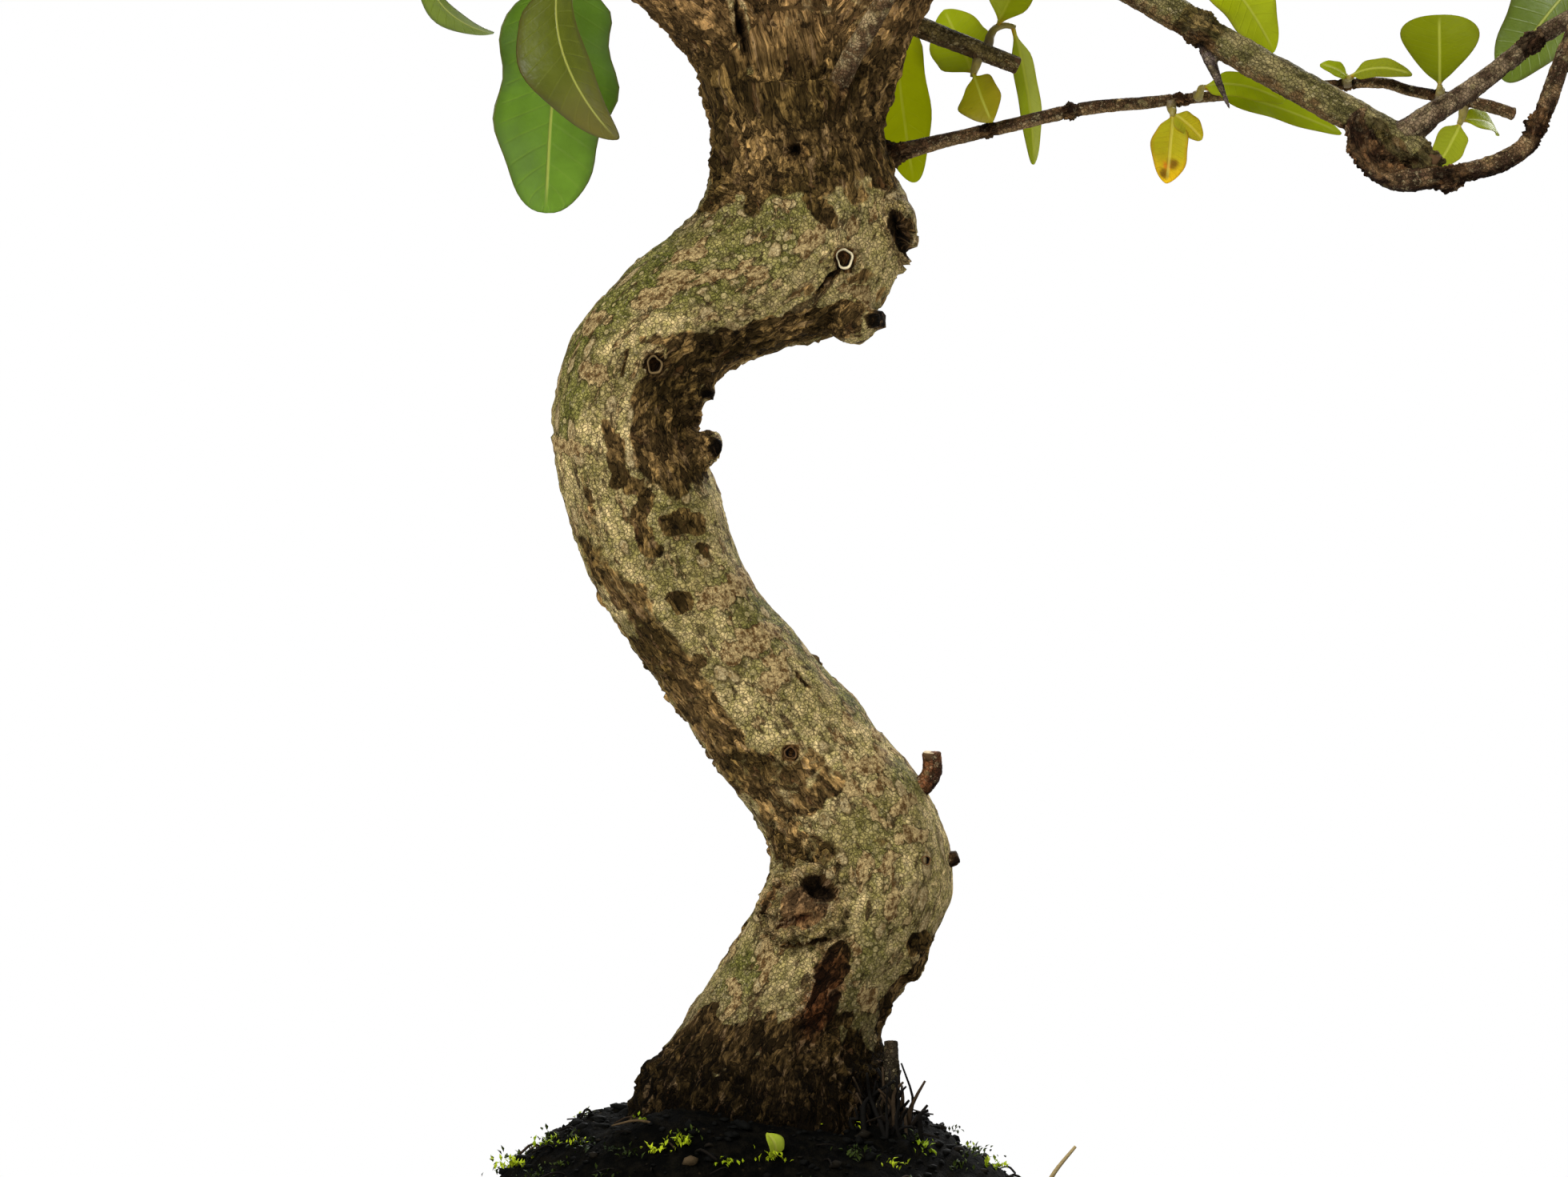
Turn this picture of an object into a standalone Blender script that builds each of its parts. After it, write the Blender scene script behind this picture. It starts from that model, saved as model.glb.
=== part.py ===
"""A pomegranate bonsai with an S-bent trunk, standing in an oval stoneware pot.

Everything is in metres, +Z up, with the front of the tree facing -Y. The shapes are laid out round the
middle of the pot, and an empty then moves the whole object so that the middle of its outer box is at the
origin. The wood is one solid. Each leafy shoot is a solid of its own, a stem with its leaves, and stands a
hair off the bark that it grows from.
"""

import math
import random

import bmesh
import bpy
from mathutils import Quaternion, Vector
from mathutils.bvhtree import BVHTree

UP = Vector((0, 0, 1))
FRONT = Vector((0, -1, 0))
SHARP_ANGLE = math.radians(40)

# Driving dimensions
FIT_GAP = 0.0003
RIM_HEIGHT = 0.062
RIM_HALF = Vector((0.0945, 0.0705))
FLOOR_TOP = 0.013
FLOOR_UNDER = 0.008
OVAL_POINTS = 36
FOOT_SIZE = Vector((0.030, 0.014, 0.012))
FOOT_AT = Vector((0.055, 0.036))
FOOT_BEVEL = 0.002
DRAIN_RADIUS = 0.007
DRAIN_SIDES = 16
DRAIN_CUT_TOP = FLOOR_TOP + 0.005
DRAIN_X = 0.036
MESH_SIZE = 0.024
MESH_THICKNESS = 0.0012
SOIL_WALL_GAP = 0.0004
SOIL_FLOOR_GAP = 0.0007
SOIL_CORNER = FLOOR_TOP + 0.004
SOIL_EDGE_HEIGHT = 0.0565
TRUNK_HOLE_GAP = FIT_GAP + 0.0001
ROOT_HOLE_GAP = FIT_GAP + 0.0002
TRUNK_HOLE_TOP = 0.093
LEAF_THICKNESS = 0.0009
STEM_RADIUS = 0.0009
TWIG_END_RADIUS = 0.0005

# Outer wall of the pot, from under the floor up over the rim: how far in from the rim, then the height
POT_OUTER = [
    (0.0145, FLOOR_UNDER),
    (0.0110, FLOOR_UNDER + 0.003),
    (0.0055, RIM_HEIGHT - 0.012),
    (0.0010, RIM_HEIGHT - 0.010),
    (0.0000, RIM_HEIGHT - 0.002),
    (0.0015, RIM_HEIGHT),
    (0.0080, RIM_HEIGHT),
]
# The hollow, from the lip down to the floor
POT_INNER = [
    (0.0090, RIM_HEIGHT - 0.002),
    (0.0160, FLOOR_TOP + 0.003),
    (0.0205, FLOOR_TOP),
]

# The view that the lower edge of the crown is kept clear of: its centre, half size and distance
VIEW_CENTRE = Vector((0.00625, 0.164))
VIEW_HALF = Vector((0.1225, 0.092))
VIEW_DISTANCE = 1.1
VIEW_MARGIN = 0.002

# Trunk sections from the soil up: the left and right edge (x, z) of a slice, then its middle depth and
# its half thickness front to back
TRUNK = [
    ((-0.0125, 0.0440), (0.0110, 0.0440), 0.0000, 0.0115),
    ((-0.0180, 0.0640), (0.0190, 0.0640), 0.0000, 0.0175),
    ((-0.0195, 0.0770), (0.0245, 0.0770), 0.0000, 0.0190),
    ((-0.0166, 0.0872), (0.0238, 0.0874), 0.0003, 0.0182),
    ((-0.0135, 0.0912), (0.0220, 0.0914), 0.0006, 0.0168),
    ((-0.0106, 0.0949), (0.0219, 0.0954), 0.0010, 0.0155),
    ((-0.0077, 0.0992), (0.0240, 0.0999), 0.0014, 0.0148),
    ((-0.0047, 0.1037), (0.0272, 0.1049), 0.0018, 0.0145),
    ((-0.0015, 0.1087), (0.0302, 0.1102), 0.0020, 0.0143),
    ((0.0015, 0.1139), (0.0325, 0.1154), 0.0020, 0.0142),
    ((0.0037, 0.1189), (0.0325, 0.1204), 0.0018, 0.0138),
    ((0.0040, 0.1234), (0.0316, 0.1257), 0.0014, 0.0132),
    ((0.0015, 0.1284), (0.0281, 0.1334), 0.0008, 0.0127),
    ((-0.0019, 0.1328), (0.0226, 0.1399), 0.0002, 0.0122),
    ((-0.0063, 0.1391), (0.0171, 0.1474), -0.0006, 0.0118),
    ((-0.0112, 0.1463), (0.0112, 0.1532), -0.0014, 0.0115),
    ((-0.0163, 0.1528), (0.0064, 0.1586), -0.0022, 0.0114),
    ((-0.0206, 0.1599), (0.0022, 0.1637), -0.0030, 0.0115),
    ((-0.0244, 0.1666), (-0.0006, 0.1688), -0.0036, 0.0117),
    ((-0.0272, 0.1741), (-0.0025, 0.1747), -0.0040, 0.0120),
    ((-0.0290, 0.1813), (-0.0047, 0.1809), -0.0041, 0.0119),
    ((-0.0299, 0.1881), (-0.0071, 0.1869), -0.0040, 0.0116),
    ((-0.0296, 0.1941), (-0.0066, 0.1914), -0.0037, 0.0116),
    ((-0.0284, 0.1994), (-0.0041, 0.1958), -0.0033, 0.0118),
    ((-0.0260, 0.2044), (-0.0003, 0.1989), -0.0028, 0.0121),
    ((-0.0222, 0.2097), (0.0047, 0.2009), -0.0020, 0.0124),
    ((-0.0171, 0.2149), (0.0103, 0.2024), -0.0010, 0.0127),
    ((-0.0123, 0.2188), (0.0160, 0.2044), 0.0002, 0.0130),
    ((-0.0085, 0.2221), (0.0208, 0.2074), 0.0014, 0.0134),
    ((-0.0067, 0.2249), (0.0240, 0.2124), 0.0022, 0.0137),
    ((-0.0057, 0.2282), (0.0262, 0.2184), 0.0026, 0.0138),
    ((-0.0053, 0.2319), (0.0257, 0.2239), 0.0026, 0.0136),
    ((-0.0053, 0.2357), (0.0235, 0.2299), 0.0022, 0.0133),
    ((-0.0063, 0.2394), (0.0220, 0.2362), 0.0016, 0.0132),
    ((-0.0076, 0.2432), (0.0212, 0.2424), 0.0010, 0.0130),
]
TRUNK_SIDES = 14
# Flutes round the trunk: their depth as a share of the radius, how many, and their twist for each metre up
FLUTES = ((0.05, 3, 40), (0.03, 5, -55))

# Arms, branches and twigs: sides of the tube, then points (x, y, z, radius) from the root outward
LIMBS = {
    "arm_left": (10, [
        (0.007, 0.000, 0.233, 0.0085), (-0.001, -0.001, 0.2495, 0.0080), (-0.0135, -0.003, 0.2625, 0.0077),
        (-0.029, -0.005, 0.2755, 0.0063), (-0.048, -0.006, 0.287, 0.0048), (-0.068, -0.003, 0.297, 0.0036),
        (-0.090, 0.003, 0.306, 0.0026), (-0.108, 0.006, 0.312, 0.0017),
    ]),
    "arm_middle": (10, [
        (0.006, 0.001, 0.234, 0.0105), (0.007, 0.003, 0.252, 0.0094), (0.004, 0.007, 0.268, 0.0081),
        (0.000, 0.009, 0.286, 0.0068), (0.006, 0.008, 0.306, 0.0054), (0.012, 0.004, 0.326, 0.0042),
        (0.008, 0.000, 0.346, 0.0032), (0.002, -0.002, 0.362, 0.0022),
    ]),
    "arm_right": (10, [
        (0.012, 0.000, 0.234, 0.0092), (0.0185, -0.001, 0.249, 0.0072), (0.0265, -0.003, 0.263, 0.0060),
        (0.034, -0.005, 0.278, 0.0050), (0.044, -0.008, 0.292, 0.0042), (0.052, -0.010, 0.308, 0.0034),
        (0.054, -0.008, 0.326, 0.0026), (0.050, -0.004, 0.342, 0.0018),
    ]),
    "branch_right": (8, [
        (0.031, -0.004, 0.273, 0.0034), (0.046, -0.007, 0.2652, 0.0030), (0.0633, -0.009, 0.2553, 0.0027),
        (0.0731, -0.011, 0.2490, 0.0026), (0.0829, -0.012, 0.2432, 0.0026), (0.0940, -0.013, 0.2370, 0.0027),
        (0.1025, -0.014, 0.2319, 0.0027), (0.1066, -0.014, 0.2290, 0.0021),
    ]),
    "branchlet_low": (6, [
        (0.0945, -0.0135, 0.2365, 0.0024), (0.0962, -0.0150, 0.2308, 0.0023), (0.1003, -0.0160, 0.2272, 0.0020),
        (0.1072, -0.0170, 0.2273, 0.0017), (0.1158, -0.0170, 0.2293, 0.0016), (0.1211, -0.0160, 0.2327, 0.0016),
        (0.1236, -0.0150, 0.2380, 0.0015), (0.1271, -0.0130, 0.2472, 0.0014), (0.1330, -0.0110, 0.2600, 0.0012),
        (0.1420, -0.0090, 0.2740, 0.0011), (0.1480, -0.0080, 0.2860, 0.0009),
    ]),
    "branchlet_high": (6, [
        (0.1010, -0.0140, 0.2335, 0.0023), (0.1036, -0.0138, 0.2352, 0.0021), (0.1076, -0.0125, 0.2380, 0.0018),
        (0.1140, -0.0110, 0.2422, 0.0016), (0.1210, -0.0090, 0.2477, 0.0015), (0.1278, -0.0070, 0.2522, 0.0014),
        (0.1420, -0.0030, 0.2590, 0.0012), (0.1540, 0.0010, 0.2640, 0.0009),
    ]),
    "twig": (6, [
        (0.0190, 0.0020, 0.2310, 0.0024), (0.0236, 0.0030, 0.2321, 0.0017), (0.0301, 0.0040, 0.2339, 0.0012),
        (0.0402, 0.0050, 0.2363, 0.0011), (0.0527, 0.0050, 0.2392, 0.0011), (0.0628, 0.0050, 0.2402, 0.0010),
        (0.0710, 0.0060, 0.2411, 0.0009), (0.0792, 0.0070, 0.2418, 0.0009), (0.0868, 0.0070, 0.2424, 0.0009),
        (0.0943, 0.0070, 0.2433, 0.0009), (0.1003, 0.0060, 0.2434, 0.0009), (0.1042, 0.0050, 0.2422, 0.0009),
        (0.1091, 0.0040, 0.2412, 0.0010), (0.1154, 0.0040, 0.2400, 0.0010), (0.1209, 0.0050, 0.2384, 0.0010),
    ]),
    "stub_right": (8, [
        (0.0200, 0.0040, 0.2560, 0.0024), (0.0260, 0.0055, 0.2528, 0.0018), (0.0340, 0.0078, 0.2498, 0.0016),
        (0.0431, 0.0100, 0.2464, 0.0014),
    ]),
    "dead_branch": (6, [
        (0.0138, -0.0060, 0.2405, 0.0019), (0.0178, -0.0120, 0.2482, 0.0016), (0.0225, -0.0150, 0.2560, 0.0015),
        (0.0290, -0.0190, 0.2700, 0.0013), (0.0300, -0.0270, 0.2880, 0.0012), (0.0240, -0.0360, 0.3040, 0.0009),
    ]),
    "left_front": (6, [
        (-0.028, -0.005, 0.274, 0.0034), (-0.032, -0.012, 0.288, 0.0026), (-0.036, -0.020, 0.304, 0.0020),
        (-0.034, -0.026, 0.320, 0.0014), (-0.030, -0.028, 0.332, 0.0009),
    ]),
    "left_tip_front": (6, [
        (-0.060, -0.004, 0.293, 0.0026), (-0.066, -0.018, 0.302, 0.0019), (-0.074, -0.032, 0.312, 0.0014),
        (-0.080, -0.042, 0.320, 0.0009),
    ]),
    "left_back": (6, [
        (-0.051, -0.005, 0.289, 0.0028), (-0.058, 0.014, 0.300, 0.0019), (-0.066, 0.030, 0.310, 0.0014),
        (-0.070, 0.044, 0.318, 0.0009),
    ]),
    "back_left": (6, [
        (0.0010, 0.0090, 0.2810, 0.0038), (-0.0120, 0.0240, 0.2960, 0.0026), (-0.0260, 0.0380, 0.3080, 0.0020),
        (-0.0400, 0.0500, 0.3180, 0.0014), (-0.0500, 0.0600, 0.3240, 0.0009),
    ]),
    "back_right": (6, [
        (0.0010, 0.0090, 0.2880, 0.0038), (0.0160, 0.0260, 0.3000, 0.0026), (0.0340, 0.0400, 0.3100, 0.0020),
        (0.0500, 0.0500, 0.3180, 0.0014), (0.0620, 0.0580, 0.3220, 0.0009),
    ]),
    "upper_left": (6, [
        (0.0070, 0.0070, 0.3080, 0.0032), (-0.0100, 0.0020, 0.3220, 0.0023), (-0.0280, 0.0000, 0.3340, 0.0018),
        (-0.0440, -0.0020, 0.3440, 0.0012), (-0.0540, -0.0020, 0.3500, 0.0009),
    ]),
    "upper_front": (6, [
        (0.0115, 0.0050, 0.3220, 0.0029), (0.0100, -0.0140, 0.3360, 0.0020), (0.0040, -0.0300, 0.3460, 0.0015),
        (-0.0040, -0.0440, 0.3520, 0.0009),
    ]),
    "upper_right": (6, [
        (0.0100, 0.0020, 0.3350, 0.0027), (0.0240, 0.0140, 0.3500, 0.0019), (0.0360, 0.0240, 0.3600, 0.0013),
        (0.0420, 0.0300, 0.3660, 0.0009),
    ]),
    "top_right": (6, [
        (0.0070, 0.0000, 0.3480, 0.0023), (0.0160, -0.0060, 0.3640, 0.0014), (0.0200, -0.0080, 0.3740, 0.0009),
    ]),
    "top_left": (6, [
        (0.0050, -0.0010, 0.3530, 0.0022), (-0.0100, 0.0060, 0.3650, 0.0015), (-0.0200, 0.0120, 0.3720, 0.0009),
    ]),
    "right_front": (6, [
        (0.0420, -0.0070, 0.2890, 0.0031), (0.0580, -0.0240, 0.3000, 0.0022), (0.0740, -0.0380, 0.3100, 0.0016),
        (0.0860, -0.0480, 0.3160, 0.0009),
    ]),
    "right_back": (6, [
        (0.0450, -0.0090, 0.2940, 0.0030), (0.0640, 0.0040, 0.3040, 0.0022), (0.0840, 0.0140, 0.3120, 0.0016),
        (0.1020, 0.0200, 0.3180, 0.0009),
    ]),
    "right_upper": (6, [
        (0.0520, -0.0100, 0.3110, 0.0026), (0.0680, -0.0130, 0.3260, 0.0017), (0.0800, -0.0150, 0.3380, 0.0009),
    ]),
    "branch_spur": (6, [
        (0.0570, -0.0085, 0.2595, 0.0019), (0.0660, -0.0060, 0.2690, 0.0013), (0.0760, -0.0030, 0.2770, 0.0009),
    ]),
    "stub_trunk": (7, [
        (0.0240, -0.0010, 0.1300, 0.0018), (0.0290, -0.0020, 0.1345, 0.0016), (0.0292, -0.0024, 0.1385, 0.0015),
    ]),
    "spur_low": (6, [
        (0.0260, 0.0000, 0.1195, 0.0030), (0.0335, -0.0005, 0.1222, 0.0010),
    ]),
    "dead_sprout": (6, [
        (0.0170, -0.0060, 0.0760, 0.0020), (0.0225, -0.0090, 0.0850, 0.0015), (0.0228, -0.0090, 0.0940, 0.0011),
    ]),
    "thorn": (6, [
        (0.0708, -0.0110, 0.2500, 0.0013), (0.0722, -0.0115, 0.2455, 0.0010), (0.0751, -0.0120, 0.2381, 0.0002),
    ]),
}

ROOTS = {
    "root_left": [
        (-0.008, -0.002, 0.080, 0.0080), (-0.020, -0.004, 0.074, 0.0050), (-0.034, -0.006, 0.062, 0.0024),
    ],
    "root_front": [
        (0.002, -0.008, 0.078, 0.0080), (0.004, -0.020, 0.070, 0.0048), (0.002, -0.034, 0.058, 0.0022),
    ],
    "root_right": [
        (0.014, -0.002, 0.079, 0.0080), (0.026, 0.001, 0.072, 0.0050), (0.040, 0.004, 0.060, 0.0024),
    ],
    "root_back": [
        (0.004, 0.008, 0.078, 0.0080), (0.000, 0.020, 0.071, 0.0048), (-0.006, 0.034, 0.058, 0.0022),
    ],
}
ROOT_SIDES = 7
THICK_SIDES = 7

# Burrs and collars on the bark: place, radius along X, Y and Z
BURRS = [
    ((-0.0060, -0.0085, 0.1859), (0.0030, 0.0030, 0.0030)),
    ((0.0100, -0.0098, 0.1146), (0.0070, 0.0040, 0.0068)),
    ((0.0235, -0.0030, 0.2210), (0.0035, 0.0060, 0.0040)),
    ((0.0170, -0.0040, 0.2055), (0.0040, 0.0055, 0.0036)),
    ((0.0272, -0.0020, 0.1075), (0.0030, 0.0060, 0.0050)),
]

# Soil: half width, half depth and height of each ring, from the edge by the pot up to the trunk's foot
SOIL_RINGS = [
    (0.0740, 0.0520, 0.0588),
    (0.0630, 0.0475, 0.0620),
    (0.0505, 0.0410, 0.0662),
    (0.0405, 0.0345, 0.0718),
    (0.0325, 0.0285, 0.0774),
    (0.0262, 0.0238, 0.0813),
    (0.0150, 0.0130, 0.0830),
]
# Bumps on the soil: height, how many round, and their shift for each metre of half width
SOIL_BUMPS = ((0.0011, 3, 60), (0.0007, 7, -90))

# Colours, then roughness: all are non-metallic
BARK = ((0.27, 0.23, 0.15), 0.85)
LEAF_GREEN = ((0.20, 0.33, 0.03), 0.35)
LEAF_YELLOW = ((0.48, 0.46, 0.03), 0.4)
PEAT = ((0.025, 0.020, 0.016), 0.95)
STONEWARE = ((0.115, 0.085, 0.070), 0.7)
SCREEN = ((0.05, 0.05, 0.05), 0.6)

# Shoots seen from the front: stem points, then leaves as (base, tip, width, way the upper face looks, arch)
SHOOTS = {
    "shoot_left_pair": (
        [(-0.0255, -0.0120, 0.2645), (-0.0268, -0.0128, 0.2625), (-0.0280, -0.0130, 0.2600)],
        [
            ((-0.0272, -0.0120, 0.2622), (-0.0308, -0.0060, 0.2223), 0.0185, (0.25, -1.0, 0.10), -0.06),
            ((-0.0278, -0.0135, 0.2605), (-0.0192, -0.0180, 0.2330), 0.0100, (-0.75, -0.60, 0.15), 0.19),
        ],
    ),
    "shoot_left_curled": (
        [
            (-0.0462, -0.0098, 0.2800), (-0.0478, -0.0110, 0.2740), (-0.0492, -0.0120, 0.2670),
            (-0.0496, -0.0122, 0.2625),
        ],
        [
            ((-0.0495, -0.0122, 0.2635), (-0.0387, -0.0100, 0.2500), 0.0075, (-0.60, -0.45, -0.66), 0.22),
            ((-0.0485, -0.0116, 0.2700), (-0.0640, -0.0200, 0.2620), 0.0085, (-0.2, -0.6, 0.8), 0.10),
        ],
    ),
    "shoot_neck_back": (
        [(0.0205, 0.0125, 0.2575), (0.0230, 0.0155, 0.2572), (0.0240, 0.0172, 0.2560)],
        [((0.0238, 0.0168, 0.2565), (0.0270, 0.0190, 0.2285), 0.0098, (-0.35, -0.90, 0.10), 0.05)],
    ),
    "shoot_stub_upper": (
        [
            (0.0388, 0.0108, 0.2512), (0.0396, 0.0118, 0.2524), (0.0412, 0.0126, 0.2530),
            (0.0428, 0.0130, 0.2527),
        ],
        [
            ((0.0398, 0.0119, 0.2525), (0.0446, 0.0070, 0.2690), 0.0092, (-0.40, -0.80, 0.45), -0.10),
            ((0.0424, 0.0129, 0.2528), (0.0458, 0.0165, 0.2312), 0.0046, (0.55, -0.80, 0.10), 0.05),
        ],
    ),
    "shoot_stub_lower": (
        [(0.0366, 0.0082, 0.2468), (0.0362, 0.0084, 0.2455), (0.0360, 0.0086, 0.2445)],
        [
            ((0.0361, 0.0085, 0.2452), (0.0388, 0.0020, 0.2370), 0.0074, (-0.30, -0.90, -0.10), 0.03),
            ((0.0361, 0.0088, 0.2450), (0.0318, 0.0225, 0.2562), 0.0098, (-0.30, -0.85, 0.40), -0.05),
        ],
    ),
    "shoot_branch": (
        [(0.0650, -0.0085, 0.2578), (0.0680, -0.0060, 0.2610), (0.0716, -0.0040, 0.2640)],
        [
            ((0.0706, -0.0045, 0.2632), (0.0826, -0.0020, 0.2476), 0.0100, (0.20, -0.90, 0.40), 0.10),
            ((0.0690, -0.0055, 0.2619), (0.0800, -0.0100, 0.2770), 0.0090, (-0.35, -0.70, 0.60), -0.08),
        ],
    ),
    "shoot_twig_yellow": (
        [(0.0672, 0.0036, 0.2396), (0.0672, 0.0028, 0.2388), (0.0671, 0.0022, 0.2378)],
        [
            ((0.0671, 0.0027, 0.2386), (0.0659, -0.0015, 0.2272), 0.0060, (0.10, -0.95, 0.10), 0.04),
            ((0.0671, 0.0025, 0.2383), (0.0716, 0.0020, 0.2342), 0.0040, (0.30, -0.90, 0.30), 0.10),
        ],
    ),
    "shoot_twig_middle": (
        [(0.0712, 0.0044, 0.2420), (0.0716, 0.0030, 0.2423), (0.0722, 0.0018, 0.2424)],
        [
            ((0.0717, 0.0026, 0.2424), (0.0842, -0.0030, 0.2398), 0.0056, (-0.05, -0.80, 0.60), 0.14),
            ((0.0719, 0.0022, 0.2424), (0.0936, 0.0030, 0.2352), 0.0056, (0.10, -0.80, 0.60), 0.04),
        ],
    ),
    "shoot_twig_far": (
        [(0.0946, 0.0054, 0.2437), (0.0948, 0.0040, 0.2440), (0.0952, 0.0028, 0.2441)],
        [
            ((0.0949, 0.0034, 0.2441), (0.1044, 0.0000, 0.2442), 0.0044, (-0.10, -0.75, 0.65), 0.16),
            ((0.0947, 0.0040, 0.2440), (0.0902, 0.0030, 0.2460), 0.0034, (0.15, -0.75, 0.65), 0.12),
        ],
    ),
    "shoot_twig_upright": (
        [(0.1090, 0.0022, 0.2415), (0.1088, 0.0008, 0.2419), (0.1087, -0.0002, 0.2425)],
        [
            ((0.1087, 0.0000, 0.2423), (0.1096, 0.0110, 0.2545), 0.0125, (-0.10, -0.80, 0.55), -0.10),
        ],
    ),
    "shoot_twig_under": (
        [(0.1128, 0.0040, 0.2390), (0.1126, 0.0043, 0.2378), (0.1122, 0.0046, 0.2368)],
        [
            ((0.1124, 0.0045, 0.2372), (0.1086, 0.0060, 0.2300), 0.0052, (0.30, -0.90, 0.20), 0.08),
            ((0.1124, 0.0045, 0.2374), (0.1188, 0.0110, 0.2356), 0.0046, (0.10, -0.80, 0.60), 0.16),
        ],
    ),
    "shoot_dark": (
        [(0.1345, -0.0028, 0.2582), (0.1342, -0.0012, 0.2608), (0.1338, 0.0006, 0.2635)],
        [
            ((0.1339, 0.0002, 0.2627), (0.1192, 0.0070, 0.2440), 0.0135, (-0.25, -0.85, 0.45), 0.06),
            ((0.1341, -0.0008, 0.2615), (0.1490, 0.0135, 0.2540), 0.0110, (0.35, -0.60, 0.70), 0.10),
        ],
    ),
}

# Leaf shape: width over length, how fast the base widens, how far forward the middle lies, then how deep
# the blade folds and how thick its root is
LEAF_SHAPE = 0.40
LEAF_FLARE = 3.2
LEAF_SKEW = 0.85
LEAF_FOLD = 0.16
ROOT_HALF = 0.00045
# Where the slices of a leaf are cut, and how full its outline is
CROWN_STATIONS = ((0.30, 0.68), 0.25)
SEEN_STATIONS = ((0.14, 0.34, 0.60, 0.84), 0.50)
SEEN_STEM_SIDES = 5

# Crown shoots: for each limb, how far along it they stand, 1 being its cut or growing end
CROWN = {
    "arm_left": [0.62, 0.78, 1.0],
    "arm_middle": [0.50, 0.70, 0.86, 1.0],
    "arm_right": [0.60, 0.84, 1.0],
    "branchlet_low": [0.86, 1.0],
    "branchlet_high": [0.90, 1.0],
    "left_front": [0.55, 1.0],
    "left_tip_front": [1.0],
    "left_back": [0.60, 1.0],
    "back_left": [0.55, 1.0],
    "back_right": [0.55, 1.0],
    "upper_left": [0.55, 1.0],
    "upper_front": [0.55, 1.0],
    "upper_right": [1.0],
    "top_right": [1.0],
    "top_left": [1.0],
    "right_front": [0.60, 1.0],
    "right_back": [0.60, 1.0],
    "right_upper": [1.0],
    "branch_spur": [1.0],
}
CROWN_STEM = (0.024, 0.034)
CROWN_LEAF = (0.023, 0.032)
CROWN_ARCH = (0.04, 0.14)
STEM_SEED = 1973
LEAF_SEED = 2024

# Along a crown stem: its first ring above the bark, its pairs of leaves, and half the length of a leaf's root
FIRST_RING = 0.16
PAIRS_AT = (0.40, 0.63, 0.85)
NODE_HALF = 0.018
STEM_STEPS = 8

# A crown stem leaves the bark squarely, then bends the way that is weighed from square, along the limb and up
SQUARE_RUN = 0.002
BEND_START = 0.004
BEND_SHARE = 0.35
BEND_WEIGHTS = (0.55, 0.45, 0.75)
STEM_TRIES = 12
STEM_TURN = 0.55
STEM_TURN_SHARE = 0.62
STEM_TILT = 0.3

# A crown leaf spreads less up the stem, and its upper face looks along the stem and up
SPREAD = math.radians(60)
SPREAD_STEP = math.radians(8)
TIP_SPREAD = math.radians(14)
FACE_ALONG = 0.6
FACE_UP = 0.7
FACE_FRONT = 0.5
FACE_LEAST = 0.3
# Tries for a leaf: its swing round the stem, and the share of its length
LEAF_TRIES = ((0, 1), (0.4, 1), (-0.4, 1), (0.7, 0.9), (-0.7, 0.9), (0.2, 0.75), (-0.2, 0.75))

# Gaps kept while growing, and the stretch at a root that may touch what it grows from
CLEARANCE = 0.0006
LEAF_ROOT = 0.0018
STEM_ROOT = 0.0022
SEAT_CLEARANCE = 0.0001
SEAT_END_CLEARANCE = 0.00005
SEAT_LIFTS = (0.0, 0.0002, 0.0004)
SEAT_PROBE = 0.03
STEM_COLLAR = 0.0010
STEM_FIRST = 0.0016
WOOD = "wood"


def lerp(start, end, part):
    return start + (end - start) * part


def smooth_path(points, steps):
    """A Catmull-Rom curve through points of any size, with steps spans between two of them."""
    rows = [Vector(point) for point in points]
    rows = [rows[0] * 2 - rows[1], *rows, rows[-1] * 2 - rows[-2]]
    path = []
    for before, start, end, after in zip(rows, rows[1:], rows[2:], rows[3:]):
        for step in range(steps):
            t = step / steps
            bend = (start - end) * 3 + after - before
            slope = before * 2 - start * 5 + end * 4 - after
            path.append((start * 2 + (end - before) * t + slope * t * t + bend * t**3) * 0.5)
    return [*path, rows[-2]]


def tangents(centres):
    ends = [centres[0], *centres, centres[-1]]
    return [(after - before).normalized() for before, after in zip(ends, ends[2:])]


def tube_rings(path, sides, grow=0.0):
    """Round rings along a path of (x, y, z, radius), turned as little as possible from ring to ring."""
    centres = [Vector(point[:3]) for point in path]
    ways = tangents(centres)
    side = ways[0].orthogonal().normalized()
    rings = []
    for point, centre, way, last in zip(path, centres, ways, [ways[0], *ways]):
        side = last.rotation_difference(way) @ side
        other = way.cross(side)
        angles = (2 * math.pi * k / sides for k in range(sides))
        radius = point[3] + grow
        rings.append([centre + (side * math.cos(a) + other * math.sin(a)) * radius for a in angles])
    return rings


def skin(rings):
    """A closed mesh through rings of equal size, capped flat at both ends."""
    shape = bmesh.new()
    rows = [[shape.verts.new(point) for point in ring] for ring in rings]
    for row, following in zip(rows, rows[1:]):
        for k, corner in enumerate(row):
            k_next = (k + 1) % len(row)
            shape.faces.new((corner, row[k_next], following[k_next]))
            shape.faces.new((corner, following[k_next], following[k]))
    shape.faces.new(rows[0][::-1])
    shape.faces.new(rows[-1])
    bmesh.ops.triangulate(shape, faces=[face for face in shape.faces if len(face.verts) > 3])
    bmesh.ops.recalc_face_normals(shape, faces=shape.faces)
    return shape


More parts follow.
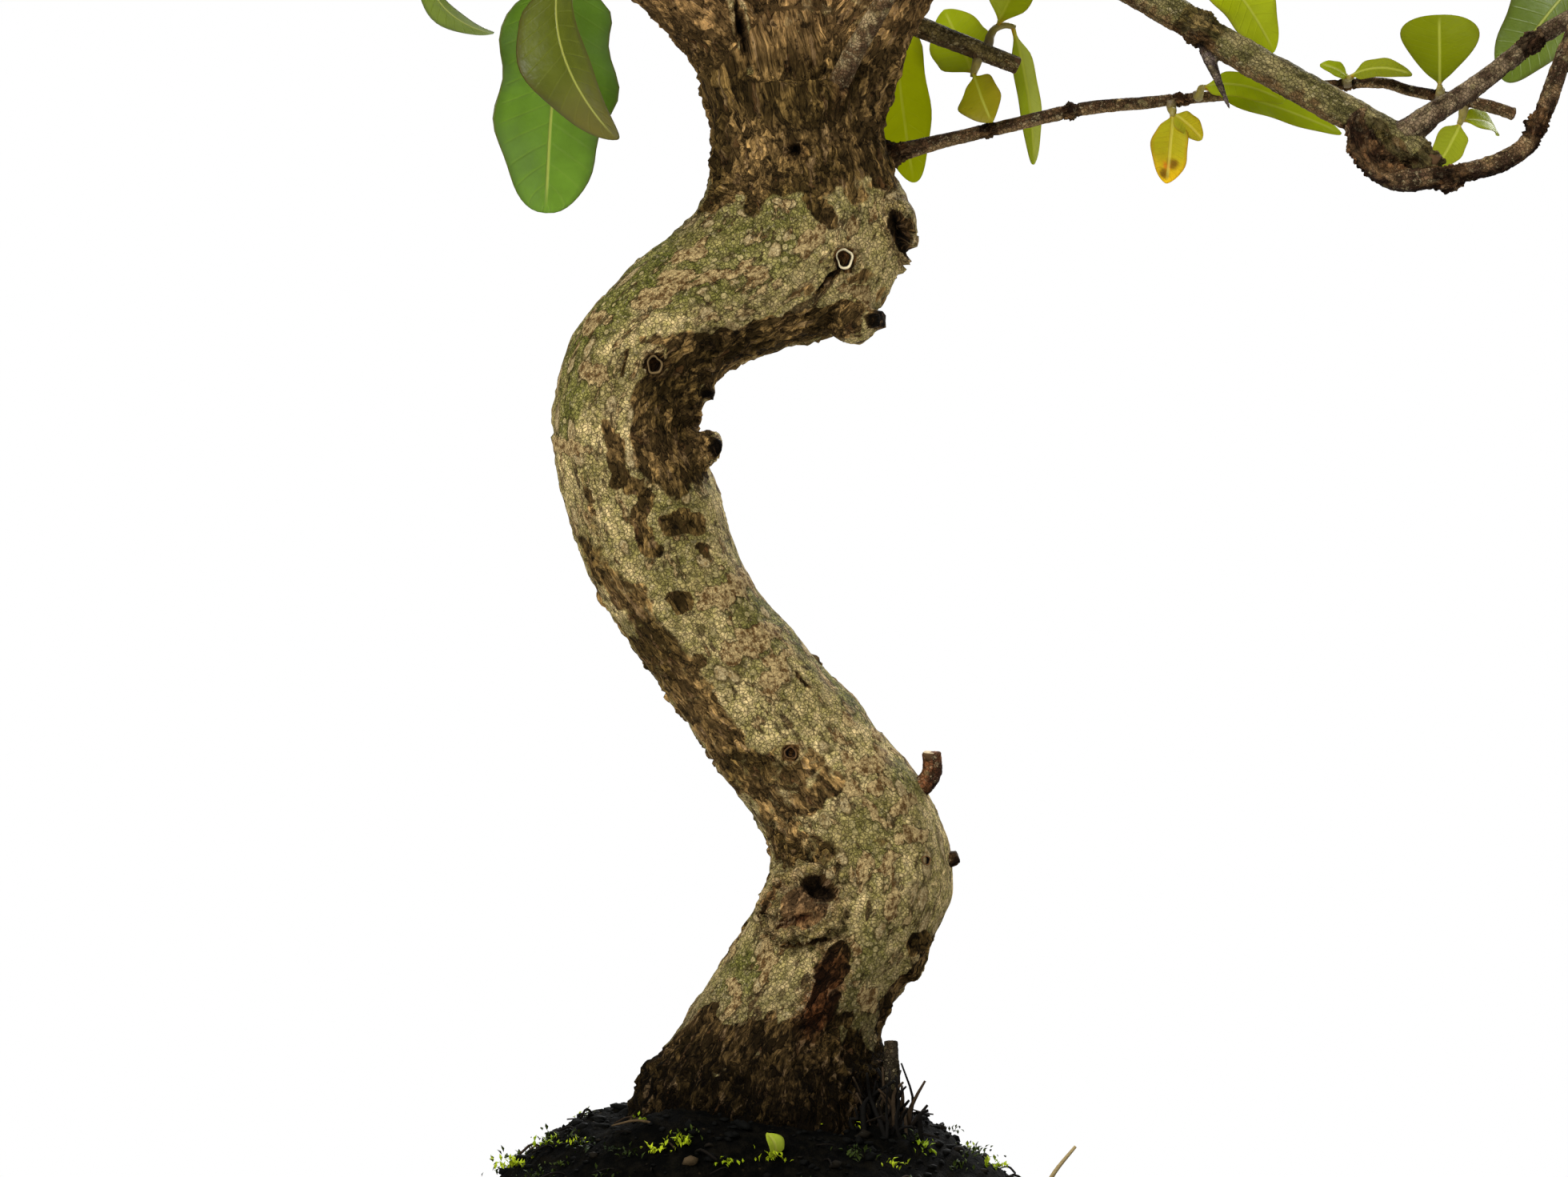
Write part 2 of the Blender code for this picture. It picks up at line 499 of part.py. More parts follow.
def trunk_rings(grow=0.0, below=math.inf):
    """Slices of the trunk: ovals across each section, fluted at the front and back only."""
    rows = [[*left, *right, depth, half] for left, right, depth, half in TRUNK if left[1] < below]
    rows[0][1] -= grow
    rows[0][3] -= grow
    rings = []
    for row in rows:
        left = Vector((row[0], row[4], row[1]))
        right = Vector((row[2], row[4], row[3]))
        across = (right - left) / 2
        across_out = across.normalized() * (across.length + grow)
        ring = []
        for k in range(TRUNK_SIDES):
            angle = 2 * math.pi * k / TRUNK_SIDES
            flute = sum(depth * math.sin(count * angle + twist * row[1]) for depth, count, twist in FLUTES)
            swell = 1 + flute * math.sin(angle) ** 2
            reach = across_out * math.cos(angle) + FRONT * (row[5] + grow) * math.sin(angle)
            ring.append((left + right) / 2 + reach * swell)
        rings.append(ring)
    return rings


def limb_path(name):
    """The centre line of a limb or a root, with its radius as a fourth number, smoothed on thick limbs."""
    sides, points = LIMBS[name] if name in LIMBS else (ROOT_SIDES, ROOTS[name])
    steps = 2 if sides >= THICK_SIDES else 1
    places = smooth_path([point[:3] for point in points], steps)
    radii = smooth_path([(point[3], 0, 0) for point in points], steps)
    return [(*place, radius[0]) for place, radius in zip(places, radii)]


def limb_shape(name, grow=0.0):
    """The solid of a limb or a root. When grown, as the hole round it, it is longer at both ends too."""
    sides = LIMBS[name][0] if name in LIMBS else ROOT_SIDES
    rings = tube_rings(limb_path(name), sides, grow)
    for ring, inner in ((rings[0], rings[1]), (rings[-1], rings[-2])):
        way = (sum(ring, Vector()) - sum(inner, Vector())).normalized()
        for point in ring:
            point += way * grow
    return skin(rings)


def burr_shape(place, radii):
    shape = bmesh.new()
    bmesh.ops.create_icosphere(shape, subdivisions=1, radius=1)
    bmesh.ops.scale(shape, vec=radii, verts=shape.verts)
    bmesh.ops.translate(shape, vec=place, verts=shape.verts)
    return shape


def leaf_outline(part, fullness):
    """The half width of a pomegranate leaf, as a share of its widest, from its base to its tip."""
    return min(part * LEAF_FLARE, math.sin(math.pi * part**LEAF_SKEW) ** (1 - fullness))


def blade_rings(base, tip, width, facing, arch, stations, grow=0.0):
    """Slices of a thin arched leaf, folded along its midrib: left edge, upper rib, right edge, under rib."""
    parts, fullness = stations
    way = (tip - base).normalized()
    side = way.cross(Vector(facing)).normalized()
    face = side.cross(way)
    knee = (base + tip) / 2 + face * arch * (tip - base).length * 2
    rings = []
    for part in parts:
        centre = base * (1 - part) ** 2 + knee * 2 * part * (1 - part) + tip * part**2
        along = ((knee - base) * (1 - part) + (tip - knee) * part).normalized()
        over = side.cross(along)
        half = max(ROOT_HALF, width / 2 * leaf_outline(part, fullness)) + grow
        lift = over * LEAF_FOLD * (half - ROOT_HALF)
        thick = over * (LEAF_THICKNESS / 2 + grow)
        rings.append([centre - side * half + lift, centre + thick, centre + side * half + lift, centre - thick])
    return rings


def add_blade(shape, rows, tip):
    """Faces of a leaf over rows of ring points, split alike above and below, and drawn to a tip."""
    for row, following in zip(rows, rows[1:]):
        for edge, rib in ((0, 1), (0, 3), (2, 1), (2, 3)):
            shape.faces.new((row[edge], row[rib], following[rib]))
            shape.faces.new((row[edge], following[rib], following[edge]))
    point = shape.verts.new(tip)
    for k, corner in enumerate(rows[-1]):
        shape.faces.new((corner, rows[-1][(k + 1) % 4], point))


def blade(base, tip, width, facing, arch, stations, grow=0.0):
    """A loose leaf with a small square root, to be joined to a stem or tested for its clearance."""
    base = Vector(base)
    tip = Vector(tip)
    parts, fullness = stations
    shape = bmesh.new()
    rings = blade_rings(base, tip, width, facing, arch, ((0.0, *parts), fullness), grow)
    rows = [[shape.verts.new(point) for point in ring] for ring in rings]
    add_blade(shape, rows, tip + (tip - base).normalized() * grow)
    shape.faces.new((rows[0][0], rows[0][1], rows[0][3]))
    shape.faces.new((rows[0][2], rows[0][3], rows[0][1]))
    bmesh.ops.recalc_face_normals(shape, faces=shape.faces)
    return shape


def material(name, colour_and_roughness):
    colour, roughness = colour_and_roughness
    made = bpy.data.materials.new(name)
    made.use_nodes = True
    shader = made.node_tree.nodes["Principled BSDF"]
    shader.inputs["Base Color"].default_value = (*colour, 1)
    shader.inputs["Roughness"].default_value = roughness
    shader.inputs["Metallic"].default_value = 0.0
    return made


def make_object(name, shape, look=None, smooth=True):
    mesh = bpy.data.meshes.new(name)
    shape.to_mesh(mesh)
    shape.free()
    if smooth:
        mesh.shade_smooth()
        mesh.set_sharp_from_angle(angle=SHARP_ANGLE)
    made = bpy.data.objects.new(name, mesh)
    bpy.context.scene.collection.objects.link(made)
    if look:
        made.data.materials.append(look)
    return made


def apply_boolean(target, shapes, operation, solver="EXACT"):
    """Joins the shapes to the target, or cuts them from it, and removes what they were made of."""
    group = bpy.data.collections.new(f"{target.name}_{operation.lower()}")
    bpy.context.scene.collection.children.link(group)
    for index, shape in enumerate(shapes):
        mesh = bpy.data.meshes.new(f"{target.name}_piece_{index}")
        shape.to_mesh(mesh)
        shape.free()
        group.objects.link(bpy.data.objects.new(mesh.name, mesh))
    modifier = target.modifiers.new(operation, "BOOLEAN")
    modifier.operation = operation
    modifier.operand_type = "COLLECTION"
    modifier.collection = group
    modifier.solver = solver
    with bpy.context.temp_override(object=target, active_object=target):
        bpy.ops.object.modifier_apply(modifier=modifier.name)
    for piece in list(group.objects):
        bpy.data.objects.remove(piece)
    bpy.data.collections.remove(group)


def make_wood():
    wood = make_object(WOOD, skin(trunk_rings()), material("bark", BARK))
    shapes = [limb_shape(name) for name in (*LIMBS, *ROOTS)]
    shapes += [burr_shape(*burr) for burr in BURRS]
    apply_boolean(wood, shapes, "UNION")
    return wood


def oval(half_x, half_y, z):
    angles = (2 * math.pi * k / OVAL_POINTS for k in range(OVAL_POINTS))
    return [Vector((half_x * math.cos(a), half_y * math.sin(a), z)) for a in angles]


def inset_oval(inset, z):
    """An oval that stands in from the rim's outer edge."""
    return oval(RIM_HALF.x - inset, RIM_HALF.y - inset, z)


def wall_inset(z):
    """How far the pot's inner wall stands in from the rim at a height."""
    (high_inset, high), (low_inset, low) = POT_INNER[:2]
    return lerp(low_inset, high_inset, (z - low) / (high - low))


def make_pot():
    """Leaning wall with a band under the rim, the hollow, four feet and two drain holes."""
    rings = [inset_oval(*ring) for ring in (*POT_OUTER, *POT_INNER)]
    pot = make_object("pot", skin(rings), material("stoneware", STONEWARE))
    feet = [foot_shape(FOOT_AT.x * side, FOOT_AT.y * end) for side in (-1, 1) for end in (-1, 1)]
    apply_boolean(pot, feet, "UNION")
    apply_boolean(pot, [drain_shape(DRAIN_X * side) for side in (-1, 1)], "DIFFERENCE")
    return pot


def foot_shape(x, y):
    """A bevelled block under the pot, turned to follow the oval's edge."""
    shape = bmesh.new()
    bmesh.ops.create_cube(shape, size=1)
    bmesh.ops.scale(shape, vec=FOOT_SIZE, verts=shape.verts)
    bmesh.ops.bevel(shape, geom=shape.edges, offset=FOOT_BEVEL, segments=1, affect="EDGES")
    slope = math.atan2(-x * RIM_HALF.y**2, y * RIM_HALF.x**2)
    bmesh.ops.rotate(shape, matrix=Quaternion(UP, slope).to_matrix(), verts=shape.verts)
    bmesh.ops.translate(shape, vec=(x, y, FOOT_SIZE.z / 2), verts=shape.verts)
    return shape


def drain_shape(x):
    circle = [2 * math.pi * k / DRAIN_SIDES for k in range(DRAIN_SIDES)]
    return skin([
        [Vector((x + DRAIN_RADIUS * math.cos(a), DRAIN_RADIUS * math.sin(a), z)) for a in circle]
        for z in (0.0, DRAIN_CUT_TOP)
    ])


def plate(x, size, low, high):
    shape = bmesh.new()
    bmesh.ops.create_cube(shape, size=1)
    bmesh.ops.scale(shape, vec=(size, size, high - low), verts=shape.verts)
    bmesh.ops.translate(shape, vec=(x, 0, (low + high) / 2), verts=shape.verts)
    return shape


def make_drain_mesh(name, x):
    low = FLOOR_TOP + FIT_GAP
    shape = plate(x, MESH_SIZE, low, low + MESH_THICKNESS)
    return make_object(name, shape, material(name, SCREEN), smooth=False)


def make_soil():
    """Peat up to just under the rim, mounded round the trunk, with holes for the roots and drain meshes."""
    low = FLOOR_TOP + FIT_GAP
    rings = [inset_oval(POT_INNER[-1][0] + SOIL_FLOOR_GAP, low)]
    rings += [inset_oval(wall_inset(z) + SOIL_WALL_GAP, z) for z in (SOIL_CORNER, SOIL_EDGE_HEIGHT)]
    for half_x, half_y, z in SOIL_RINGS:
        ring = oval(half_x, half_y, z)
        for point in ring:
            angle = math.atan2(point.y, point.x)
            point.z += sum(size * math.sin(count * angle + shift * half_x) for size, count, shift in SOIL_BUMPS)
        rings.append(ring)
    soil = make_object("soil", skin(rings), material("peat", PEAT))
    holes = [skin(trunk_rings(TRUNK_HOLE_GAP, below=TRUNK_HOLE_TOP))]
    holes += [limb_shape(name, ROOT_HOLE_GAP) for name in (*ROOTS, "dead_sprout")]
    top = low + MESH_THICKNESS + FIT_GAP
    holes += [plate(DRAIN_X * side, MESH_SIZE + 2 * FIT_GAP, 0.0, top) for side in (-1, 1)]
    apply_boolean(soil, holes, "DIFFERENCE")
    return soil


class SeenShoot:
    """A short stem with leaves laid out by hand, joined into one solid and seated on the nearest bark."""

    def __init__(self, name, stem, leaves, bark):
        self.name = name
        stem = [Vector(point) for point in stem]
        hit, normal = bark.find_nearest(stem[0])[:2]
        outer = [point for point in stem if (point - hit).length > STEM_FIRST]
        self.stem = [hit + normal * (FIT_GAP + SEAT_CLEARANCE), hit + normal * STEM_COLLAR, *outer]
        self.leaves = leaves

    def stem_shape(self):
        last = len(self.stem) - 1
        path = [(*point, lerp(STEM_RADIUS, TWIG_END_RADIUS, k / last)) for k, point in enumerate(self.stem)]
        return skin(tube_rings(path, SEEN_STEM_SIDES))

    def leaf_shapes(self):
        return [blade(*leaf, SEEN_STATIONS) for leaf in self.leaves]

    def make(self, look):
        made = make_object(self.name, self.stem_shape(), look)
        apply_boolean(made, self.leaf_shapes(), "UNION", "MANIFOLD")
        return made


class CrownShoot:
    """A four-sided stem with opposite pairs of leaves drawn out of its sides, and one out of its tip."""

    def __init__(self, name, points):
        self.name = name
        ends = [0.0, FIRST_RING]
        for part in PAIRS_AT:
            ends += [part - NODE_HALF, part + NODE_HALF]
        ends.append(1.0)
        curve = smooth_path(points, STEM_STEPS)
        self.path = []
        for part in ends:
            along = part * (len(curve) - 1)
            index = min(int(along), len(curve) - 2)
            centre = curve[index].lerp(curve[index + 1], along - index)
            self.path.append((*centre, lerp(STEM_RADIUS, TWIG_END_RADIUS, part)))
        self.rings = tube_rings(self.path, 4)
        self.leaves = {}

    def root_of(self, span, side):
        """The four corners that a leaf grows out of, turning the same way round as the leaf's own rings."""
        if span is None:
            return self.rings[-1]
        low, high = self.rings[span], self.rings[span + 1]
        return [low[side], low[(side + 1) % 4], high[(side + 1) % 4], high[side]]

    def stem_shape(self, grow=0.0):
        return skin(tube_rings(self.path, 4, grow))

    def make(self, look):
        shape = bmesh.new()
        rows = [[shape.verts.new(point) for point in ring] for ring in self.rings]
        shape.faces.new((rows[0][0], rows[0][2], rows[0][1]))
        shape.faces.new((rows[0][0], rows[0][3], rows[0][2]))
        for span, (row, following) in enumerate(zip(rows, rows[1:])):
            for side in range(4):
                corners = [row[side], row[(side + 1) % 4], following[(side + 1) % 4], following[side]]
                self.close(shape, corners, (span, side))
        self.close(shape, rows[-1], (None, 0))
        bmesh.ops.recalc_face_normals(shape, faces=shape.faces)
        return make_object(self.name, shape, look)

    def close(self, shape, corners, place):
        """Closes a side of the stem with two faces, or with the leaf that grows there."""
        if place not in self.leaves:
            shape.faces.new(corners[:3])
            shape.faces.new((corners[0], corners[2], corners[3]))
            return
        base, tip, width, facing, arch = self.leaves[place]
        rings = blade_rings(base, tip, width, facing, arch, CROWN_STATIONS)
        rows = [[shape.verts.new(point) for point in ring] for ring in rings]
        shift = min(range(4), key=lambda turn: sum(
            (corners[(k + turn) % 4].co - rows[0][k].co).length for k in range(4)
        ))
        for k in range(4):
            first, second = corners[(k + shift) % 4], corners[(k + 1 + shift) % 4]
            shape.faces.new((first, second, rows[0][(k + 1) % 4]))
            shape.faces.new((first, rows[0][(k + 1) % 4], rows[0][k]))
        add_blade(shape, rows, tip)


class Clearance:
    """What a new stem or leaf has to keep clear of: search trees with their boxes and what each belongs to."""

    def __init__(self, wood):
        self.obstacles = []
        shape = bmesh.new()
        shape.from_mesh(wood.data)
        self.wood = BVHTree.FromBMesh(shape)
        self.add(shape, WOOD)

    def add(self, shape, owner):
        low, high = bounds(shape)
        self.obstacles.append((owner, low, high, BVHTree.FromBMesh(shape)))
        shape.free()

    def clear(self, shape, root, reach, owner):
        """Whether the shape touches no obstacle, leaving out its first stretch for what it grows from."""
        low, high = bounds(shape)
        whole = BVHTree.FromBMesh(shape)
        near_root = [vertex for vertex in shape.verts if (vertex.co - root).length < reach]
        bmesh.ops.delete(shape, geom=near_root, context="VERTS")
        trimmed = BVHTree.FromBMesh(shape)
        shape.free()
        for other_owner, other_low, other_high, other in self.obstacles:
            apart = any(low[k] > other_high[k] or high[k] < other_low[k] for k in range(3))
            tree = trimmed if other_owner == owner else whole
            if not apart and tree.overlap(other):
                return False
        return True


def bounds(shape):
    points = [vertex.co for vertex in shape.verts]
    low = [min(point[k] for point in points) for k in range(3)]
    high = [max(point[k] for point in points) for k in range(3)]
    return low, high


def outside_view(point):
    """Whether a point is above or to the right of the view that is kept clear of the crown's own leaves."""
    spread = (VIEW_DISTANCE + point.y) / VIEW_DISTANCE
    above = point.z > VIEW_CENTRE.y + VIEW_HALF.y * spread + VIEW_MARGIN
    beside = point.x > VIEW_CENTRE.x + VIEW_HALF.x * spread + VIEW_MARGIN
    return above or beside


def seat(clearance, path, part, angle):
    """The start of a stem on a limb's bark, or at its end, and the way it first grows."""
    places = [Vector(point[:3]) for point in path]
    along = part * (len(places) - 1)
    index = min(int(along), len(places) - 2)
    centre = places[index].lerp(places[index + 1], along - index)
    way = (places[index + 1] - places[index]).normalized()
    if part == 1.0:
        return centre + way * (FIT_GAP + SEAT_END_CLEARANCE), way
    side = way.cross(UP).normalized()
    out = (side * math.cos(angle) + side.cross(way) * math.sin(angle)).normalized()
    hit = clearance.wood.ray_cast(centre + out * SEAT_PROBE, -out)[0]
    return hit + out * (FIT_GAP + SEAT_CLEARANCE), out


def stem_points(start, out, way, length):
    """A stem that leaves the bark squarely and then bends toward the light and the limb's own way."""
    square, along, up = BEND_WEIGHTS
    grow = (out * square + way * along + UP * up).normalized()
    bend = start + out * BEND_START
    return [start, start + out * SQUARE_RUN, bend + grow * length * BEND_SHARE, bend + grow * length]


def crown_leaf(shoot, place, swing, length, spread):
    """One leaf: its base on the stem's side, its tip, and the way its upper face looks."""
    corners = shoot.root_of(*place)
    base = sum(corners, Vector()) / 4
    out = (corners[1] - corners[0]).cross(corners[3] - corners[0]).normalized()
    index = len(shoot.path) - 2 if place[0] is None else place[0]
    way = (Vector(shoot.path[index + 1][:3]) - Vector(shoot.path[index][:3])).normalized()
    if place[0] is None:
        out = way.orthogonal().normalized()
    out = Quaternion(way, swing) @ out
    reach = way * math.cos(spread) + out * math.sin(spread)
    facing = (way * math.sin(spread) - out * math.cos(spread)) * FACE_ALONG + UP * FACE_UP
    if facing.cross(reach).length < FACE_LEAST:
        facing = facing + FRONT * FACE_FRONT
    return base, base + reach * length, facing


def try_leaf(clearance, shoot, place, draw, spread):
    """Adds a leaf where it is clear of everything, turning or shortening it a little if need be."""
    length = draw.uniform(*CROWN_LEAF)
    arch = draw.uniform(*CROWN_ARCH)
    for swing, share in LEAF_TRIES:
        base, tip, facing = crown_leaf(shoot, place, swing, length * share, spread)
        leaf = (base, tip, length * share * LEAF_SHAPE, facing, arch)
        body = blade(*leaf, CROWN_STATIONS, CLEARANCE)
        in_sight = any(not outside_view(vertex.co) for vertex in body.verts)
        if clearance.clear(body, base, LEAF_ROOT, shoot.name) and not in_sight:
            shoot.leaves[place] = leaf
            clearance.add(blade(*leaf, CROWN_STATIONS), shoot.name)
            return


def crown_stems(clearance):
    """Stems of the crown's shoots, each clear of the wood, the leaves in view and the other stems."""
    draw = random.Random(STEM_SEED)
    shoots = []
    for limb, parts in CROWN.items():
        path = limb_path(limb)
        for part in parts:
            shoot = first_clear_stem(clearance, path, part, f"shoot_crown_{len(shoots) + 1:02d}", draw)
            if shoot:
                clearance.add(shoot.stem_shape(), shoot.name)
                shoots.append(shoot)
    return shoots


def first_clear_stem(clearance, path, part, name, draw):
    """The first stem of a few tries that stays out of the kept view and clear of everything, or None."""
    length = draw.uniform(*CROWN_STEM)
    turn = draw.uniform(0, 2 * math.pi)
    limb_way = (Vector(path[-1][:3]) - Vector(path[-3][:3])).normalized()
    for attempt in range(STEM_TRIES):
        angle = math.pi / 2 + ((turn + attempt * STEM_TURN) % (2 * math.pi) - math.pi) * STEM_TURN_SHARE
        start, out = seat(clearance, path, part, angle)
        tilt = attempt * STEM_TILT * (-1) ** attempt if part == 1.0 else 0.0
        way = Quaternion(FRONT, tilt) @ limb_way
        for lift in SEAT_LIFTS:
            shoot = CrownShoot(name, stem_points(start + out * lift, out, way, length))
            hidden = all(outside_view(Vector(point[:3])) for point in shoot.path)
            seated = clearance.clear(shoot.stem_shape(SEAT_CLEARANCE), start, 0, None)
            if hidden and seated and clearance.clear(shoot.stem_shape(CLEARANCE), start, STEM_ROOT, WOOD):
                return shoot
    return None


def crown_leaves(clearance, shoots):
    """Opposite pairs of leaves up each stem, each pair square to the last, and one at the tip."""
    draw = random.Random(LEAF_SEED)
    for shoot in shoots:
        for pair in range(len(PAIRS_AT)):
            for side in (pair % 2, pair % 2 + 2):
                try_leaf(clearance, shoot, (2 + 2 * pair, side), draw, SPREAD - SPREAD_STEP * pair)
        try_leaf(clearance, shoot, (None, 0), draw, TIP_SPREAD)


def make_shoots(wood):
    clearance = Clearance(wood)
    seen = [SeenShoot(name, *layout, clearance.wood) for name, layout in SHOOTS.items()]
    for shoot in seen:
        for shape in (shoot.stem_shape(), *shoot.leaf_shapes()):
            clearance.add(shape, shoot.name)
    grown = crown_stems(clearance)
    crown_leaves(clearance, grown)
    green = material("leaf_green", LEAF_GREEN)
    yellow = material("leaf_yellow", LEAF_YELLOW)
    return [shoot.make(yellow if "yellow" in shoot.name else green) for shoot in seen + grown]


def main():
    for left in list(bpy.data.objects):
        bpy.data.objects.remove(left)
    wood = make_wood()
    nodes = [wood, make_pot(), make_soil()]
    nodes.append(make_drain_mesh("drain_mesh_left", -DRAIN_X))
    nodes.append(make_drain_mesh("drain_mesh_right", DRAIN_X))
    nodes += make_shoots(wood)
    points = [vertex.co for node in nodes for vertex in node.data.vertices]
    middle = [(min(p[k] for p in points) + max(p[k] for p in points)) / 2 for k in (0, 1)]
    base = bpy.data.objects.new("bonsai_base", None)
    bpy.context.scene.collection.objects.link(base)
    base.location = (-middle[0], -middle[1], 0)
    for node in nodes:
        node.parent = base


main()
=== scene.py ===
"""Looks of the pomegranate bonsai: bark, leaves, soil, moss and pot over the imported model.

Sizes are in millimetres in the pot's own frame, with the pot's axis at x = y = 0 and the front of the tree
facing -Y, unless a name says otherwise. They become metres in the row's frame where a mesh is made. Places on
the front of the tree are given in points of a picture 1960 wide and 1471 high, as the camera sees them.
"""

import logging
import math
import random
from dataclasses import dataclass
from enum import Enum
from typing import Callable, Iterable, Sequence, Union

import bmesh
import bpy
import numpy as np
from mathutils import Euler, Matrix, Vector, noise
from mathutils.bvhtree import BVHTree


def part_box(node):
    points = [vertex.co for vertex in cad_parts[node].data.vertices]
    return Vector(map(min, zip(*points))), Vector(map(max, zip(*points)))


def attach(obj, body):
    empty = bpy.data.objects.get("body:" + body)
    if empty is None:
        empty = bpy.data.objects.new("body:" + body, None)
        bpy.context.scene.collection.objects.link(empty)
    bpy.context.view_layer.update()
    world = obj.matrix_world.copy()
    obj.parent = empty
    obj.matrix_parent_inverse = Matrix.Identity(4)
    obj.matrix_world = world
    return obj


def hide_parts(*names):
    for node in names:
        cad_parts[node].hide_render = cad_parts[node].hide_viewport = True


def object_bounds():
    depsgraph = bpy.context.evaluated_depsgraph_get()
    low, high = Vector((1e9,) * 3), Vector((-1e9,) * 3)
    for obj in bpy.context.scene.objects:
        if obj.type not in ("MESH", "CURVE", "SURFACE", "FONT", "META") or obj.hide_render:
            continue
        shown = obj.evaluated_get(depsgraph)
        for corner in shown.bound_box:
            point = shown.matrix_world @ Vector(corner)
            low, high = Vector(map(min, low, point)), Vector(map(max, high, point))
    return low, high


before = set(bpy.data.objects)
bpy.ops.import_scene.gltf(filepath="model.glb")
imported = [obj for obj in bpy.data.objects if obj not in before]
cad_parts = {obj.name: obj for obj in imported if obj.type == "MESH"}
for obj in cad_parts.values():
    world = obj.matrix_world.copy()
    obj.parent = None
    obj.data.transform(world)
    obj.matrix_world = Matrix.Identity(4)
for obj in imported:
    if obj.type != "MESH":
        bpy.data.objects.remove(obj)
CAD_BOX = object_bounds()

LOG = logging.getLogger("bonsai")
MM = 0.001
Row = tuple[float, ...]
Tint = Union[Row, np.ndarray, None]
Sockets = dict[Union[str, int], object]
Finishes = dict[object, bpy.types.Material]

# Where the eye stands, in front of the tree, and how a picture point maps to the plane through the pot's axis
EYE = np.array((6.25, -1100.0, 164.0))
PICTURE_MIDDLE = (980.0, 735.5)
POINTS_PER_MM = 8.0
SENSOR_WIDTH = 36.0
FRONT = np.array((0.0, -1.0, 0.0))

# Trunk sections: the left edge (x, z), the right edge (x, z), then the middle's depth and the half thickness
TRUNK = (
    (-12.5, 44, 11, 44, 0, 11.5), (-18, 64, 19, 64, 0, 17.5), (-19.5, 77, 24.5, 77, 0, 19),
    (-16.6, 87.2, 23.8, 87.4, 0.3, 18.2), (-13.5, 91.2, 22, 91.4, 0.6, 16.8),
    (-10.6, 94.9, 21.9, 95.4, 1, 15.5), (-7.7, 99.2, 24, 99.9, 1.4, 14.8),
    (-4.7, 103.7, 27.2, 104.9, 1.8, 14.5), (-1.5, 108.7, 30.2, 110.2, 2, 14.3),
    (1.5, 113.9, 32.5, 115.4, 2, 14.2), (3.7, 118.9, 32.5, 120.4, 1.8, 13.8),
    (4, 123.4, 31.6, 125.7, 1.4, 13.2), (1.5, 128.4, 28.1, 133.4, 0.8, 12.7),
    (-1.9, 132.8, 22.6, 139.9, 0.2, 12.2), (-6.3, 139.1, 17.1, 147.4, -0.6, 11.8),
    (-11.2, 146.3, 11.2, 153.2, -1.4, 11.5), (-16.3, 152.8, 6.4, 158.6, -2.2, 11.4),
    (-20.6, 159.9, 2.2, 163.7, -3, 11.5), (-24.4, 166.6, -0.6, 168.8, -3.6, 11.7),
    (-27.2, 174.1, -2.5, 174.7, -4, 12), (-29, 181.3, -4.7, 180.9, -4.1, 11.9),
    (-29.9, 188.1, -7.1, 186.9, -4, 11.6), (-29.6, 194.1, -6.6, 191.4, -3.7, 11.6),
    (-28.4, 199.4, -4.1, 195.8, -3.3, 11.8), (-26, 204.4, -0.3, 198.9, -2.8, 12.1),
    (-22.2, 209.7, 4.7, 200.9, -2, 12.4), (-17.1, 214.9, 10.3, 202.4, -1, 12.7),
    (-12.3, 218.8, 16, 204.4, 0.2, 13), (-8.5, 222.1, 20.8, 207.4, 1.4, 13.4),
    (-6.7, 224.9, 24, 212.4, 2.2, 13.7), (-5.7, 228.2, 26.2, 218.4, 2.6, 13.8),
    (-5.3, 231.9, 25.7, 223.9, 2.6, 13.6), (-5.3, 235.7, 23.5, 229.9, 2.2, 13.3),
    (-6.3, 239.4, 22, 236.2, 1.6, 13.2), (-7.6, 243.2, 21.2, 242.4, 1, 13),
)
# Flutes round the trunk: depth as a share of the radius, how many, and their twist for each millimetre up
FLUTES = ((0.05, 3, 0.040), (0.03, 5, -0.055))

# Arms, branches, twigs and roots: points (x, y, z, radius) from the thick end outward
ARMS = {
    "arm_left": ((7, 0, 233, 8.5), (-1, -1, 249.5, 8), (-13.5, -3, 262.5, 7.7), (-29, -5, 275.5, 6.3),
        (-48, -6, 287, 4.8), (-68, -3, 297, 3.6), (-90, 3, 306, 2.6), (-108, 6, 312, 1.7)),
    "arm_middle": ((6, 1, 234, 10.5), (7, 3, 252, 9.4), (4, 7, 268, 8.1), (0, 9, 286, 6.8),
        (6, 8, 306, 5.4), (12, 4, 326, 4.2), (8, 0, 346, 3.2), (2, -2, 362, 2.2)),
    "arm_right": ((12, 0, 234, 9.2), (18.5, -1, 249, 7.2), (26.5, -3, 263, 6), (34, -5, 278, 5),
        (44, -8, 292, 4.2), (52, -10, 308, 3.4), (54, -8, 326, 2.6), (50, -4, 342, 1.8)),
}
ROOTS = {
    "root_left": ((-8, -2, 80, 8), (-20, -4, 74, 5), (-34, -6, 62, 2.4)),
    "root_front": ((2, -8, 78, 8), (4, -20, 70, 4.8), (2, -34, 58, 2.2)),
    "root_right": ((14, -2, 79, 8), (26, 1, 72, 5), (40, 4, 60, 2.4)),
    "root_back": ((4, 8, 78, 8), (0, 20, 71, 4.8), (-6, 34, 58, 2.2)),
}
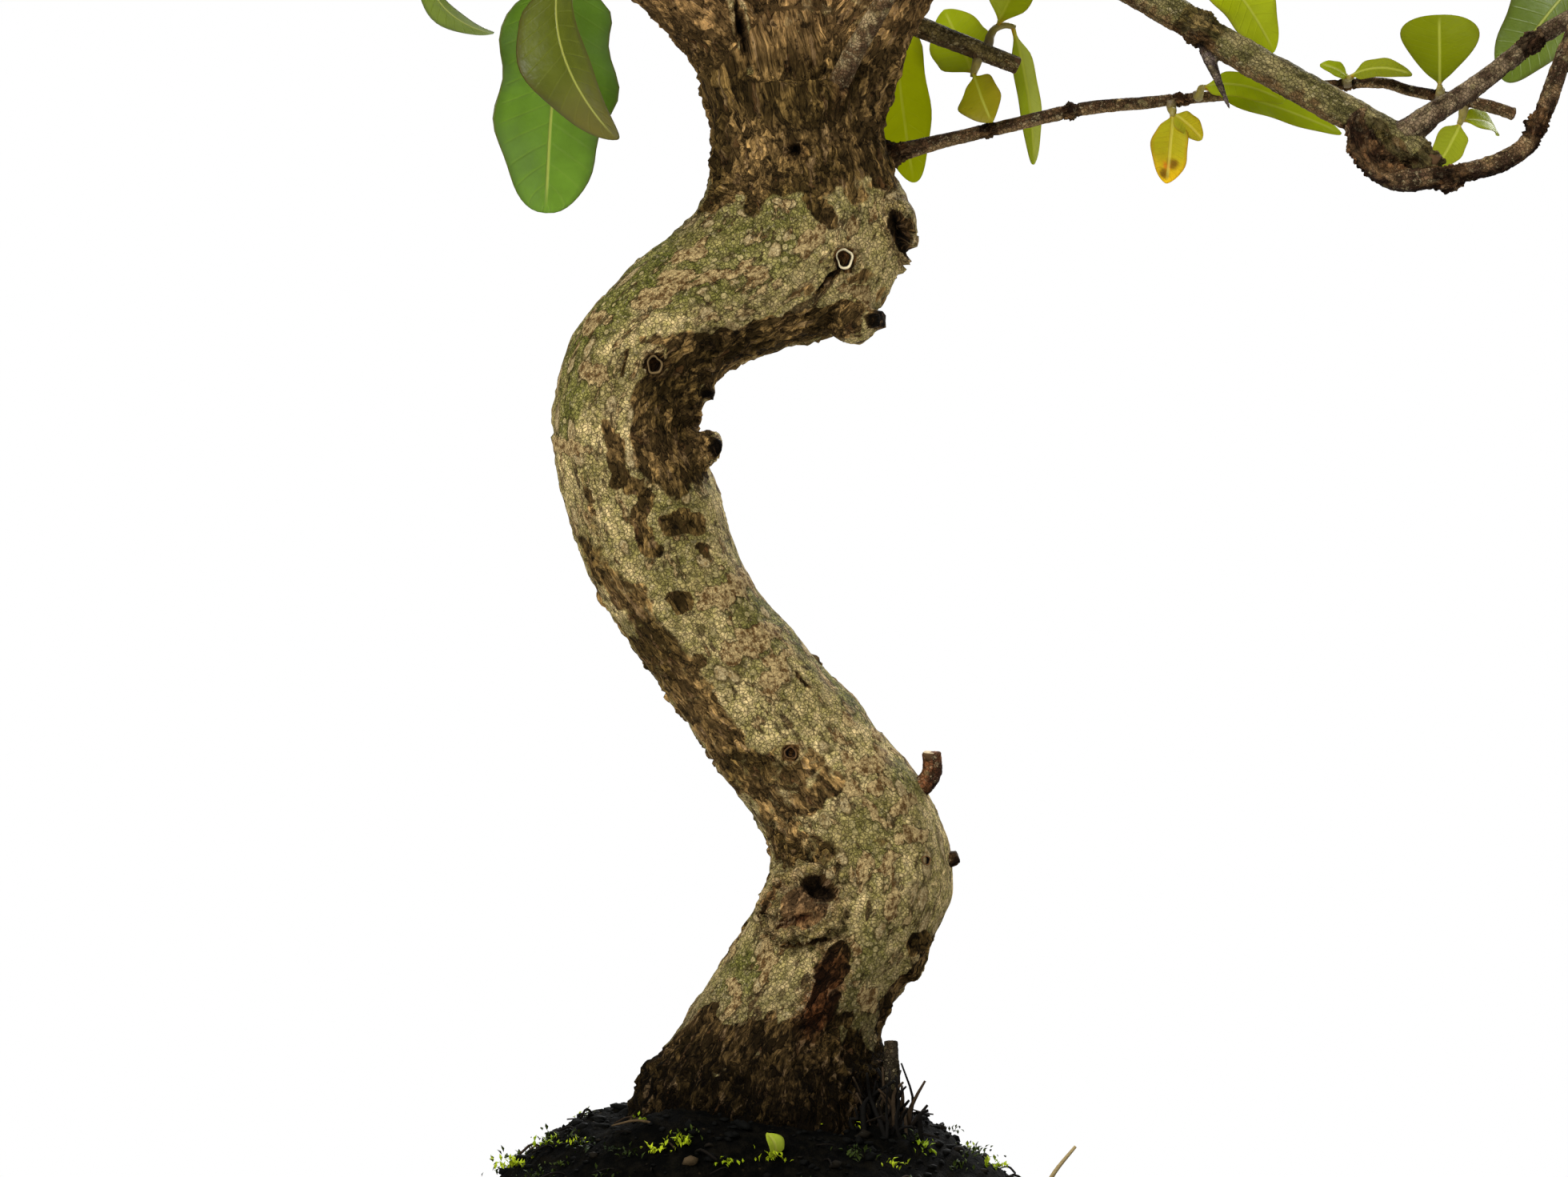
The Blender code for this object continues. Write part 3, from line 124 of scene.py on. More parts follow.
BRANCHES = {
    "branch_right": ((31, -4, 273, 3.4), (46, -7, 265.2, 3), (63.3, -9, 255.3, 2.7), (73.1, -11, 249, 2.6),
        (82.9, -12, 243.2, 2.6), (94, -13, 237, 2.7), (102.5, -14, 231.9, 2.7), (106.6, -14, 229, 2.1)),
    "branchlet_low": ((94.5, -13.5, 236.5, 2.4), (96.2, -15, 230.8, 2.3), (100.3, -16, 227.2, 2),
        (107.2, -17, 227.3, 1.7), (115.8, -17, 229.3, 1.6), (121.1, -16, 232.7, 1.6),
        (123.6, -15, 238, 1.5), (127.1, -13, 247.2, 1.4), (133, -11, 260, 1.2), (142, -9, 274, 1.1),
        (148, -8, 286, 0.9)),
    "branchlet_high": ((101, -14, 233.5, 2.3), (103.6, -13.8, 235.2, 2.1), (107.6, -12.5, 238, 1.8),
        (114, -11, 242.2, 1.6), (121, -9, 247.7, 1.5), (127.8, -7, 252.2, 1.4), (142, -3, 259, 1.2),
        (154, 1, 264, 0.9)),
    "thorn": ((70.8, -11, 250, 1.3), (72.2, -11.5, 245.5, 1), (75.1, -12, 238.1, 0.2)),
    "branch_spur": ((57, -8.5, 259.5, 1.9), (66, -6, 269, 1.3), (76, -3, 277, 0.9)),
}
TWIGS = {
    "twig": ((19, 2, 231, 2.4), (23.6, 3, 232.1, 1.7), (30.1, 4, 233.9, 1.2), (40.2, 5, 236.3, 1.1),
        (52.7, 5, 239.2, 1.1), (62.8, 5, 240.2, 1), (71, 6, 241.1, 0.9), (79.2, 7, 241.8, 0.9),
        (86.8, 7, 242.4, 0.9), (94.3, 7, 243.3, 0.9), (100.3, 6, 243.4, 0.9), (104.2, 5, 242.2, 0.9),
        (109.1, 4, 241.2, 1), (115.4, 4, 240, 1), (120.9, 5, 238.4, 1)),
    "stub_right": ((20, 4, 256, 2.4), (26, 5.5, 252.8, 1.8), (34, 7.8, 249.8, 1.6), (43.1, 10, 246.4, 1.4)),
    "dead_branch": ((13.8, -6, 240.5, 1.9), (17.8, -12, 248.2, 1.6), (22.5, -15, 256, 1.5),
        (29, -19, 270, 1.3), (30, -27, 288, 1.2), (24, -36, 304, 0.9)),
    "stub_trunk": ((24, -1, 130, 1.8), (29, -2, 134.5, 1.6), (29.2, -2.4, 138.5, 1.5)),
    "spur_low": ((26, 0, 119.5, 3), (33.5, -0.5, 122.2, 1)),
    "dead_sprout": ((17, -6, 76, 2), (22.5, -9, 85, 1.5), (22.8, -9, 94, 1.1)),
}
CROWN_LIMBS = {
    "left_front": ((-28, -5, 274, 3.4), (-32, -12, 288, 2.6), (-36, -20, 304, 2), (-34, -26, 320, 1.4),
        (-30, -28, 332, 0.9)),
    "left_tip_front": ((-60, -4, 293, 2.6), (-66, -18, 302, 1.9), (-74, -32, 312, 1.4),
        (-80, -42, 320, 0.9)),
    "left_back": ((-51, -5, 289, 2.8), (-58, 14, 300, 1.9), (-66, 30, 310, 1.4), (-70, 44, 318, 0.9)),
    "back_left": ((1, 9, 281, 3.8), (-12, 24, 296, 2.6), (-26, 38, 308, 2), (-40, 50, 318, 1.4),
        (-50, 60, 324, 0.9)),
    "back_right": ((1, 9, 288, 3.8), (16, 26, 300, 2.6), (34, 40, 310, 2), (50, 50, 318, 1.4),
        (62, 58, 322, 0.9)),
    "upper_left": ((7, 7, 308, 3.2), (-10, 2, 322, 2.3), (-28, 0, 334, 1.8), (-44, -2, 344, 1.2),
        (-54, -2, 350, 0.9)),
    "upper_front": ((11.5, 5, 322, 2.9), (10, -14, 336, 2), (4, -30, 346, 1.5), (-4, -44, 352, 0.9)),
    "upper_right": ((10, 2, 335, 2.7), (24, 14, 350, 1.9), (36, 24, 360, 1.3), (42, 30, 366, 0.9)),
    "top_right": ((7, 0, 348, 2.3), (16, -6, 364, 1.4), (20, -8, 374, 0.9)),
    "top_left": ((5, -1, 353, 2.2), (-10, 6, 365, 1.5), (-20, 12, 372, 0.9)),
    "right_front": ((42, -7, 289, 3.1), (58, -24, 300, 2.2), (74, -38, 310, 1.6), (86, -48, 316, 0.9)),
    "right_back": ((45, -9, 294, 3), (64, 4, 304, 2.2), (84, 14, 312, 1.6), (102, 20, 318, 0.9)),
    "right_upper": ((52, -10, 311, 2.6), (68, -13, 326, 1.7), (80, -15, 338, 0.9)),
}
# Burrs and collars: middle (x, y, z), then the radius along X, Y and Z
BURRS = (
    (-6, -8.5, 185.9, 3, 3, 3), (10, -9.8, 114.6, 7, 4, 6.8), (23.5, -3, 221, 3.5, 6, 4),
    (17, -4, 205.5, 4, 5.5, 3.6), (26.2, -2, 107.8, 2.4, 5.6, 5.6),
)
KNUCKLES = (
    (96.2, -14.2, 232.4, 3.3, 2.9, 3.4), (99.4, -14.6, 230.4, 2.6, 2.7, 2.9),
    (105.4, -14, 229.8, 2.7, 2.4, 2.4), (70.7, -10.9, 250.6, 3.1, 3, 2.9),
    (108.6, -16.6, 227, 2.3, 2.2, 2.1), (121.9, -8.8, 248.5, 1.9, 1.9, 2), (122.3, -15.5, 235, 2, 1.9, 2.2),
)
JOINT_RINGS = (
    (22.6, 2.6, 231.9, 2.5, 2.4, 2.3), (38.2, 4.8, 235.8, 1.2, 1.3, 1.4), (51.3, 5, 238.9, 1.2, 1.3, 1.5),
    (68.4, 5.7, 240.8, 1.2, 1.2, 1.3), (94.6, 6.9, 243.3, 1.2, 1.2, 1.2), (109.1, 4, 241.2, 1.3, 1.3, 1.3),
    (112.6, 4, 240.6, 1.2, 1.2, 1.2),
)


def smoothstep(low: float, high: float, value: np.ndarray) -> np.ndarray:
    """Rises smoothly from 0 at low to 1 at high, or falls if low is the greater."""
    part = np.clip((value - low) / (high - low), 0.0, 1.0)
    return part * part * (3 - 2 * part)


def unit(vectors: np.ndarray) -> np.ndarray:
    """Vectors brought to length 1 along the last axis."""
    return vectors / np.maximum(np.linalg.norm(vectors, axis=-1, keepdims=True), 1e-12)


def smooth_path(rows: Sequence[Row], steps: int) -> np.ndarray:
    """A Catmull-Rom curve through rows of any width.

    Args:
        rows: The rows to pass through.
        steps: How many spans lie between two rows.

    Returns:
        The curve's rows, the first and the last as given.
    """
    given = np.array(rows, float)
    given = np.vstack([2 * given[0] - given[1], given, 2 * given[-1] - given[-2]])
    out = []
    for before, start, end, after in zip(given, given[1:], given[2:], given[3:]):
        for step in range(steps):
            t = step / steps
            bend = (start - end) * 3 + after - before
            slope = before * 2 - start * 5 + end * 4 - after
            out.append((start * 2 + (end - before) * t + slope * t * t + bend * t**3) * 0.5)
    return np.array([*out, given[-2]])


def colour(red: int, green: int, blue: int) -> Row:
    """A colour of the screen, 0 to 255 each, as linear light."""
    parts = (value / 255 for value in (red, green, blue))
    return tuple(part / 12.92 if part <= 0.04045 else ((part + 0.055) / 1.055) ** 2.4 for part in parts)


# Noise is read on turned axes, so that its square lattice never lies along the picture's edges
TILT = (0.62, 0.48, 0.31)
TILTED = np.array(Euler(TILT).to_matrix())


def fractal(points: np.ndarray, size: float | Row, shift: float = 0.0, octaves: int = 3) -> np.ndarray:
    """Soft noise, about -1 to 1, at points in millimetres, with features of the given size."""
    scaled = ((points / np.array(size)) @ TILTED + shift).tolist()
    return np.array([noise.fractal(point, 1.0, 2.0, octaves) for point in scaled])


def cells(points: np.ndarray, size: float | Row, shift: float = 0.0) -> tuple[np.ndarray, ...]:
    """Cell noise at points in millimetres.

    Args:
        points: Where it is read.
        size: How large a cell is, the same all ways or along each axis.
        shift: Moves the pattern.

    Returns:
        How far the nearest cell's middle is, how far the nearest wall is, and the cell's number from 0 to 1.
    """
    scaled = ((points / np.array(size)) @ TILTED + shift).tolist()
    found = [noise.voronoi(point) for point in scaled]
    near, wall = np.array([(gaps[0], gaps[1] - gaps[0]) for gaps, _ in found]).T
    middle = np.array([tuple(middles[0]) for _, middles in found])
    number = np.sin(middle @ np.array((12.9898, 78.233, 37.719))) * 43758.5453
    return near, wall, number - np.floor(number)


def turns(count: int) -> np.ndarray:
    """The angles of a full turn in even steps."""
    return np.arange(count) * 2 * math.pi / count


class Bench:
    """Where meshes are made: it knows the pot's axis and turns millimetres into the row's metres."""

    margin = 2.0
    drawn_in = 0.3

    def __init__(self) -> None:
        """Finds the pot's axis in the row's frame, and where shapes come near the CAD's box."""
        low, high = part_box("pot")
        self.axis = np.array(((low[0] + high[0]) / 2, (low[1] + high[1]) / 2, 0.0))
        self.low = self.millimetres(np.array(CAD_BOX[0])) + self.margin
        self.high = self.millimetres(np.array(CAD_BOX[1])) - self.margin

    def kept(self, points: np.ndarray) -> np.ndarray:
        """Draws in what comes near the CAD's box, so that nothing leaves it."""
        past = np.minimum(points - self.low, 0) + np.maximum(points - self.high, 0)
        return points - self.drawn_in * past

    def metres(self, points: np.ndarray) -> np.ndarray:
        """Points in millimetres round the pot's axis, as metres in the row's frame."""
        return np.asarray(points, float) * MM + self.axis

    def millimetres(self, points: np.ndarray) -> np.ndarray:
        """Points in metres in the row's frame, as millimetres round the pot's axis."""
        return (np.asarray(points, float) - self.axis) / MM

    def make(self, name: str, points: np.ndarray, faces: Iterable[Sequence[int]],
             smooth: bool = True) -> bpy.types.Object:
        """Makes a mesh object from points in millimetres.

        Args:
            name: The object's name.
            points: Its corners.
            faces: Its faces, as corners counted from 0.
            smooth: Whether it is shaded smooth.

        Returns:
            The object, linked to the scene at the origin.
        """
        mesh = bpy.data.meshes.new(name)
        mesh.from_pydata(self.metres(self.kept(points)).tolist(), [], [tuple(face) for face in faces])
        mesh.update()
        if smooth:
            mesh.shade_smooth()
        made = bpy.data.objects.new(name, mesh)
        bpy.context.scene.collection.objects.link(made)
        return made

    def primitive(self, kind: str, name: str, middle: Row, **settings: object) -> bpy.types.Object:
        """Adds a primitive at a place in millimetres, with nothing else selected, and applies its place.

        Args:
            kind: Which primitive.
            name: The object's name.
            middle: Its place.
            settings: Its own settings, lengths in metres.

        Returns:
            The object, selected.
        """
        bpy.ops.object.select_all(action="DESELECT")
        add = getattr(bpy.ops.mesh, f"primitive_{kind}_add")
        add(location=self.metres(np.array(middle)), **settings)
        made = bpy.context.active_object
        made.name = name
        bpy.ops.object.transform_apply(location=True, rotation=True, scale=True)
        return made

    def tree(self, piece: bpy.types.Object) -> BVHTree:
        """A search tree over a piece, in millimetres."""
        faces = [tuple(face.vertices) for face in piece.data.polygons]
        return BVHTree.FromPolygons(self.corners(piece).tolist(), faces)

    def corners(self, piece: bpy.types.Object) -> np.ndarray:
        """The corners of a piece, in millimetres.

        Args:
            piece: The piece.

        Returns:
            Their places, a row for each.
        """
        flat = np.empty(len(piece.data.vertices) * 3)
        piece.data.vertices.foreach_get("co", flat)
        return self.millimetres(flat.reshape(-1, 3))

    def move_corners(self, piece: bpy.types.Object, points: np.ndarray) -> None:
        """Moves the corners of a piece to new places in millimetres."""
        piece.data.vertices.foreach_set("co", self.metres(points).ravel())
        piece.data.update()

    @staticmethod
    def normals(piece: bpy.types.Object) -> np.ndarray:
        """The way the surface faces at each corner of a piece.

        Args:
            piece: The piece.

        Returns:
            Vectors of length 1, a row for each corner.
        """
        flat = np.empty(len(piece.data.vertices) * 3)
        piece.data.vertex_normals.foreach_get("vector", flat)
        return flat.reshape(-1, 3)

    @staticmethod
    def finish(piece: bpy.types.Object, kind: str, **settings: object) -> None:
        """Adds a modifier to a piece with its settings, and applies it.

        Args:
            piece: The piece.
            kind: The modifier's type.
            settings: Its settings.
        """
        modifier = piece.modifiers.new(kind.lower(), kind)
        for key, value in settings.items():
            setattr(modifier, key, value)
        with bpy.context.temp_override(object=piece, active_object=piece):
            bpy.ops.object.modifier_apply(modifier=modifier.name)

    @staticmethod
    def paint(piece: bpy.types.Object, name: str, colours: np.ndarray) -> None:
        """Keeps a colour and a fourth number for each corner of a piece, for its finish to read."""
        layer = piece.data.color_attributes.new(name, "FLOAT_COLOR", "POINT")
        layer.data.foreach_set("color", np.asarray(colours, float).ravel())


def skin_faces(rings: int, sides: int) -> list[tuple[int, ...]]:
    """Faces over a run of rings of equal size, closed by a face at each end.

    Args:
        rings: How many rings there are.
        sides: How many corners each has.

    Returns:
        The faces, as corners counted ring by ring.
    """
    faces = []
    for ring in range(rings - 1):
        low, high = ring * sides, (ring + 1) * sides
        for k in range(sides):
            after = (k + 1) % sides
            faces.append((low + k, low + after, high + after, high + k))
    faces.append(tuple(reversed(range(sides))))
    faces.append(tuple((rings - 1) * sides + k for k in range(sides)))
    return faces


def ball(subdivisions: int) -> tuple[np.ndarray, list[tuple[int, ...]]]:
    """The corners and faces of a ball of radius 1.

    Args:
        subdivisions: How finely it is cut, from 1 up.

    Returns:
        The corners, and the faces as corners counted from 0.
    """
    shape = bmesh.new()
    bmesh.ops.create_icosphere(shape, subdivisions=subdivisions, radius=1)
    corners = np.array([tuple(vertex.co) for vertex in shape.verts])
    faces = [tuple(vertex.index for vertex in face.verts) for face in shape.faces]
    shape.free()
    return corners, faces


class Bundle:
    """Closed skins gathered into one mesh, with a tint for each corner where they have one."""

    def __init__(self) -> None:
        """Starts empty."""
        self.points: list[np.ndarray] = []
        self.faces: list[tuple[int, ...]] = []
        self.tints: list[np.ndarray] = []
        self.count = 0

    def add(self, points: np.ndarray, faces: Iterable[Sequence[int]], tint: Tint = None) -> None:
        """Adds a skin.

        Args:
            points: Its corners.
            faces: Its faces, as its own corners counted from 0.
            tint: One colour for all of it, or four numbers for each corner.
        """
        self.points.append(points)
        self.faces += [tuple(self.count + k for k in face) for face in faces]
        self.count += len(points)
        if tint is not None:
            self.tints.append(np.tile((*tint, 1.0), (len(points), 1)) if np.ndim(tint) == 1 else tint)

    def add_rings(self, rings: np.ndarray, tint: Tint = None) -> None:
        """Adds the skin over a run of rings."""
        self.add(rings.reshape(-1, 3), skin_faces(*rings.shape[:2]), tint)

    def make(self, bench: Bench, name: str, smooth: bool = True) -> bpy.types.Object:
        """Makes one piece of all that was added.

        Args:
            bench: Where meshes are made.
            name: The piece's name.
            smooth: Whether it is shaded smooth.

        Returns:
            The piece.
        """
        piece = bench.make(name, np.vstack(self.points), self.faces, smooth)
        if self.tints:
            bench.paint(piece, "tint", np.vstack(self.tints))
        return piece


class CentreLine:
    """The middle of a limb: its places, the way it runs at each and how far along that is."""

    radii: np.ndarray
    sides: np.ndarray
    others: np.ndarray

    def lay(self, centres: np.ndarray) -> None:
        """Keeps the places, with the way and the distance at each.

        Args:
            centres: The places, from the thick end outward.
        """
        self.centres = centres
        ends = np.vstack([centres[:1], centres, centres[-1:]])
        self.ways = unit(ends[2:] - ends[:-2])
        steps = np.linalg.norm(np.diff(centres, axis=0), axis=1)
        self.along = np.concatenate([[0.0], np.cumsum(steps)])


class Strand(CentreLine):
    """A tapering arm, root, twig or stem along a smooth curve, its frame turning as little as it can."""

    thinnest = 0.15

    def __init__(self, rows: Sequence[Row], steps: int = 4) -> None:
        """Lays the curve through rows of (x, y, z, radius).

        Args:
            rows: The rows.
            steps: How many spans lie between two rows.
        """
        path = smooth_path(rows, steps)
        self.lay(path[:, :3])
        self.radii = np.maximum(path[:, 3], self.thinnest)
        last = Vector(self.ways[0])
        side = last.orthogonal().normalized()
        sides = []
        for way in self.ways:
            side = last.rotation_difference(Vector(way)) @ side
            sides.append(np.array(side))
            last = Vector(way)
        self.sides = unit(np.array(sides))
        self.others = np.cross(self.ways, self.sides)

    def rings(self, count: int) -> np.ndarray:
        """Round rings of the given number of points along the strand.

        Args:
            count: How many points a ring has.

        Returns:
            The rings, in millimetres.
        """
        right, up = np.cos(turns(count))[:, None], np.sin(turns(count))[:, None]
        across = self.sides[:, None] * right + self.others[:, None] * up
        return self.centres[:, None] + across * self.radii[:, None, None]


class TrunkLoft(CentreLine):
    """The S-bent trunk: slices between its left and right edges, fluted at the front and back."""

    def __init__(self, steps: int = 3) -> None:
        """Lays the slices through the sections.

        Args:
            steps: How many spans lie between two sections.
        """
        rows = smooth_path(TRUNK, steps)
        self.left = np.stack([rows[:, 0], rows[:, 4], rows[:, 1]], axis=1)
        self.right = np.stack([rows[:, 2], rows[:, 4], rows[:, 3]], axis=1)
        self.half = rows[:, 5]
        self.lay((self.left + self.right) / 2)
        self.radii = (np.linalg.norm(self.right - self.left, axis=1) / 2 + self.half) / 2
        self.sides = np.tile(FRONT, (len(rows), 1))
        self.others = unit(np.cross(self.ways, self.sides))

    def rings(self, count: int) -> np.ndarray:
        """Slices of the given number of points up the trunk.

        Args:
            count: How many points a slice has.

        Returns:
            The slices, in millimetres.
        """
        angles = turns(count)
        height = self.left[:, 2][:, None]
        flute = sum(depth * np.sin(many * angles[None] + twist * height) for depth, many, twist in FLUTES)
        swell = 1 + flute * np.sin(angles)[None] ** 2
        across = (self.right - self.left)[:, None] / 2 * np.cos(angles)[None, :, None]
        forward = FRONT * self.half[:, None, None] * np.sin(angles)[None, :, None]
        return self.centres[:, None] + (across + forward) * swell[:, :, None]


class Course:
    """The centre lines of a piece of wood, to lay grain and cracks along the way it grew."""

    reach = 4.0
    apart = 700.0
    batch = 4000

    def __init__(self, lines: Sequence[CentreLine]) -> None:
        """Gathers the lines, each far along from the one before, so that no two share their grain.

        Args:
            lines: The centre lines.
        """
        self.centres, self.sides, self.others = (
            np.vstack([getattr(line, key) for line in lines]) for key in ("centres", "sides", "others")
        )
        self.radii = np.concatenate([line.radii for line in lines])
        self.along = np.concatenate([line.along + self.apart * k for k, line in enumerate(lines)])
        self.owner = np.concatenate([np.full(len(line.along), k) for k, line in enumerate(lines)])

    def read(self, points: np.ndarray) -> tuple[np.ndarray, np.ndarray]:
        """Straightens the wood.

        Args:
            points: Places on the bark.

        Returns:
            The same places as if their limb were a straight post, and the limb that each is on.
        """
        straight = np.empty_like(points)
        owner = np.empty(len(points), int)
        for start in range(0, len(points), self.batch):
            part = slice(start, start + self.batch)
            gap = points[part, None] - self.centres[None]
            squares = (gap**2).sum(axis=2)
            nearest = np.argmin(np.sqrt(squares) - self.radii[None], axis=1)
            owner[part] = self.owner[nearest]
            squares[self.owner[None] != owner[part][:, None]] = np.inf
            weight = np.exp((squares.min(axis=1, keepdims=True) - squares) / self.reach**2)
            weight /= weight.sum(axis=1, keepdims=True)
            across = (weight * (gap * self.sides[None]).sum(axis=2)).sum(axis=1)
            other = (weight * (gap * self.others[None]).sum(axis=2)).sum(axis=1)
            straight[part] = np.stack([across, other, weight @ self.along], axis=1)
        return straight, owner


@dataclass(frozen=True)
class Patch:
    """A patch of one kind of bark on the front: middle, half sizes and turn, in picture points."""

    x: float
    y: float
    along: float
    across: float
    turn: float = 0.0
    strength: float = 1.0

    def read(self, seen: np.ndarray) -> np.ndarray:
        """How far from the patch's middle each place is seen, 1 being its edge.

        Args:
            seen: The places, in picture points.

        Returns:
            The distances.
        """
        angle = math.radians(self.turn)
        right, down = seen[:, 0] - self.x, seen[:, 1] - self.y
        along = right * math.cos(angle) - down * math.sin(angle)
        across = right * math.sin(angle) + down * math.cos(angle)
        return np.sqrt((along / self.along) ** 2 + (across / self.across) ** 2)


OLIVE_PATCHES = [Patch(*row) for row in (
    (770, 365, 135, 34, 48, 1), (712, 500, 60, 16, 84, 0.9), (915, 335, 95, 42, 20, 0.8),
    (945, 268, 85, 26, 14, 0.7), (1068, 258, 24, 34, 80, 0.5), (845, 610, 34, 40, 90, 0.45),
    (820, 690, 50, 30, -60, 0.35), (960, 760, 45, 22, -55, 0.6), (1010, 800, 150, 24, -52, 0.95),
    (930, 770, 70, 26, -55, 0.6), (1135, 975, 30, 16, -50, 0.8), (930, 1215, 55, 22, 55, 0.9),
    (1080, 1205, 55, 24, 62, 0.55), (1090, 1050, 50, 30, 60, 0.4),
)]
# Here the strength says how dark the flakes are
ROUGH_PATCHES = [Patch(*row) for row in (
    (850, 520, 110, 62, 80, 0.75), (985, 418, 125, 26, 14, 0.7), (905, 455, 60, 42, 40, 0.8),
    (765, 570, 45, 14, -70, 0.55), (803, 650, 58, 12, -75, 0.55), (735, 625, 45, 8, -85, 0.45),
    (858, 650, 30, 22, 0, 0.55), (880, 692, 18, 14, -30, 0.45), (853, 752, 22, 13, 0, 0.7),
    (772, 735, 95, 27, -58, 0.35), (866, 885, 160, 38, -57, 0.35), (962, 1005, 90, 36, -60, 0.45),
    (990, 955, 44, 34, 0, 0.4), (1025, 990, 60, 20, 30, 0.4), (1000, 1060, 60, 36, 0, 0.4),
    (1022, 265, 34, 17, -60, 0.55), (930, 235, 70, 12, 28, 0.5), (1163, 1190, 20, 34, 60, 0.95),
    (1125, 1250, 62, 17, 58, 0.8), (1032, 1228, 58, 17, 70, 0.9), (1010, 1285, 60, 22, 20, 0.8),
    (925, 1300, 58, 20, 40, 0.75), (1100, 1050, 16, 12, 0, 0.3), (870, 830, 18, 11, 30, 0.35),
    (1120, 290, 30, 20, 90, 0.75), (1065, 345, 26, 18, 0, 0.45), (822, 425, 20, 10, 20, 0.4),
)]
RAISED_PATCHES = [Patch(*row) for row in (
    (830, 362, 38, 14, 35), (745, 410, 22, 12, 50), (737, 470, 12, 25, 75), (920, 345, 50, 8, 8),
    (905, 745, 14, 40, -60), (940, 800, 16, 40, -60), (975, 840, 16, 18), (705, 560, 10, 26, 80),
    (722, 330, 16, 9, 50), (860, 318, 26, 8, 20), (1012, 300, 22, 12, 30), (1075, 372, 30, 9, -30),
    (1060, 900, 10, 13), (1085, 925, 12, 9), (1108, 905, 9, 12), (1090, 955, 13, 10), (1066, 948, 9, 11),
    (1118, 940, 10, 8), (1104, 980, 12, 9), (1128, 1005, 9, 12), (1070, 985, 12, 9), (1090, 1010, 9, 8),
    (1140, 1045, 9, 20, 80), (1110, 1075, 20, 9, 40), (1075, 1090, 14, 10, 60), (1120, 1130, 16, 9, 70),
    (900, 1180, 14, 22, 20), (915, 1250, 12, 20, 10), (960, 1200, 12, 26, 0), (1085, 1250, 10, 22, 0),
)]


class Bed(Enum):
    """What the inside of a wound shows."""

    # BLACK stands for the shade inside the pressed hollows and cracks: painted shade; on the raised knobs it
    # is just near black
    BLACK = colour(16, 12, 9)
    BROWN = colour(70, 48, 30)
    RED_BROWN = colour(56, 30, 18)
    DEAD_WOOD = colour(150, 128, 100)


@dataclass(frozen=True)
class Wound:
    """A scar, hollow, knob or crack on the front: where it shows, how its rim stands and how deep it goes."""

    shape: Patch
    rim: float
    depth: float
    bed: Bed
    rim_width: float = 0.30
    rim_pale: float = 0.6
    lips: float = 0.0


WOUNDS = (
    Wound(Patch(1055, 323, 16, 18), 0.6, 0.3, Bed.BROWN),
    Wound(Patch(1037, 349, 27, 4, 52), 0.15, 1.0, Bed.BLACK, 0.5, 0.1),
    Wound(Patch(818, 455, 14, 15), 0.6, 0.3, Bed.BROWN),
    Wound(Patch(988, 940, 13, 11, 20), 0.5, 0.2, Bed.BROWN),
    Wound(Patch(1008, 1130, 36, 31, 30), 1.0, 0.9, Bed.DEAD_WOOD, 0.30, 0.5, 11.0),
    Wound(Patch(1024, 1110, 27, 15, -20), 0.1, 2.2, Bed.BLACK, 0.3, 0.0),
    Wound(Patch(994, 1150, 24, 6, 15), 0.5, 0.9, Bed.RED_BROWN, 0.5, 0.6),
    Wound(Patch(1005, 1178, 36, 4, 6), 0.4, 0.8, Bed.BLACK, 0.5, 0.5),
    Wound(Patch(966, 1128, 30, 4, 62), 0.4, 0.8, Bed.BLACK, 0.5, 0.5),
    Wound(Patch(1124, 292, 36, 10, -72), 0.5, 1.7, Bed.BLACK, 0.6, 0.6, 8.0),
    Wound(Patch(1095, 400, 15, 13), 0.0, -1.3, Bed.BLACK, 0.3, 0.0),
    Wound(Patch(893, 560, 15, 10, 70), 0.0, -1.1, Bed.BLACK, 0.3, 0.0),
    Wound(Patch(915, 465, 13, 8, 30), 0.0, -0.9, Bed.BLACK, 0.3, 0.0),
    Wound(Patch(885, 490, 10, 7, 60), 0.0, -0.8, Bed.BLACK, 0.3, 0.0),
    Wound(Patch(995, 188, 11, 9), 0.5, 1.4, Bed.BLACK),
    Wound(Patch(928, 38, 46, 7, -80), 0.3, 1.8, Bed.BLACK, 0.5, 0.2),
    Wound(Patch(880, 150, 24, 9, -65), 0.9, 0.9, Bed.BLACK, 0.6, 0.7),
    Wound(Patch(1056, 95, 30, 6, 78), 0.5, 0.9, Bed.DEAD_WOOD, 0.5, 0.7),
    Wound(Patch(1003, 850, 18, 3, -50), 0.15, 0.5, Bed.BLACK, 0.5, 0.1),
    Wound(Patch(780, 455, 26, 3, 75), 0.1, 0.5, Bed.BLACK, 0.5, 0.1),
)


@dataclass(frozen=True)
class Tone:
    """A limb's bark in screen colours, mottled light and dark, its underside mostly darker as painted shade,
    and how rough it is.
    """

    light: Row
    dark: Row
    under: Row
    rough: float


TONES = {
    "branch_right": Tone((142, 128, 86), (106, 98, 58), (108, 84, 54), 0.12),
    "branchlet_low": Tone((130, 102, 72), (66, 48, 35), (60, 42, 30), 0.35),
    "branchlet_high": Tone((130, 110, 86), (78, 60, 46), (70, 54, 42), 0.25),
    "thorn": Tone((104, 90, 82), (60, 50, 48), (60, 48, 44), 0.1),
    "branch_spur": Tone((130, 114, 80), (84, 70, 46), (80, 62, 42), 0.2),
    "twig": Tone((92, 68, 46), (58, 41, 28), (132, 106, 74), 0.05),
    "stub_right": Tone((118, 102, 62), (80, 68, 42), (78, 60, 38), 0.15),
    "dead_branch": Tone((156, 134, 100), (96, 74, 50), (82, 62, 44), 0.1),
    "stub_trunk": Tone((122, 78, 50), (64, 38, 26), (60, 38, 26), 0.35),
    "spur_low": Tone((110, 84, 56), (52, 36, 26), (48, 34, 26), 0.6),
    "dead_sprout": Tone((52, 44, 34), (24, 19, 14), (24, 19, 14), 0.5),
}
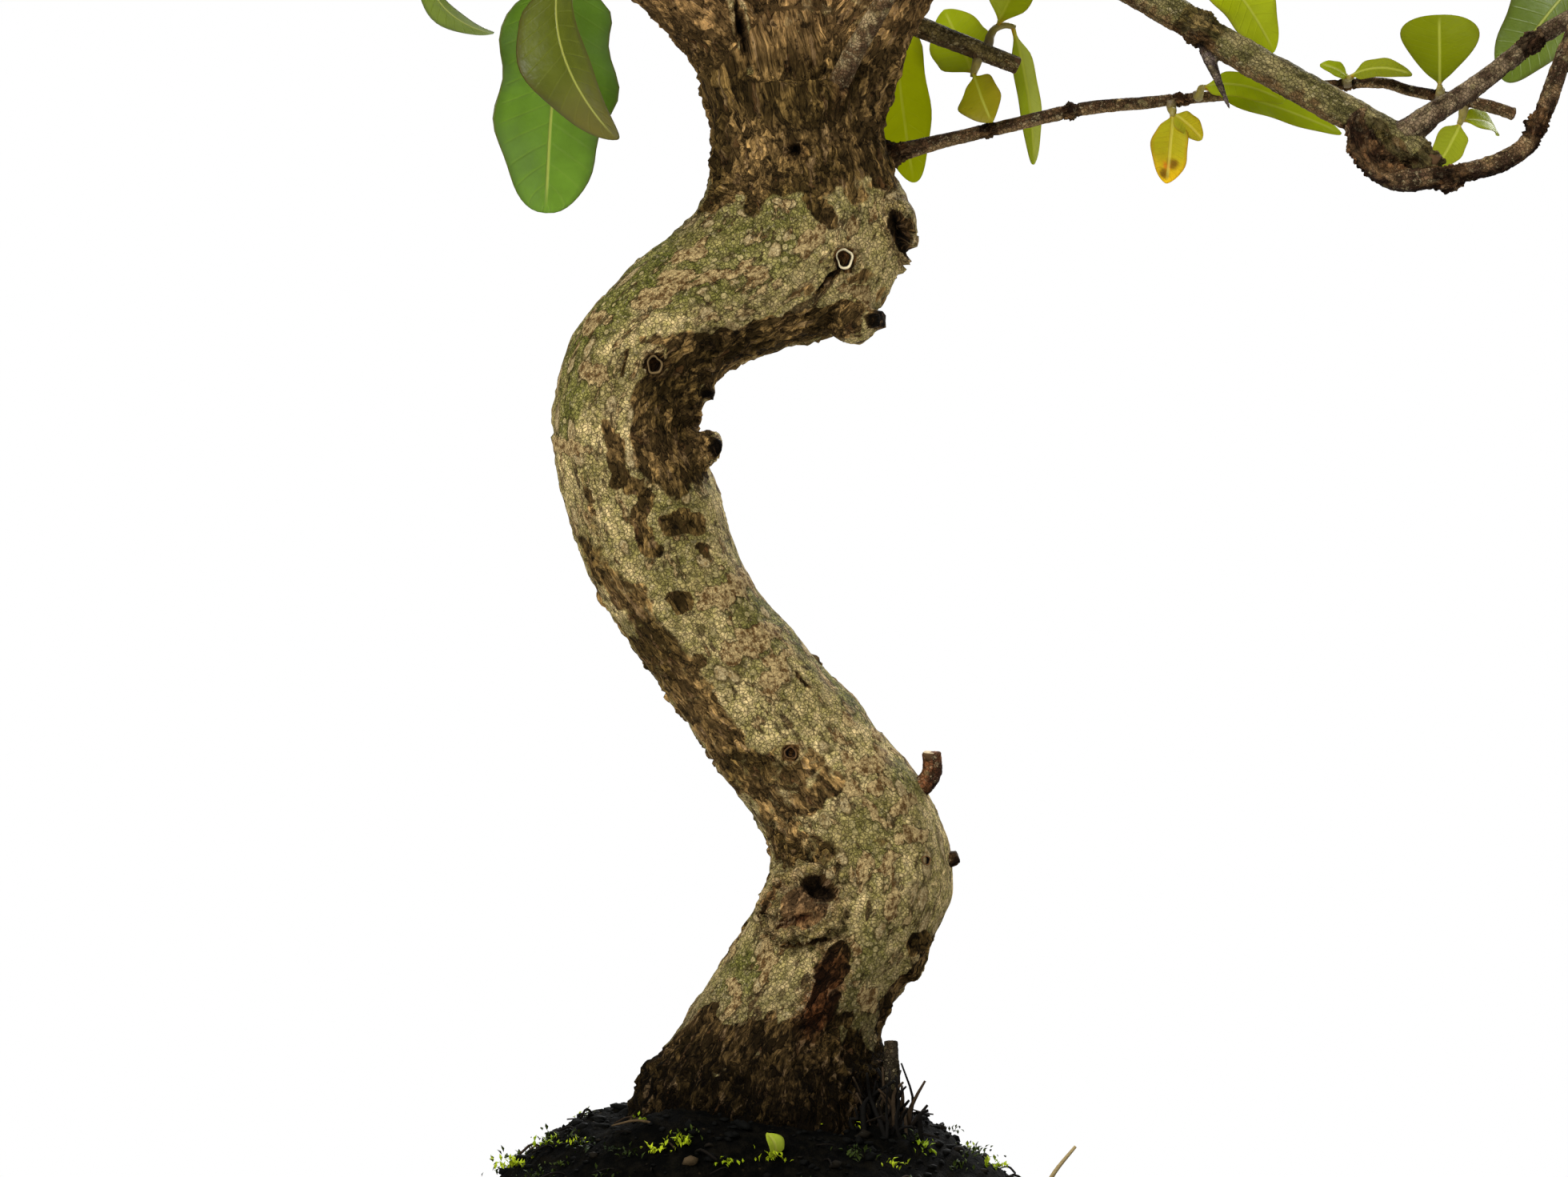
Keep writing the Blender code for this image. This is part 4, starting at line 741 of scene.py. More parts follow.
CROWN_TONE = Tone((150, 132, 96), (86, 72, 48), (82, 64, 44), 0.4)
# Between which heights the bark changes: at the foot, darkening toward it, at the neck and up the arms
FOOT_BARK, FOOT_DARK, FOOT_SHADE = (92, 101), (108, 84), (110, 88)
NECK_BARK, ARM_BARK = (221, 229), (243, 254)
RED_STREAK = Patch(1030, 1238, 64, 24, 68)
# The bark's noises: the size of their features and a shift
DRIFT, FINE, CLOUD, FLECK = (7.0, 3.1), (2.2, 9.7), (11.0, 17.0), (1.6, 27.0)
# Tints of the trunk's skin, of the arms, of the red streak and of the rims of wounds, then the painted
# highlight on the ridges of a wound's lips and the painted shade in their furrows
PALE_SKIN, GREY_SKIN = colour(182, 160, 112), colour(138, 122, 78)
PALE_OLIVE, DEEP_OLIVE = colour(126, 119, 65), colour(88, 86, 38)
ARM_TINT, RED_TINT, RIM_TINT = colour(196, 168, 122), colour(96, 54, 34), colour(150, 122, 84)
LIP_HIGHLIGHT, LIP_SHADE = colour(190, 162, 116), colour(40, 28, 17)


def seen_points(points: np.ndarray) -> np.ndarray:
    """Where places in millimetres show in the picture, in picture points.

    Args:
        points: The places.

    Returns:
        The picture points, a row for each.
    """
    spread = POINTS_PER_MM * -EYE[1] / (points[:, 1] - EYE[1])
    across = PICTURE_MIDDLE[0] + (points[:, 0] - EYE[0]) * spread
    down = PICTURE_MIDDLE[1] - (points[:, 2] - EYE[2]) * spread
    return np.stack([across, down], axis=1)


def sight_line(x: float, y: float) -> np.ndarray:
    """The way from the eye through a picture point."""
    right, down = (x - PICTURE_MIDDLE[0]) / POINTS_PER_MM, (y - PICTURE_MIDDLE[1]) / POINTS_PER_MM
    return unit(np.array((EYE[0] + right, 0.0, EYE[2] - down)) - EYE)


def mix(first: np.ndarray | Row, second: np.ndarray | Row, share: np.ndarray) -> np.ndarray:
    """Colours between two, the share going to the second."""
    part = np.asarray(share)[:, None]
    return np.asarray(first) * (1 - part) + np.asarray(second) * part


@dataclass
class Skin:
    """A piece's bark while it is made, a row for each corner.

    It holds the place, the way it faces, the place on its straightened limb and the limb's number. The
    shares, from 0 to 1, say how flaky the bark is, how raised and split, how olive, how dark its flakes are.
    """

    points: np.ndarray
    normals: np.ndarray
    straight: np.ndarray
    owner: np.ndarray
    shares: tuple[np.ndarray, ...] = ()


@dataclass
class BarkPiece:
    """A run of wood: its limbs are joined, given the bark's relief and wounds, and painted."""

    name: str
    bench: Bench
    limbs: dict[str, tuple[Row, ...]]
    lumps: tuple[Row, ...]
    voxel: float
    rounds: int
    sides: int
    depth: float = 1.0
    trunk: bool = False
    trunk_sides: int = 56

    def build(self) -> bpy.types.Object:
        """Joins the limbs into one closed skin with the relief and the colours of their bark.

        Returns:
            The piece, without its finish.
        """
        lines: list[CentreLine] = [Strand(rows) for rows in self.limbs.values()]
        if self.trunk:
            lines.insert(0, TrunkLoft())
        piece = self.join(lines)
        self.bench.finish(piece, "REMESH", mode="VOXEL", voxel_size=self.voxel * MM)
        self.bench.finish(piece, "SMOOTH", factor=0.5, iterations=self.rounds)
        points = self.bench.corners(piece)
        skin = Skin(points, self.bench.normals(piece), *Course(lines).read(points))
        skin.shares = self.trunk_zones(skin) if self.trunk else self.limb_zones(skin)
        relief, plate = self.relief(skin)
        paint = self.trunk_colours(skin) if self.trunk else self.limb_colours(skin)
        if self.trunk:
            self.press_wounds(self.bench.tree(piece), skin, relief, paint)
        self.bench.move_corners(piece, points + skin.normals * relief[:, None])
        piece.data.shade_smooth()
        _, raised, olive, dark = skin.shares
        dotted = np.clip((0.5 + 0.6 * olive) * (1.0 if self.trunk else 0.25), 0, 1)
        ribbed = np.full(len(points), 0.5 if self.trunk else 1.0)
        split = raised if self.trunk else 0 * raised
        self.bench.paint(piece, "bark", paint)
        self.bench.paint(piece, "marks", np.stack([dotted, ribbed, dark, split], axis=1))
        self.bench.paint(piece, "course", np.concatenate([skin.straight * MM, plate[:, None]], axis=1))
        LOG.info("%s: %d corners", self.name, len(points))
        return piece

    def join(self, lines: Sequence[CentreLine]) -> bpy.types.Object:
        """Lays the skins of all limbs and lumps into one mesh, still crossing each other.

        Args:
            lines: The centre lines of the limbs.

        Returns:
            The piece.
        """
        bundle = Bundle()
        for line in lines:
            bundle.add_rings(line.rings(self.trunk_sides if isinstance(line, TrunkLoft) else self.sides))
        corners, faces = ball(3)
        for lump in self.lumps:
            bundle.add(corners * lump[3:] + lump[:3], faces)
        return bundle.make(self.bench, self.name)

    def limb_zones(self, skin: Skin) -> tuple[np.ndarray, ...]:
        """Where the bark of branches and twigs is flaky, raised, olive and dark, as shares from 0 to 1.

        Args:
            skin: The corners.

        Returns:
            The four shares.
        """
        drift, fine = fractal(skin.points, *DRIFT), fractal(skin.points, *FINE)
        # Where the bark faces down it is made flakier and its flakes darker; the darker flakes are painted
        # shade
        under = smoothstep(0.05, 0.75, -skin.normals[:, 2] + 0.35 * drift)
        rough = np.array([TONES.get(name, CROWN_TONE).rough for name in self.limbs])[skin.owner]
        rough = rough * (0.75 + 0.7 * drift) + 0.25 * under + 0.9 * self.knots(skin.points)
        rough = np.clip(rough, 0, 1)
        raised = smoothstep(0.28, 0.42, fine) * (1 - rough)
        return rough, raised, smoothstep(0.05, 0.5, drift + 0.3 * skin.normals[:, 2]), 0.35 + 0.3 * under

    def trunk_zones(self, skin: Skin) -> tuple[np.ndarray, ...]:
        """Where the trunk's bark is flaky, raised, olive and dark.

        Args:
            skin: The trunk's corners.

        Returns:
            The four shares, 0 to 1: by the patches on the front, by noise behind.
        """
        points, normals = skin.points, skin.normals
        drift, fine = fractal(points, *DRIFT), fractal(points, *FINE)
        under = smoothstep(0.05, 0.75, -normals[:, 2] + 0.35 * drift)
        height = points[:, 2] + 5 * drift
        neck = smoothstep(*NECK_BARK, height) * (1 - 0.42 * smoothstep(*ARM_BARK, height))
        fingers = fractal(points, (5.0, 5.0, 15.0), 61.0)
        foot = 1 - smoothstep(*FOOT_BARK, points[:, 2] - 11 * fingers + 0.10 * points[:, 0])
        front = smoothstep(-0.10, 0.30, -normals[:, 1])
        seen = seen_points(points) + np.stack([drift * 15 + fine * 8, -drift * 13 + fine * 7], axis=1)
        patch_rough = self.cover(ROUGH_PATCHES, seen, 1.30, 0.62, even=True)
        dark = np.maximum(front * self.cover(ROUGH_PATCHES, seen, 1.6, 0.9), (1 - front) * 0.5)
        dark = np.maximum.reduce([dark, 0.66 * neck, smoothstep(*FOOT_DARK, points[:, 2])])
        patch_olive = self.cover(OLIVE_PATCHES, seen, 1.25, 0.70)
        raised = self.cover(RAISED_PATCHES, seen, 1.25, 0.78) * front * (1 - neck)
        behind = smoothstep(0.02, 0.38, fractal(points, 15.0, 21.3) + 0.30 * under)
        rough = np.maximum(front * patch_rough, (1 - front) * behind)
        # Bark facing down is made flaky, and so darker: partly its own rough bark, partly painted shade
        rough = np.maximum(rough, under * (0.45 + 0.4 * fine) * (1 - front * patch_olive))
        rough = rough * (1 - 0.9 * front * patch_olive * (1 - patch_rough))
        rough = np.clip(np.maximum.reduce([rough, neck, foot]), 0, 1) * (1 - 0.8 * raised)
        mossy = smoothstep(0.0, 0.45, fractal(points, 12.0, 5.5) + 0.25 * normals[:, 2])
        olive = np.maximum(front * patch_olive, (1 - front) * mossy) * (1 - rough)
        islands = smoothstep(0.34, 0.44, fractal(points, 4.0, 14.0)) * (1 - rough) * (1 - front)
        return rough, np.maximum(raised, islands), np.clip(olive, 0, 1), dark

    def knots(self, points: np.ndarray) -> np.ndarray:
        """How near places are to a knuckle or a collar of a limb, 0 to 1, and 0 all over the trunk.

        Args:
            points: The places.

        Returns:
            The shares.
        """
        near = np.zeros(len(points))
        for lump in () if self.trunk else self.lumps:
            gap = np.linalg.norm((points - lump[:3]) / lump[3:], axis=1)
            near = np.maximum(near, smoothstep(1.75, 1.0, gap))
        return near

    @staticmethod
    def cover(patches: Sequence[Patch], seen: np.ndarray, outer: float, inner: float,
              even: bool = False) -> np.ndarray:
        """How strongly a list of patches covers each place.

        Args:
            patches: The patches.
            seen: Places, in picture points.
            outer: How far out a patch starts, its edge being 1.
            inner: How far out it is full.
            even: Whether strong patches count in full and weak ones by half, whatever their strength.

        Returns:
            The shares, 0 to 1.
        """
        total = np.zeros(len(seen))
        for patch in patches:
            weight = patch.strength
            if even:
                weight = 1.0 if patch.strength >= 0.5 else 0.58
            total = np.maximum(total, smoothstep(outer, inner, patch.read(seen)) * weight)
        return total

    def relief(self, skin: Skin) -> tuple[np.ndarray, np.ndarray]:
        """How far the bark stands out.

        Args:
            skin: The bark's corners with their shares.

        Returns:
            The height at each place in millimetres, and the flakes' own height from 0 to 1.
        """
        points, scale = skin.points, self.depth
        rough, raised = skin.shares[:2]
        big = fractal(points, 9.0 * scale, 1.0)
        small = fractal(points, 2.4 * scale, 4.0)
        grain = fractal(skin.straight, (1.6 * scale, 1.6 * scale, 10.0 * scale), 6.0)
        bent = points + 0.9 * scale * np.stack([small, fractal(points, 2.0, 33.0), grain], axis=1)
        _, wall, number = cells(bent, (3.4 * scale, 3.4 * scale, 2.6 * scale), 2.0)
        _, tiny_wall, tiny_number = cells(bent, 1.5 * scale, 8.0)
        plate = np.clip(0.62 * number + 0.30 * tiny_number + 0.25 * grain, 0, 1) * smoothstep(0.0, 0.22, wall)
        plate *= 0.6 + 0.4 * smoothstep(0.0, 0.25, tiny_wall)
        smooth_part = 0.34 * big + 0.10 * small + 0.12 * grain
        rough_part = 0.40 * big + 1.15 * (plate - 0.45) + 0.30 * grain + 0.2 * small
        height = scale * (smooth_part * (1 - rough) + rough_part * rough + 0.26 * raised)
        return height * (1 + 1.1 * self.knots(points)), plate

    def limb_colours(self, skin: Skin) -> np.ndarray:
        """The colour of branches and twigs at each corner, with how flaky they are as a fourth number.

        Args:
            skin: The corners, with their shares.

        Returns:
            The colours, a row for each.
        """
        cloud, fleck = fractal(skin.points, *CLOUD), fractal(skin.points, *FLECK)
        tones = [TONES.get(name, CROWN_TONE) for name in self.limbs]
        light, dark, under = (
            np.array([colour(*getattr(tone, key)) for tone in tones])[skin.owner]
            for key in ("light", "dark", "under")
        )
        mottle = smoothstep(-0.30, 0.35, cloud * 0.4 + fractal(skin.points, 3.0, 41.0) + 0.3 * fleck)
        # Bark facing down takes the underside colour: painted shade on most limbs, paler on the twig
        below = smoothstep(0.15, 0.65, -skin.normals[:, 2] + 0.5 * fleck)
        paint = mix(mix(light, dark, mottle), under, below)
        return np.concatenate([paint, skin.shares[0][:, None]], axis=1)

    @staticmethod
    def trunk_colours(skin: Skin) -> np.ndarray:
        """The trunk's colour at each corner, with how flaky it is as a fourth number.

        Args:
            skin: The corners, with their shares.

        Returns:
            The colours, a row for each.
        """
        points, olive = skin.points, skin.shares[2]
        cloud, fleck = fractal(points, *CLOUD), fractal(points, *FLECK)
        paint = mix(PALE_SKIN, GREY_SKIN, smoothstep(-0.3, 0.4, cloud + 0.3 * fleck))
        paint = mix(paint, mix(PALE_OLIVE, DEEP_OLIVE, smoothstep(-0.3, 0.3, fleck)), olive)
        paint = mix(paint, ARM_TINT, 0.7 * smoothstep(*ARM_BARK, points[:, 2] + 3 * cloud))
        paint = paint * (1 - 0.80 * smoothstep(*FOOT_SHADE, points[:, 2] + 5 * cloud)[:, None])
        streak = smoothstep(1.3, 0.7, RED_STREAK.read(seen_points(points) + 9 * fleck[:, None]))
        streak = streak * smoothstep(0.0, 0.4, -skin.normals[:, 1])
        paint = mix(paint, RED_TINT, 0.8 * streak)
        return np.concatenate([paint, skin.shares[0][:, None]], axis=1)

    @staticmethod
    def press_wounds(tree: BVHTree, skin: Skin, relief: np.ndarray, paint: np.ndarray) -> None:
        """Presses the wounds into the bark where they show from the front.

        Args:
            tree: A search tree over the bark.
            skin: The bark's corners.
            relief: The height of the bark, which this changes.
            paint: The colours of the bark, which this changes.
        """
        seen = seen_points(skin.points)
        ragged = fractal(skin.points, 1.8, 51.0)
        for wound in WOUNDS:
            hit = tree.ray_cast(Vector(EYE), Vector(sight_line(wound.shape.x, wound.shape.y)))[0]
            if hit is None:
                LOG.info("wound at %s, %s misses the wood", wound.shape.x, wound.shape.y)
                continue
            reach = 2.6 * max(wound.shape.along, wound.shape.across) / POINTS_PER_MM + 2
            near = np.linalg.norm(skin.points - np.array(hit), axis=1) < reach
            near &= skin.normals[:, 1] < 0.35
            far = wound.shape.read(seen[near]) * (1 + 0.14 * ragged[near])
            rim = np.exp(-(((far - 1.15) / wound.rim_width) ** 2))
            relief[near] += wound.rim * rim - wound.depth * smoothstep(1.0, 0.45, far)
            shade = paint[near, :3]
            if wound.lips:
                ring = smoothstep(2.2, 1.4, far) * smoothstep(0.80, 1.05, far)
                drift = 2.6 * fractal(skin.points[near], 3.0, 71.0) + 1.5 * ragged[near]
                wave = np.sin(far * wound.lips + drift)
                relief[near] += 0.80 * ring * wave
                # The lips are painted lighter on their ridges and darker in their furrows: painted highlight
                # and shade
                shade = mix(shade, LIP_HIGHLIGHT, 0.55 * ring * smoothstep(0.1, 0.9, wave))
                shade = mix(shade, LIP_SHADE, 0.85 * ring * smoothstep(-0.2, -0.8, wave))
            shade = mix(shade, RIM_TINT, wound.rim_pale * rim)
            bed_share = smoothstep(1.02, 0.75, far)
            paint[near, :3] = mix(shade, wound.bed.value, bed_share * 0.92)
            paint[near, 3] = np.maximum(paint[near, 3] * (1 - rim * 0.5), bed_share)


def maths_method(operation: str, flipped: bool = False) -> Callable[["Wire", Union["Wire", float]], "Wire"]:
    """A method of a wire that works it out with another or with a number.

    Args:
        operation: What the Math node works out.
        flipped: Whether the other comes first.

    Returns:
        The method.
    """
    def method(self: "Wire", other: Union["Wire", float]) -> "Wire":
        """Adds the Math node and gives its result."""
        return self.maths(operation, other, self) if flipped else self.maths(operation, self, other)

    return method


class Wire:
    """A socket of a finish's nodes, on which Python's operators add Math nodes."""

    def __init__(self, nodes: "FinishNodes", socket: bpy.types.NodeSocket) -> None:
        """Keeps the socket with the nodes that it belongs to."""
        self.nodes = nodes
        self.socket = socket

    def maths(self, operation: str, *values: Union["Wire", float]) -> "Wire":
        """Adds a Math node for some values and gives its result."""
        node = self.nodes.add("ShaderNodeMath", {"operation": operation}, dict(enumerate(values)))
        return self.nodes.wire(node)

    __add__, __radd__ = maths_method("ADD"), maths_method("ADD", True)
    __sub__, __rsub__ = maths_method("SUBTRACT"), maths_method("SUBTRACT", True)
    __mul__, __rmul__ = maths_method("MULTIPLY"), maths_method("MULTIPLY", True)
    most = maths_method("MAXIMUM")

    def __abs__(self) -> "Wire":
        """The size without its sign."""
        return self.maths("ABSOLUTE", self)

    def fract(self) -> "Wire":
        """What is left over past the whole number."""
        return self.maths("FRACT", self)

    def step(self, low: float, high: float) -> "Wire":
        """Changes smoothly from 0 at low to 1 at high, which may be the lesser of the two.

        Args:
            low: Where it is 0.
            high: Where it is 1.

        Returns:
            The changed value.
        """
        first, last = min(low, high), max(low, high)
        ends = (0.0, 1.0) if low < high else (1.0, 0.0)
        node = self.nodes.add(
            "ShaderNodeMapRange", {"interpolation_type": "SMOOTHSTEP"},
            {"Value": self, "From Min": first, "From Max": last, "To Min": ends[0], "To Max": ends[1]},
        )
        return Wire(self.nodes, node.outputs["Result"])


class FinishNodes:
    """The nodes of one finish, with its shader and its output in place."""

    def __init__(self, name: str) -> None:
        """Starts a finish with a Principled shader.

        Args:
            name: The finish's name.
        """
        self.material = bpy.data.materials.new(name)
        self.material.use_nodes = True
        self.tree = self.material.node_tree
        self.tree.nodes.clear()
        self.output = self.tree.nodes.new("ShaderNodeOutputMaterial")
        self.shader = self.tree.nodes.new("ShaderNodeBsdfPrincipled")
        self.tree.links.new(self.shader.outputs[0], self.output.inputs["Surface"])

    def add(self, kind: str, settings: dict[str, object], values: Sockets) -> bpy.types.Node:
        """Adds a node.

        Args:
            kind: Its type.
            settings: What is set on the node itself, first.
            values: A number, a colour or a wire for each input, by name or place.

        Returns:
            The node.
        """
        node = self.tree.nodes.new(kind)
        for key, value in settings.items():
            setattr(node, key, value)
        for key, value in values.items():
            self.plug(node.inputs[key], value)
        return node

    def plug(self, socket: bpy.types.NodeSocket, value: object) -> None:
        """Links a wire to an input, or sets a plain value on it.

        Args:
            socket: The input.
            value: A wire, a number or a colour.
        """
        if isinstance(value, Wire):
            self.tree.links.new(value.socket, socket)
        else:
            socket.default_value = value

    def wire(self, node: bpy.types.Node, name: Union[str, int] = 0) -> Wire:
        """A result of a node."""
        return Wire(self, node.outputs[name])

    def place(self) -> Wire:
        """Where a point of the surface is, in metres."""
        return self.wire(self.add("ShaderNodeTexCoord", {}, {}), "Object")

    def grain(self, place: Wire, size: float, detail: float = 4.0, rough: float = 0.6) -> Wire:
        """Soft noise from 0 to 1 with features of a size in millimetres.

        Args:
            place: Where it is read.
            size: The size.
            detail: How many finer layers it has.
            rough: How strong they are.

        Returns:
            The noise.
        """
        node = self.add("ShaderNodeTexNoise", {}, {
            "Vector": self.tilt(place), "Scale": 1 / (size * MM), "Detail": detail, "Roughness": rough,
        })
        return self.wire(node, "Fac")

    def dots(self, place: Wire, size: float, feature: str = "F1") -> Wire:
        """Distance to the middle, or to the wall, of cells of a size in millimetres."""
        values = {"Vector": self.tilt(place), "Scale": 1 / (size * MM)}
        return self.wire(self.add("ShaderNodeTexVoronoi", {"feature": feature}, values), "Distance")

    def cells(self, place: Wire, size: float) -> tuple[Wire, Wire]:
        """Distance to the middle of cells of a size in millimetres, and each cell's number from 0 to 1."""
        node = self.add("ShaderNodeTexVoronoi", {}, {"Vector": self.tilt(place), "Scale": 1 / (size * MM)})
        return self.wire(node, "Distance"), self.parts(self.wire(node, "Color"))[0]

    def tilt(self, place: Wire) -> Wire:
        """Turns places out of line with the picture for a noise to be read there."""
        values = {"Vector": place, "Rotation": TILT}
        return self.wire(self.add("ShaderNodeVectorRotate", {"rotation_type": "EULER_XYZ"}, values))

    def stretch(self, place: Wire, factors: Row) -> Wire:
        """Scales places along each axis, so that a pattern there grows longer where a factor is small."""
        return self.wire(self.add("ShaderNodeVectorMath", {"operation": "MULTIPLY"}, {0: place, 1: factors}))

    def bend(self, place: Wire, size: float, far: float) -> Wire:
        """Moves places about by noise of a size, some millimetres far, to break up a pattern laid there.

        Args:
            place: The places.
            size: The size of the noise.
            far: How far it moves them.

        Returns:
            The moved places.
        """
        values = {"Vector": self.tilt(place), "Scale": 1 / (size * MM), "Detail": 2.0}
        drift = self.wire(self.add("ShaderNodeTexNoise", {}, values), "Color")
        values = {0: drift, 1: (far * MM,) * 3, 2: place}
        return self.wire(self.add("ShaderNodeVectorMath", {"operation": "MULTIPLY_ADD"}, values))

    def attribute(self, name: str) -> tuple[Wire, Wire]:
        """A colour kept on the piece's corners, and its fourth number."""
        node = self.add("ShaderNodeAttribute", {"attribute_name": name}, {})
        return self.wire(node, "Color"), self.wire(node, "Alpha")

    def parts(self, source: Wire) -> tuple[Wire, Wire, Wire]:
        """The three numbers of a colour."""
        node = self.add("ShaderNodeSeparateColor", {}, {0: source})
        return self.wire(node, 0), self.wire(node, 1), self.wire(node, 2)

    def axes(self, place: Wire) -> tuple[Wire, Wire, Wire]:
        """The three numbers of a place."""
        node = self.add("ShaderNodeSeparateXYZ", {}, {0: place})
        return self.wire(node, 0), self.wire(node, 1), self.wire(node, 2)

    def blend(self, first: object, second: object, share: Union[Wire, float], kind: str = "MIX") -> Wire:
        """Mixes two colours, the share going to the second."""
        settings = {"data_type": "RGBA", "blend_type": kind}
        return self.wire(self.add("ShaderNodeMix", settings, {0: share, 6: first, 7: second}), 2)

    def shade(self, source: Wire, strength: Wire) -> Wire:
        """Makes a colour lighter or darker by a number that varies."""
        node = self.add("ShaderNodeVectorMath", {"operation": "SCALE"}, {0: source, "Scale": strength})
        return self.wire(node)

    def relief(self, height: Wire, depth: float) -> None:
        """Raises the surface's look by a height from 0 to 1, so many millimetres deep."""
        node = self.add("ShaderNodeBump", {}, {"Height": height, "Distance": depth * MM, "Strength": 1.0})
        self.plug(self.shader.inputs["Normal"], self.wire(node))

    def wear(self, **values: object) -> None:
        """Sets inputs of the shader, their names written with underscores."""
        for key, value in values.items():
            self.plug(self.shader.inputs[key.replace("_", " ").title().replace("Ior", "IOR")], value)


def solid(red: float, green: float, blue: float) -> Row:
    """A colour of the screen as a socket takes it."""
    return (*colour(int(red), int(green), int(blue)), 1.0)


@dataclass(frozen=True)
class BarkFinish:
    """Bark: smooth skin with lenticels, islands and scars, and where it is rough, cracked flakes."""

    name: str = "pomegranate_bark"
    lenticel: float = 1.8
    disc: float = 3.1
    island: float = 2.4
    scar: float = 3.4
    flake: float = 1.5
    depth: float = 1.1
    fleck_tint: Row = solid(208, 190, 146)
    wrinkle_tint: Row = solid(48, 42, 24)
    lenticel_edge: Row = solid(52, 48, 22)
    lenticel_tint: Row = solid(192, 174, 118)
    disc_edge: Row = solid(66, 52, 28)
    disc_dark: Row = solid(150, 124, 78)
    disc_light: Row = solid(214, 192, 142)
    disc_middle: Row = solid(96, 72, 42)
    island_edge: Row = solid(54, 40, 23)
    island_dark: Row = solid(104, 76, 42)
    island_light: Row = solid(208, 180, 124)
    scar_dark: Row = solid(40, 27, 16)
    scar_light: Row = solid(96, 72, 44)
    sliver_shaded: Row = solid(122, 84, 48)
    sliver_lit: Row = solid(206, 172, 128)
    pit_shade: Row = solid(14, 10, 6)
    crack_tint: Row = solid(12, 8, 5)

    def make(self) -> bpy.types.Material:
        """Builds the finish.

        Returns:
            The finish.
        """
        nodes = FinishNodes(self.name)
        place = nodes.place()
        paint, rough = nodes.attribute("bark")
        marks, raised = nodes.attribute("marks")
        spotted, ribbed, dark = nodes.parts(marks)
        course, slab = nodes.attribute("course")
        course = nodes.stretch(course, (1.0, 1.0, 0.50))
        bent = nodes.bend(place, 2.2, 1.5)
        grain = nodes.grain(place, 1.0, 6.0, 0.68)
        grit = nodes.grain(place, 0.30, 3.0, 0.6)
        fibre = nodes.grain(course, 0.55, 5.0, 0.62)
        flaky = (rough - 0.12 * (ribbed - 0.5) + 0.60 * (nodes.grain(bent, 2.4, 4.0) - 0.5)).step(0.40, 0.55)
        bare = 1.0 - flaky

        wrinkle = nodes.dots(nodes.bend(place, 0.9, 0.6), 0.62, "DISTANCE_TO_EDGE").step(0.13, 0.0) * bare
        skin = (0.50 * nodes.grain(place, 0.7, 5.0, 0.72) + 0.26 * fibre + 0.24 * grain).step(0.40, 0.60)
        mottle = nodes.grain(bent, 1.7, 5.0, 0.66).step(0.38, 0.62)
        limb = 2.0 * ribbed - 1.0
        streak = nodes.grain(nodes.stretch(course, (1.0, 1.0, 0.2)), 0.9, 4.0).step(0.50, 0.60) * limb
        shares = (0.44 + 0.48 * limb) + (0.96 - 0.55 * limb) * skin + (0.58 - 0.38 * limb) * mottle
        tone = nodes.shade(paint, shares * (1.12 - 0.55 * streak))
        damp = nodes.blend(tone, (0.80, 0.88, 0.58, 1.0), 1.0, "MULTIPLY")
        tone = nodes.blend(tone, damp, (1.0 - mottle) * (0.8 - 0.5 * limb))
        fleck = nodes.grain(place, 0.9, 5.0, 0.75).step(0.555, 0.61)
        tone = nodes.blend(tone, self.fleck_tint, fleck * 0.40)
        tone = nodes.blend(tone, nodes.blend(tone, self.wrinkle_tint, 0.80), wrinkle * (0.42 + 0.6 * grain))
        away, number = nodes.cells(nodes.bend(place, 0.9, 0.4), self.lenticel)
        chosen = number.step(0.30, 0.40) * spotted * bare
        spot = away.step(0.31, 0.23) * chosen
        tone = nodes.blend(tone, self.lenticel_edge, away.step(0.44, 0.33) * chosen * 0.50)
        tone = nodes.blend(tone, self.lenticel_tint, spot * 0.92)
        far, mark = nodes.cells(nodes.bend(nodes.stretch(course, (1.0, 1.0, 1.4)), 1.5, 1.3), self.disc)
        picked = mark.step(0.52, 0.60) * bare * (2.0 - 2.0 * ribbed)
        disc = far.step(0.34, 0.27) * picked
        tone = nodes.blend(tone, self.disc_edge, far.step(0.47, 0.34) * picked * 0.62)
        tone = nodes.blend(tone, nodes.blend(self.disc_dark, self.disc_light, skin), disc * 0.90)
        tone = nodes.blend(tone, self.disc_middle, far.step(0.15, 0.04) * picked * grain)
        height = nodes.grain(nodes.bend(course, 1.8, 1.2), self.island, 5.0, 0.60) + 0.26 * raised
        height = height - 0.14 * (ribbed - 0.5)
        island = height.step(0.595, 0.620) * bare
        tone = nodes.blend(tone, self.island_edge, height.step(0.550, 0.592) * bare * (0.72 - 0.40 * limb))
        tan = (0.6 * grain + 0.4 * fibre).step(0.42, 0.57)
        tone = nodes.blend(tone, nodes.blend(self.island_dark, self.island_light, tan), island * 0.90)
        scar = nodes.grain(nodes.bend(course, 1.4, 0.9), self.scar, 4.0).step(0.625, 0.66)
        scar = scar * bare * (1.0 - island) * (1.0 - 0.6 * limb)
        brown = nodes.blend(self.scar_dark, self.scar_light, grain.step(0.40, 0.66))
        tone = nodes.blend(tone, brown, scar * 0.85)

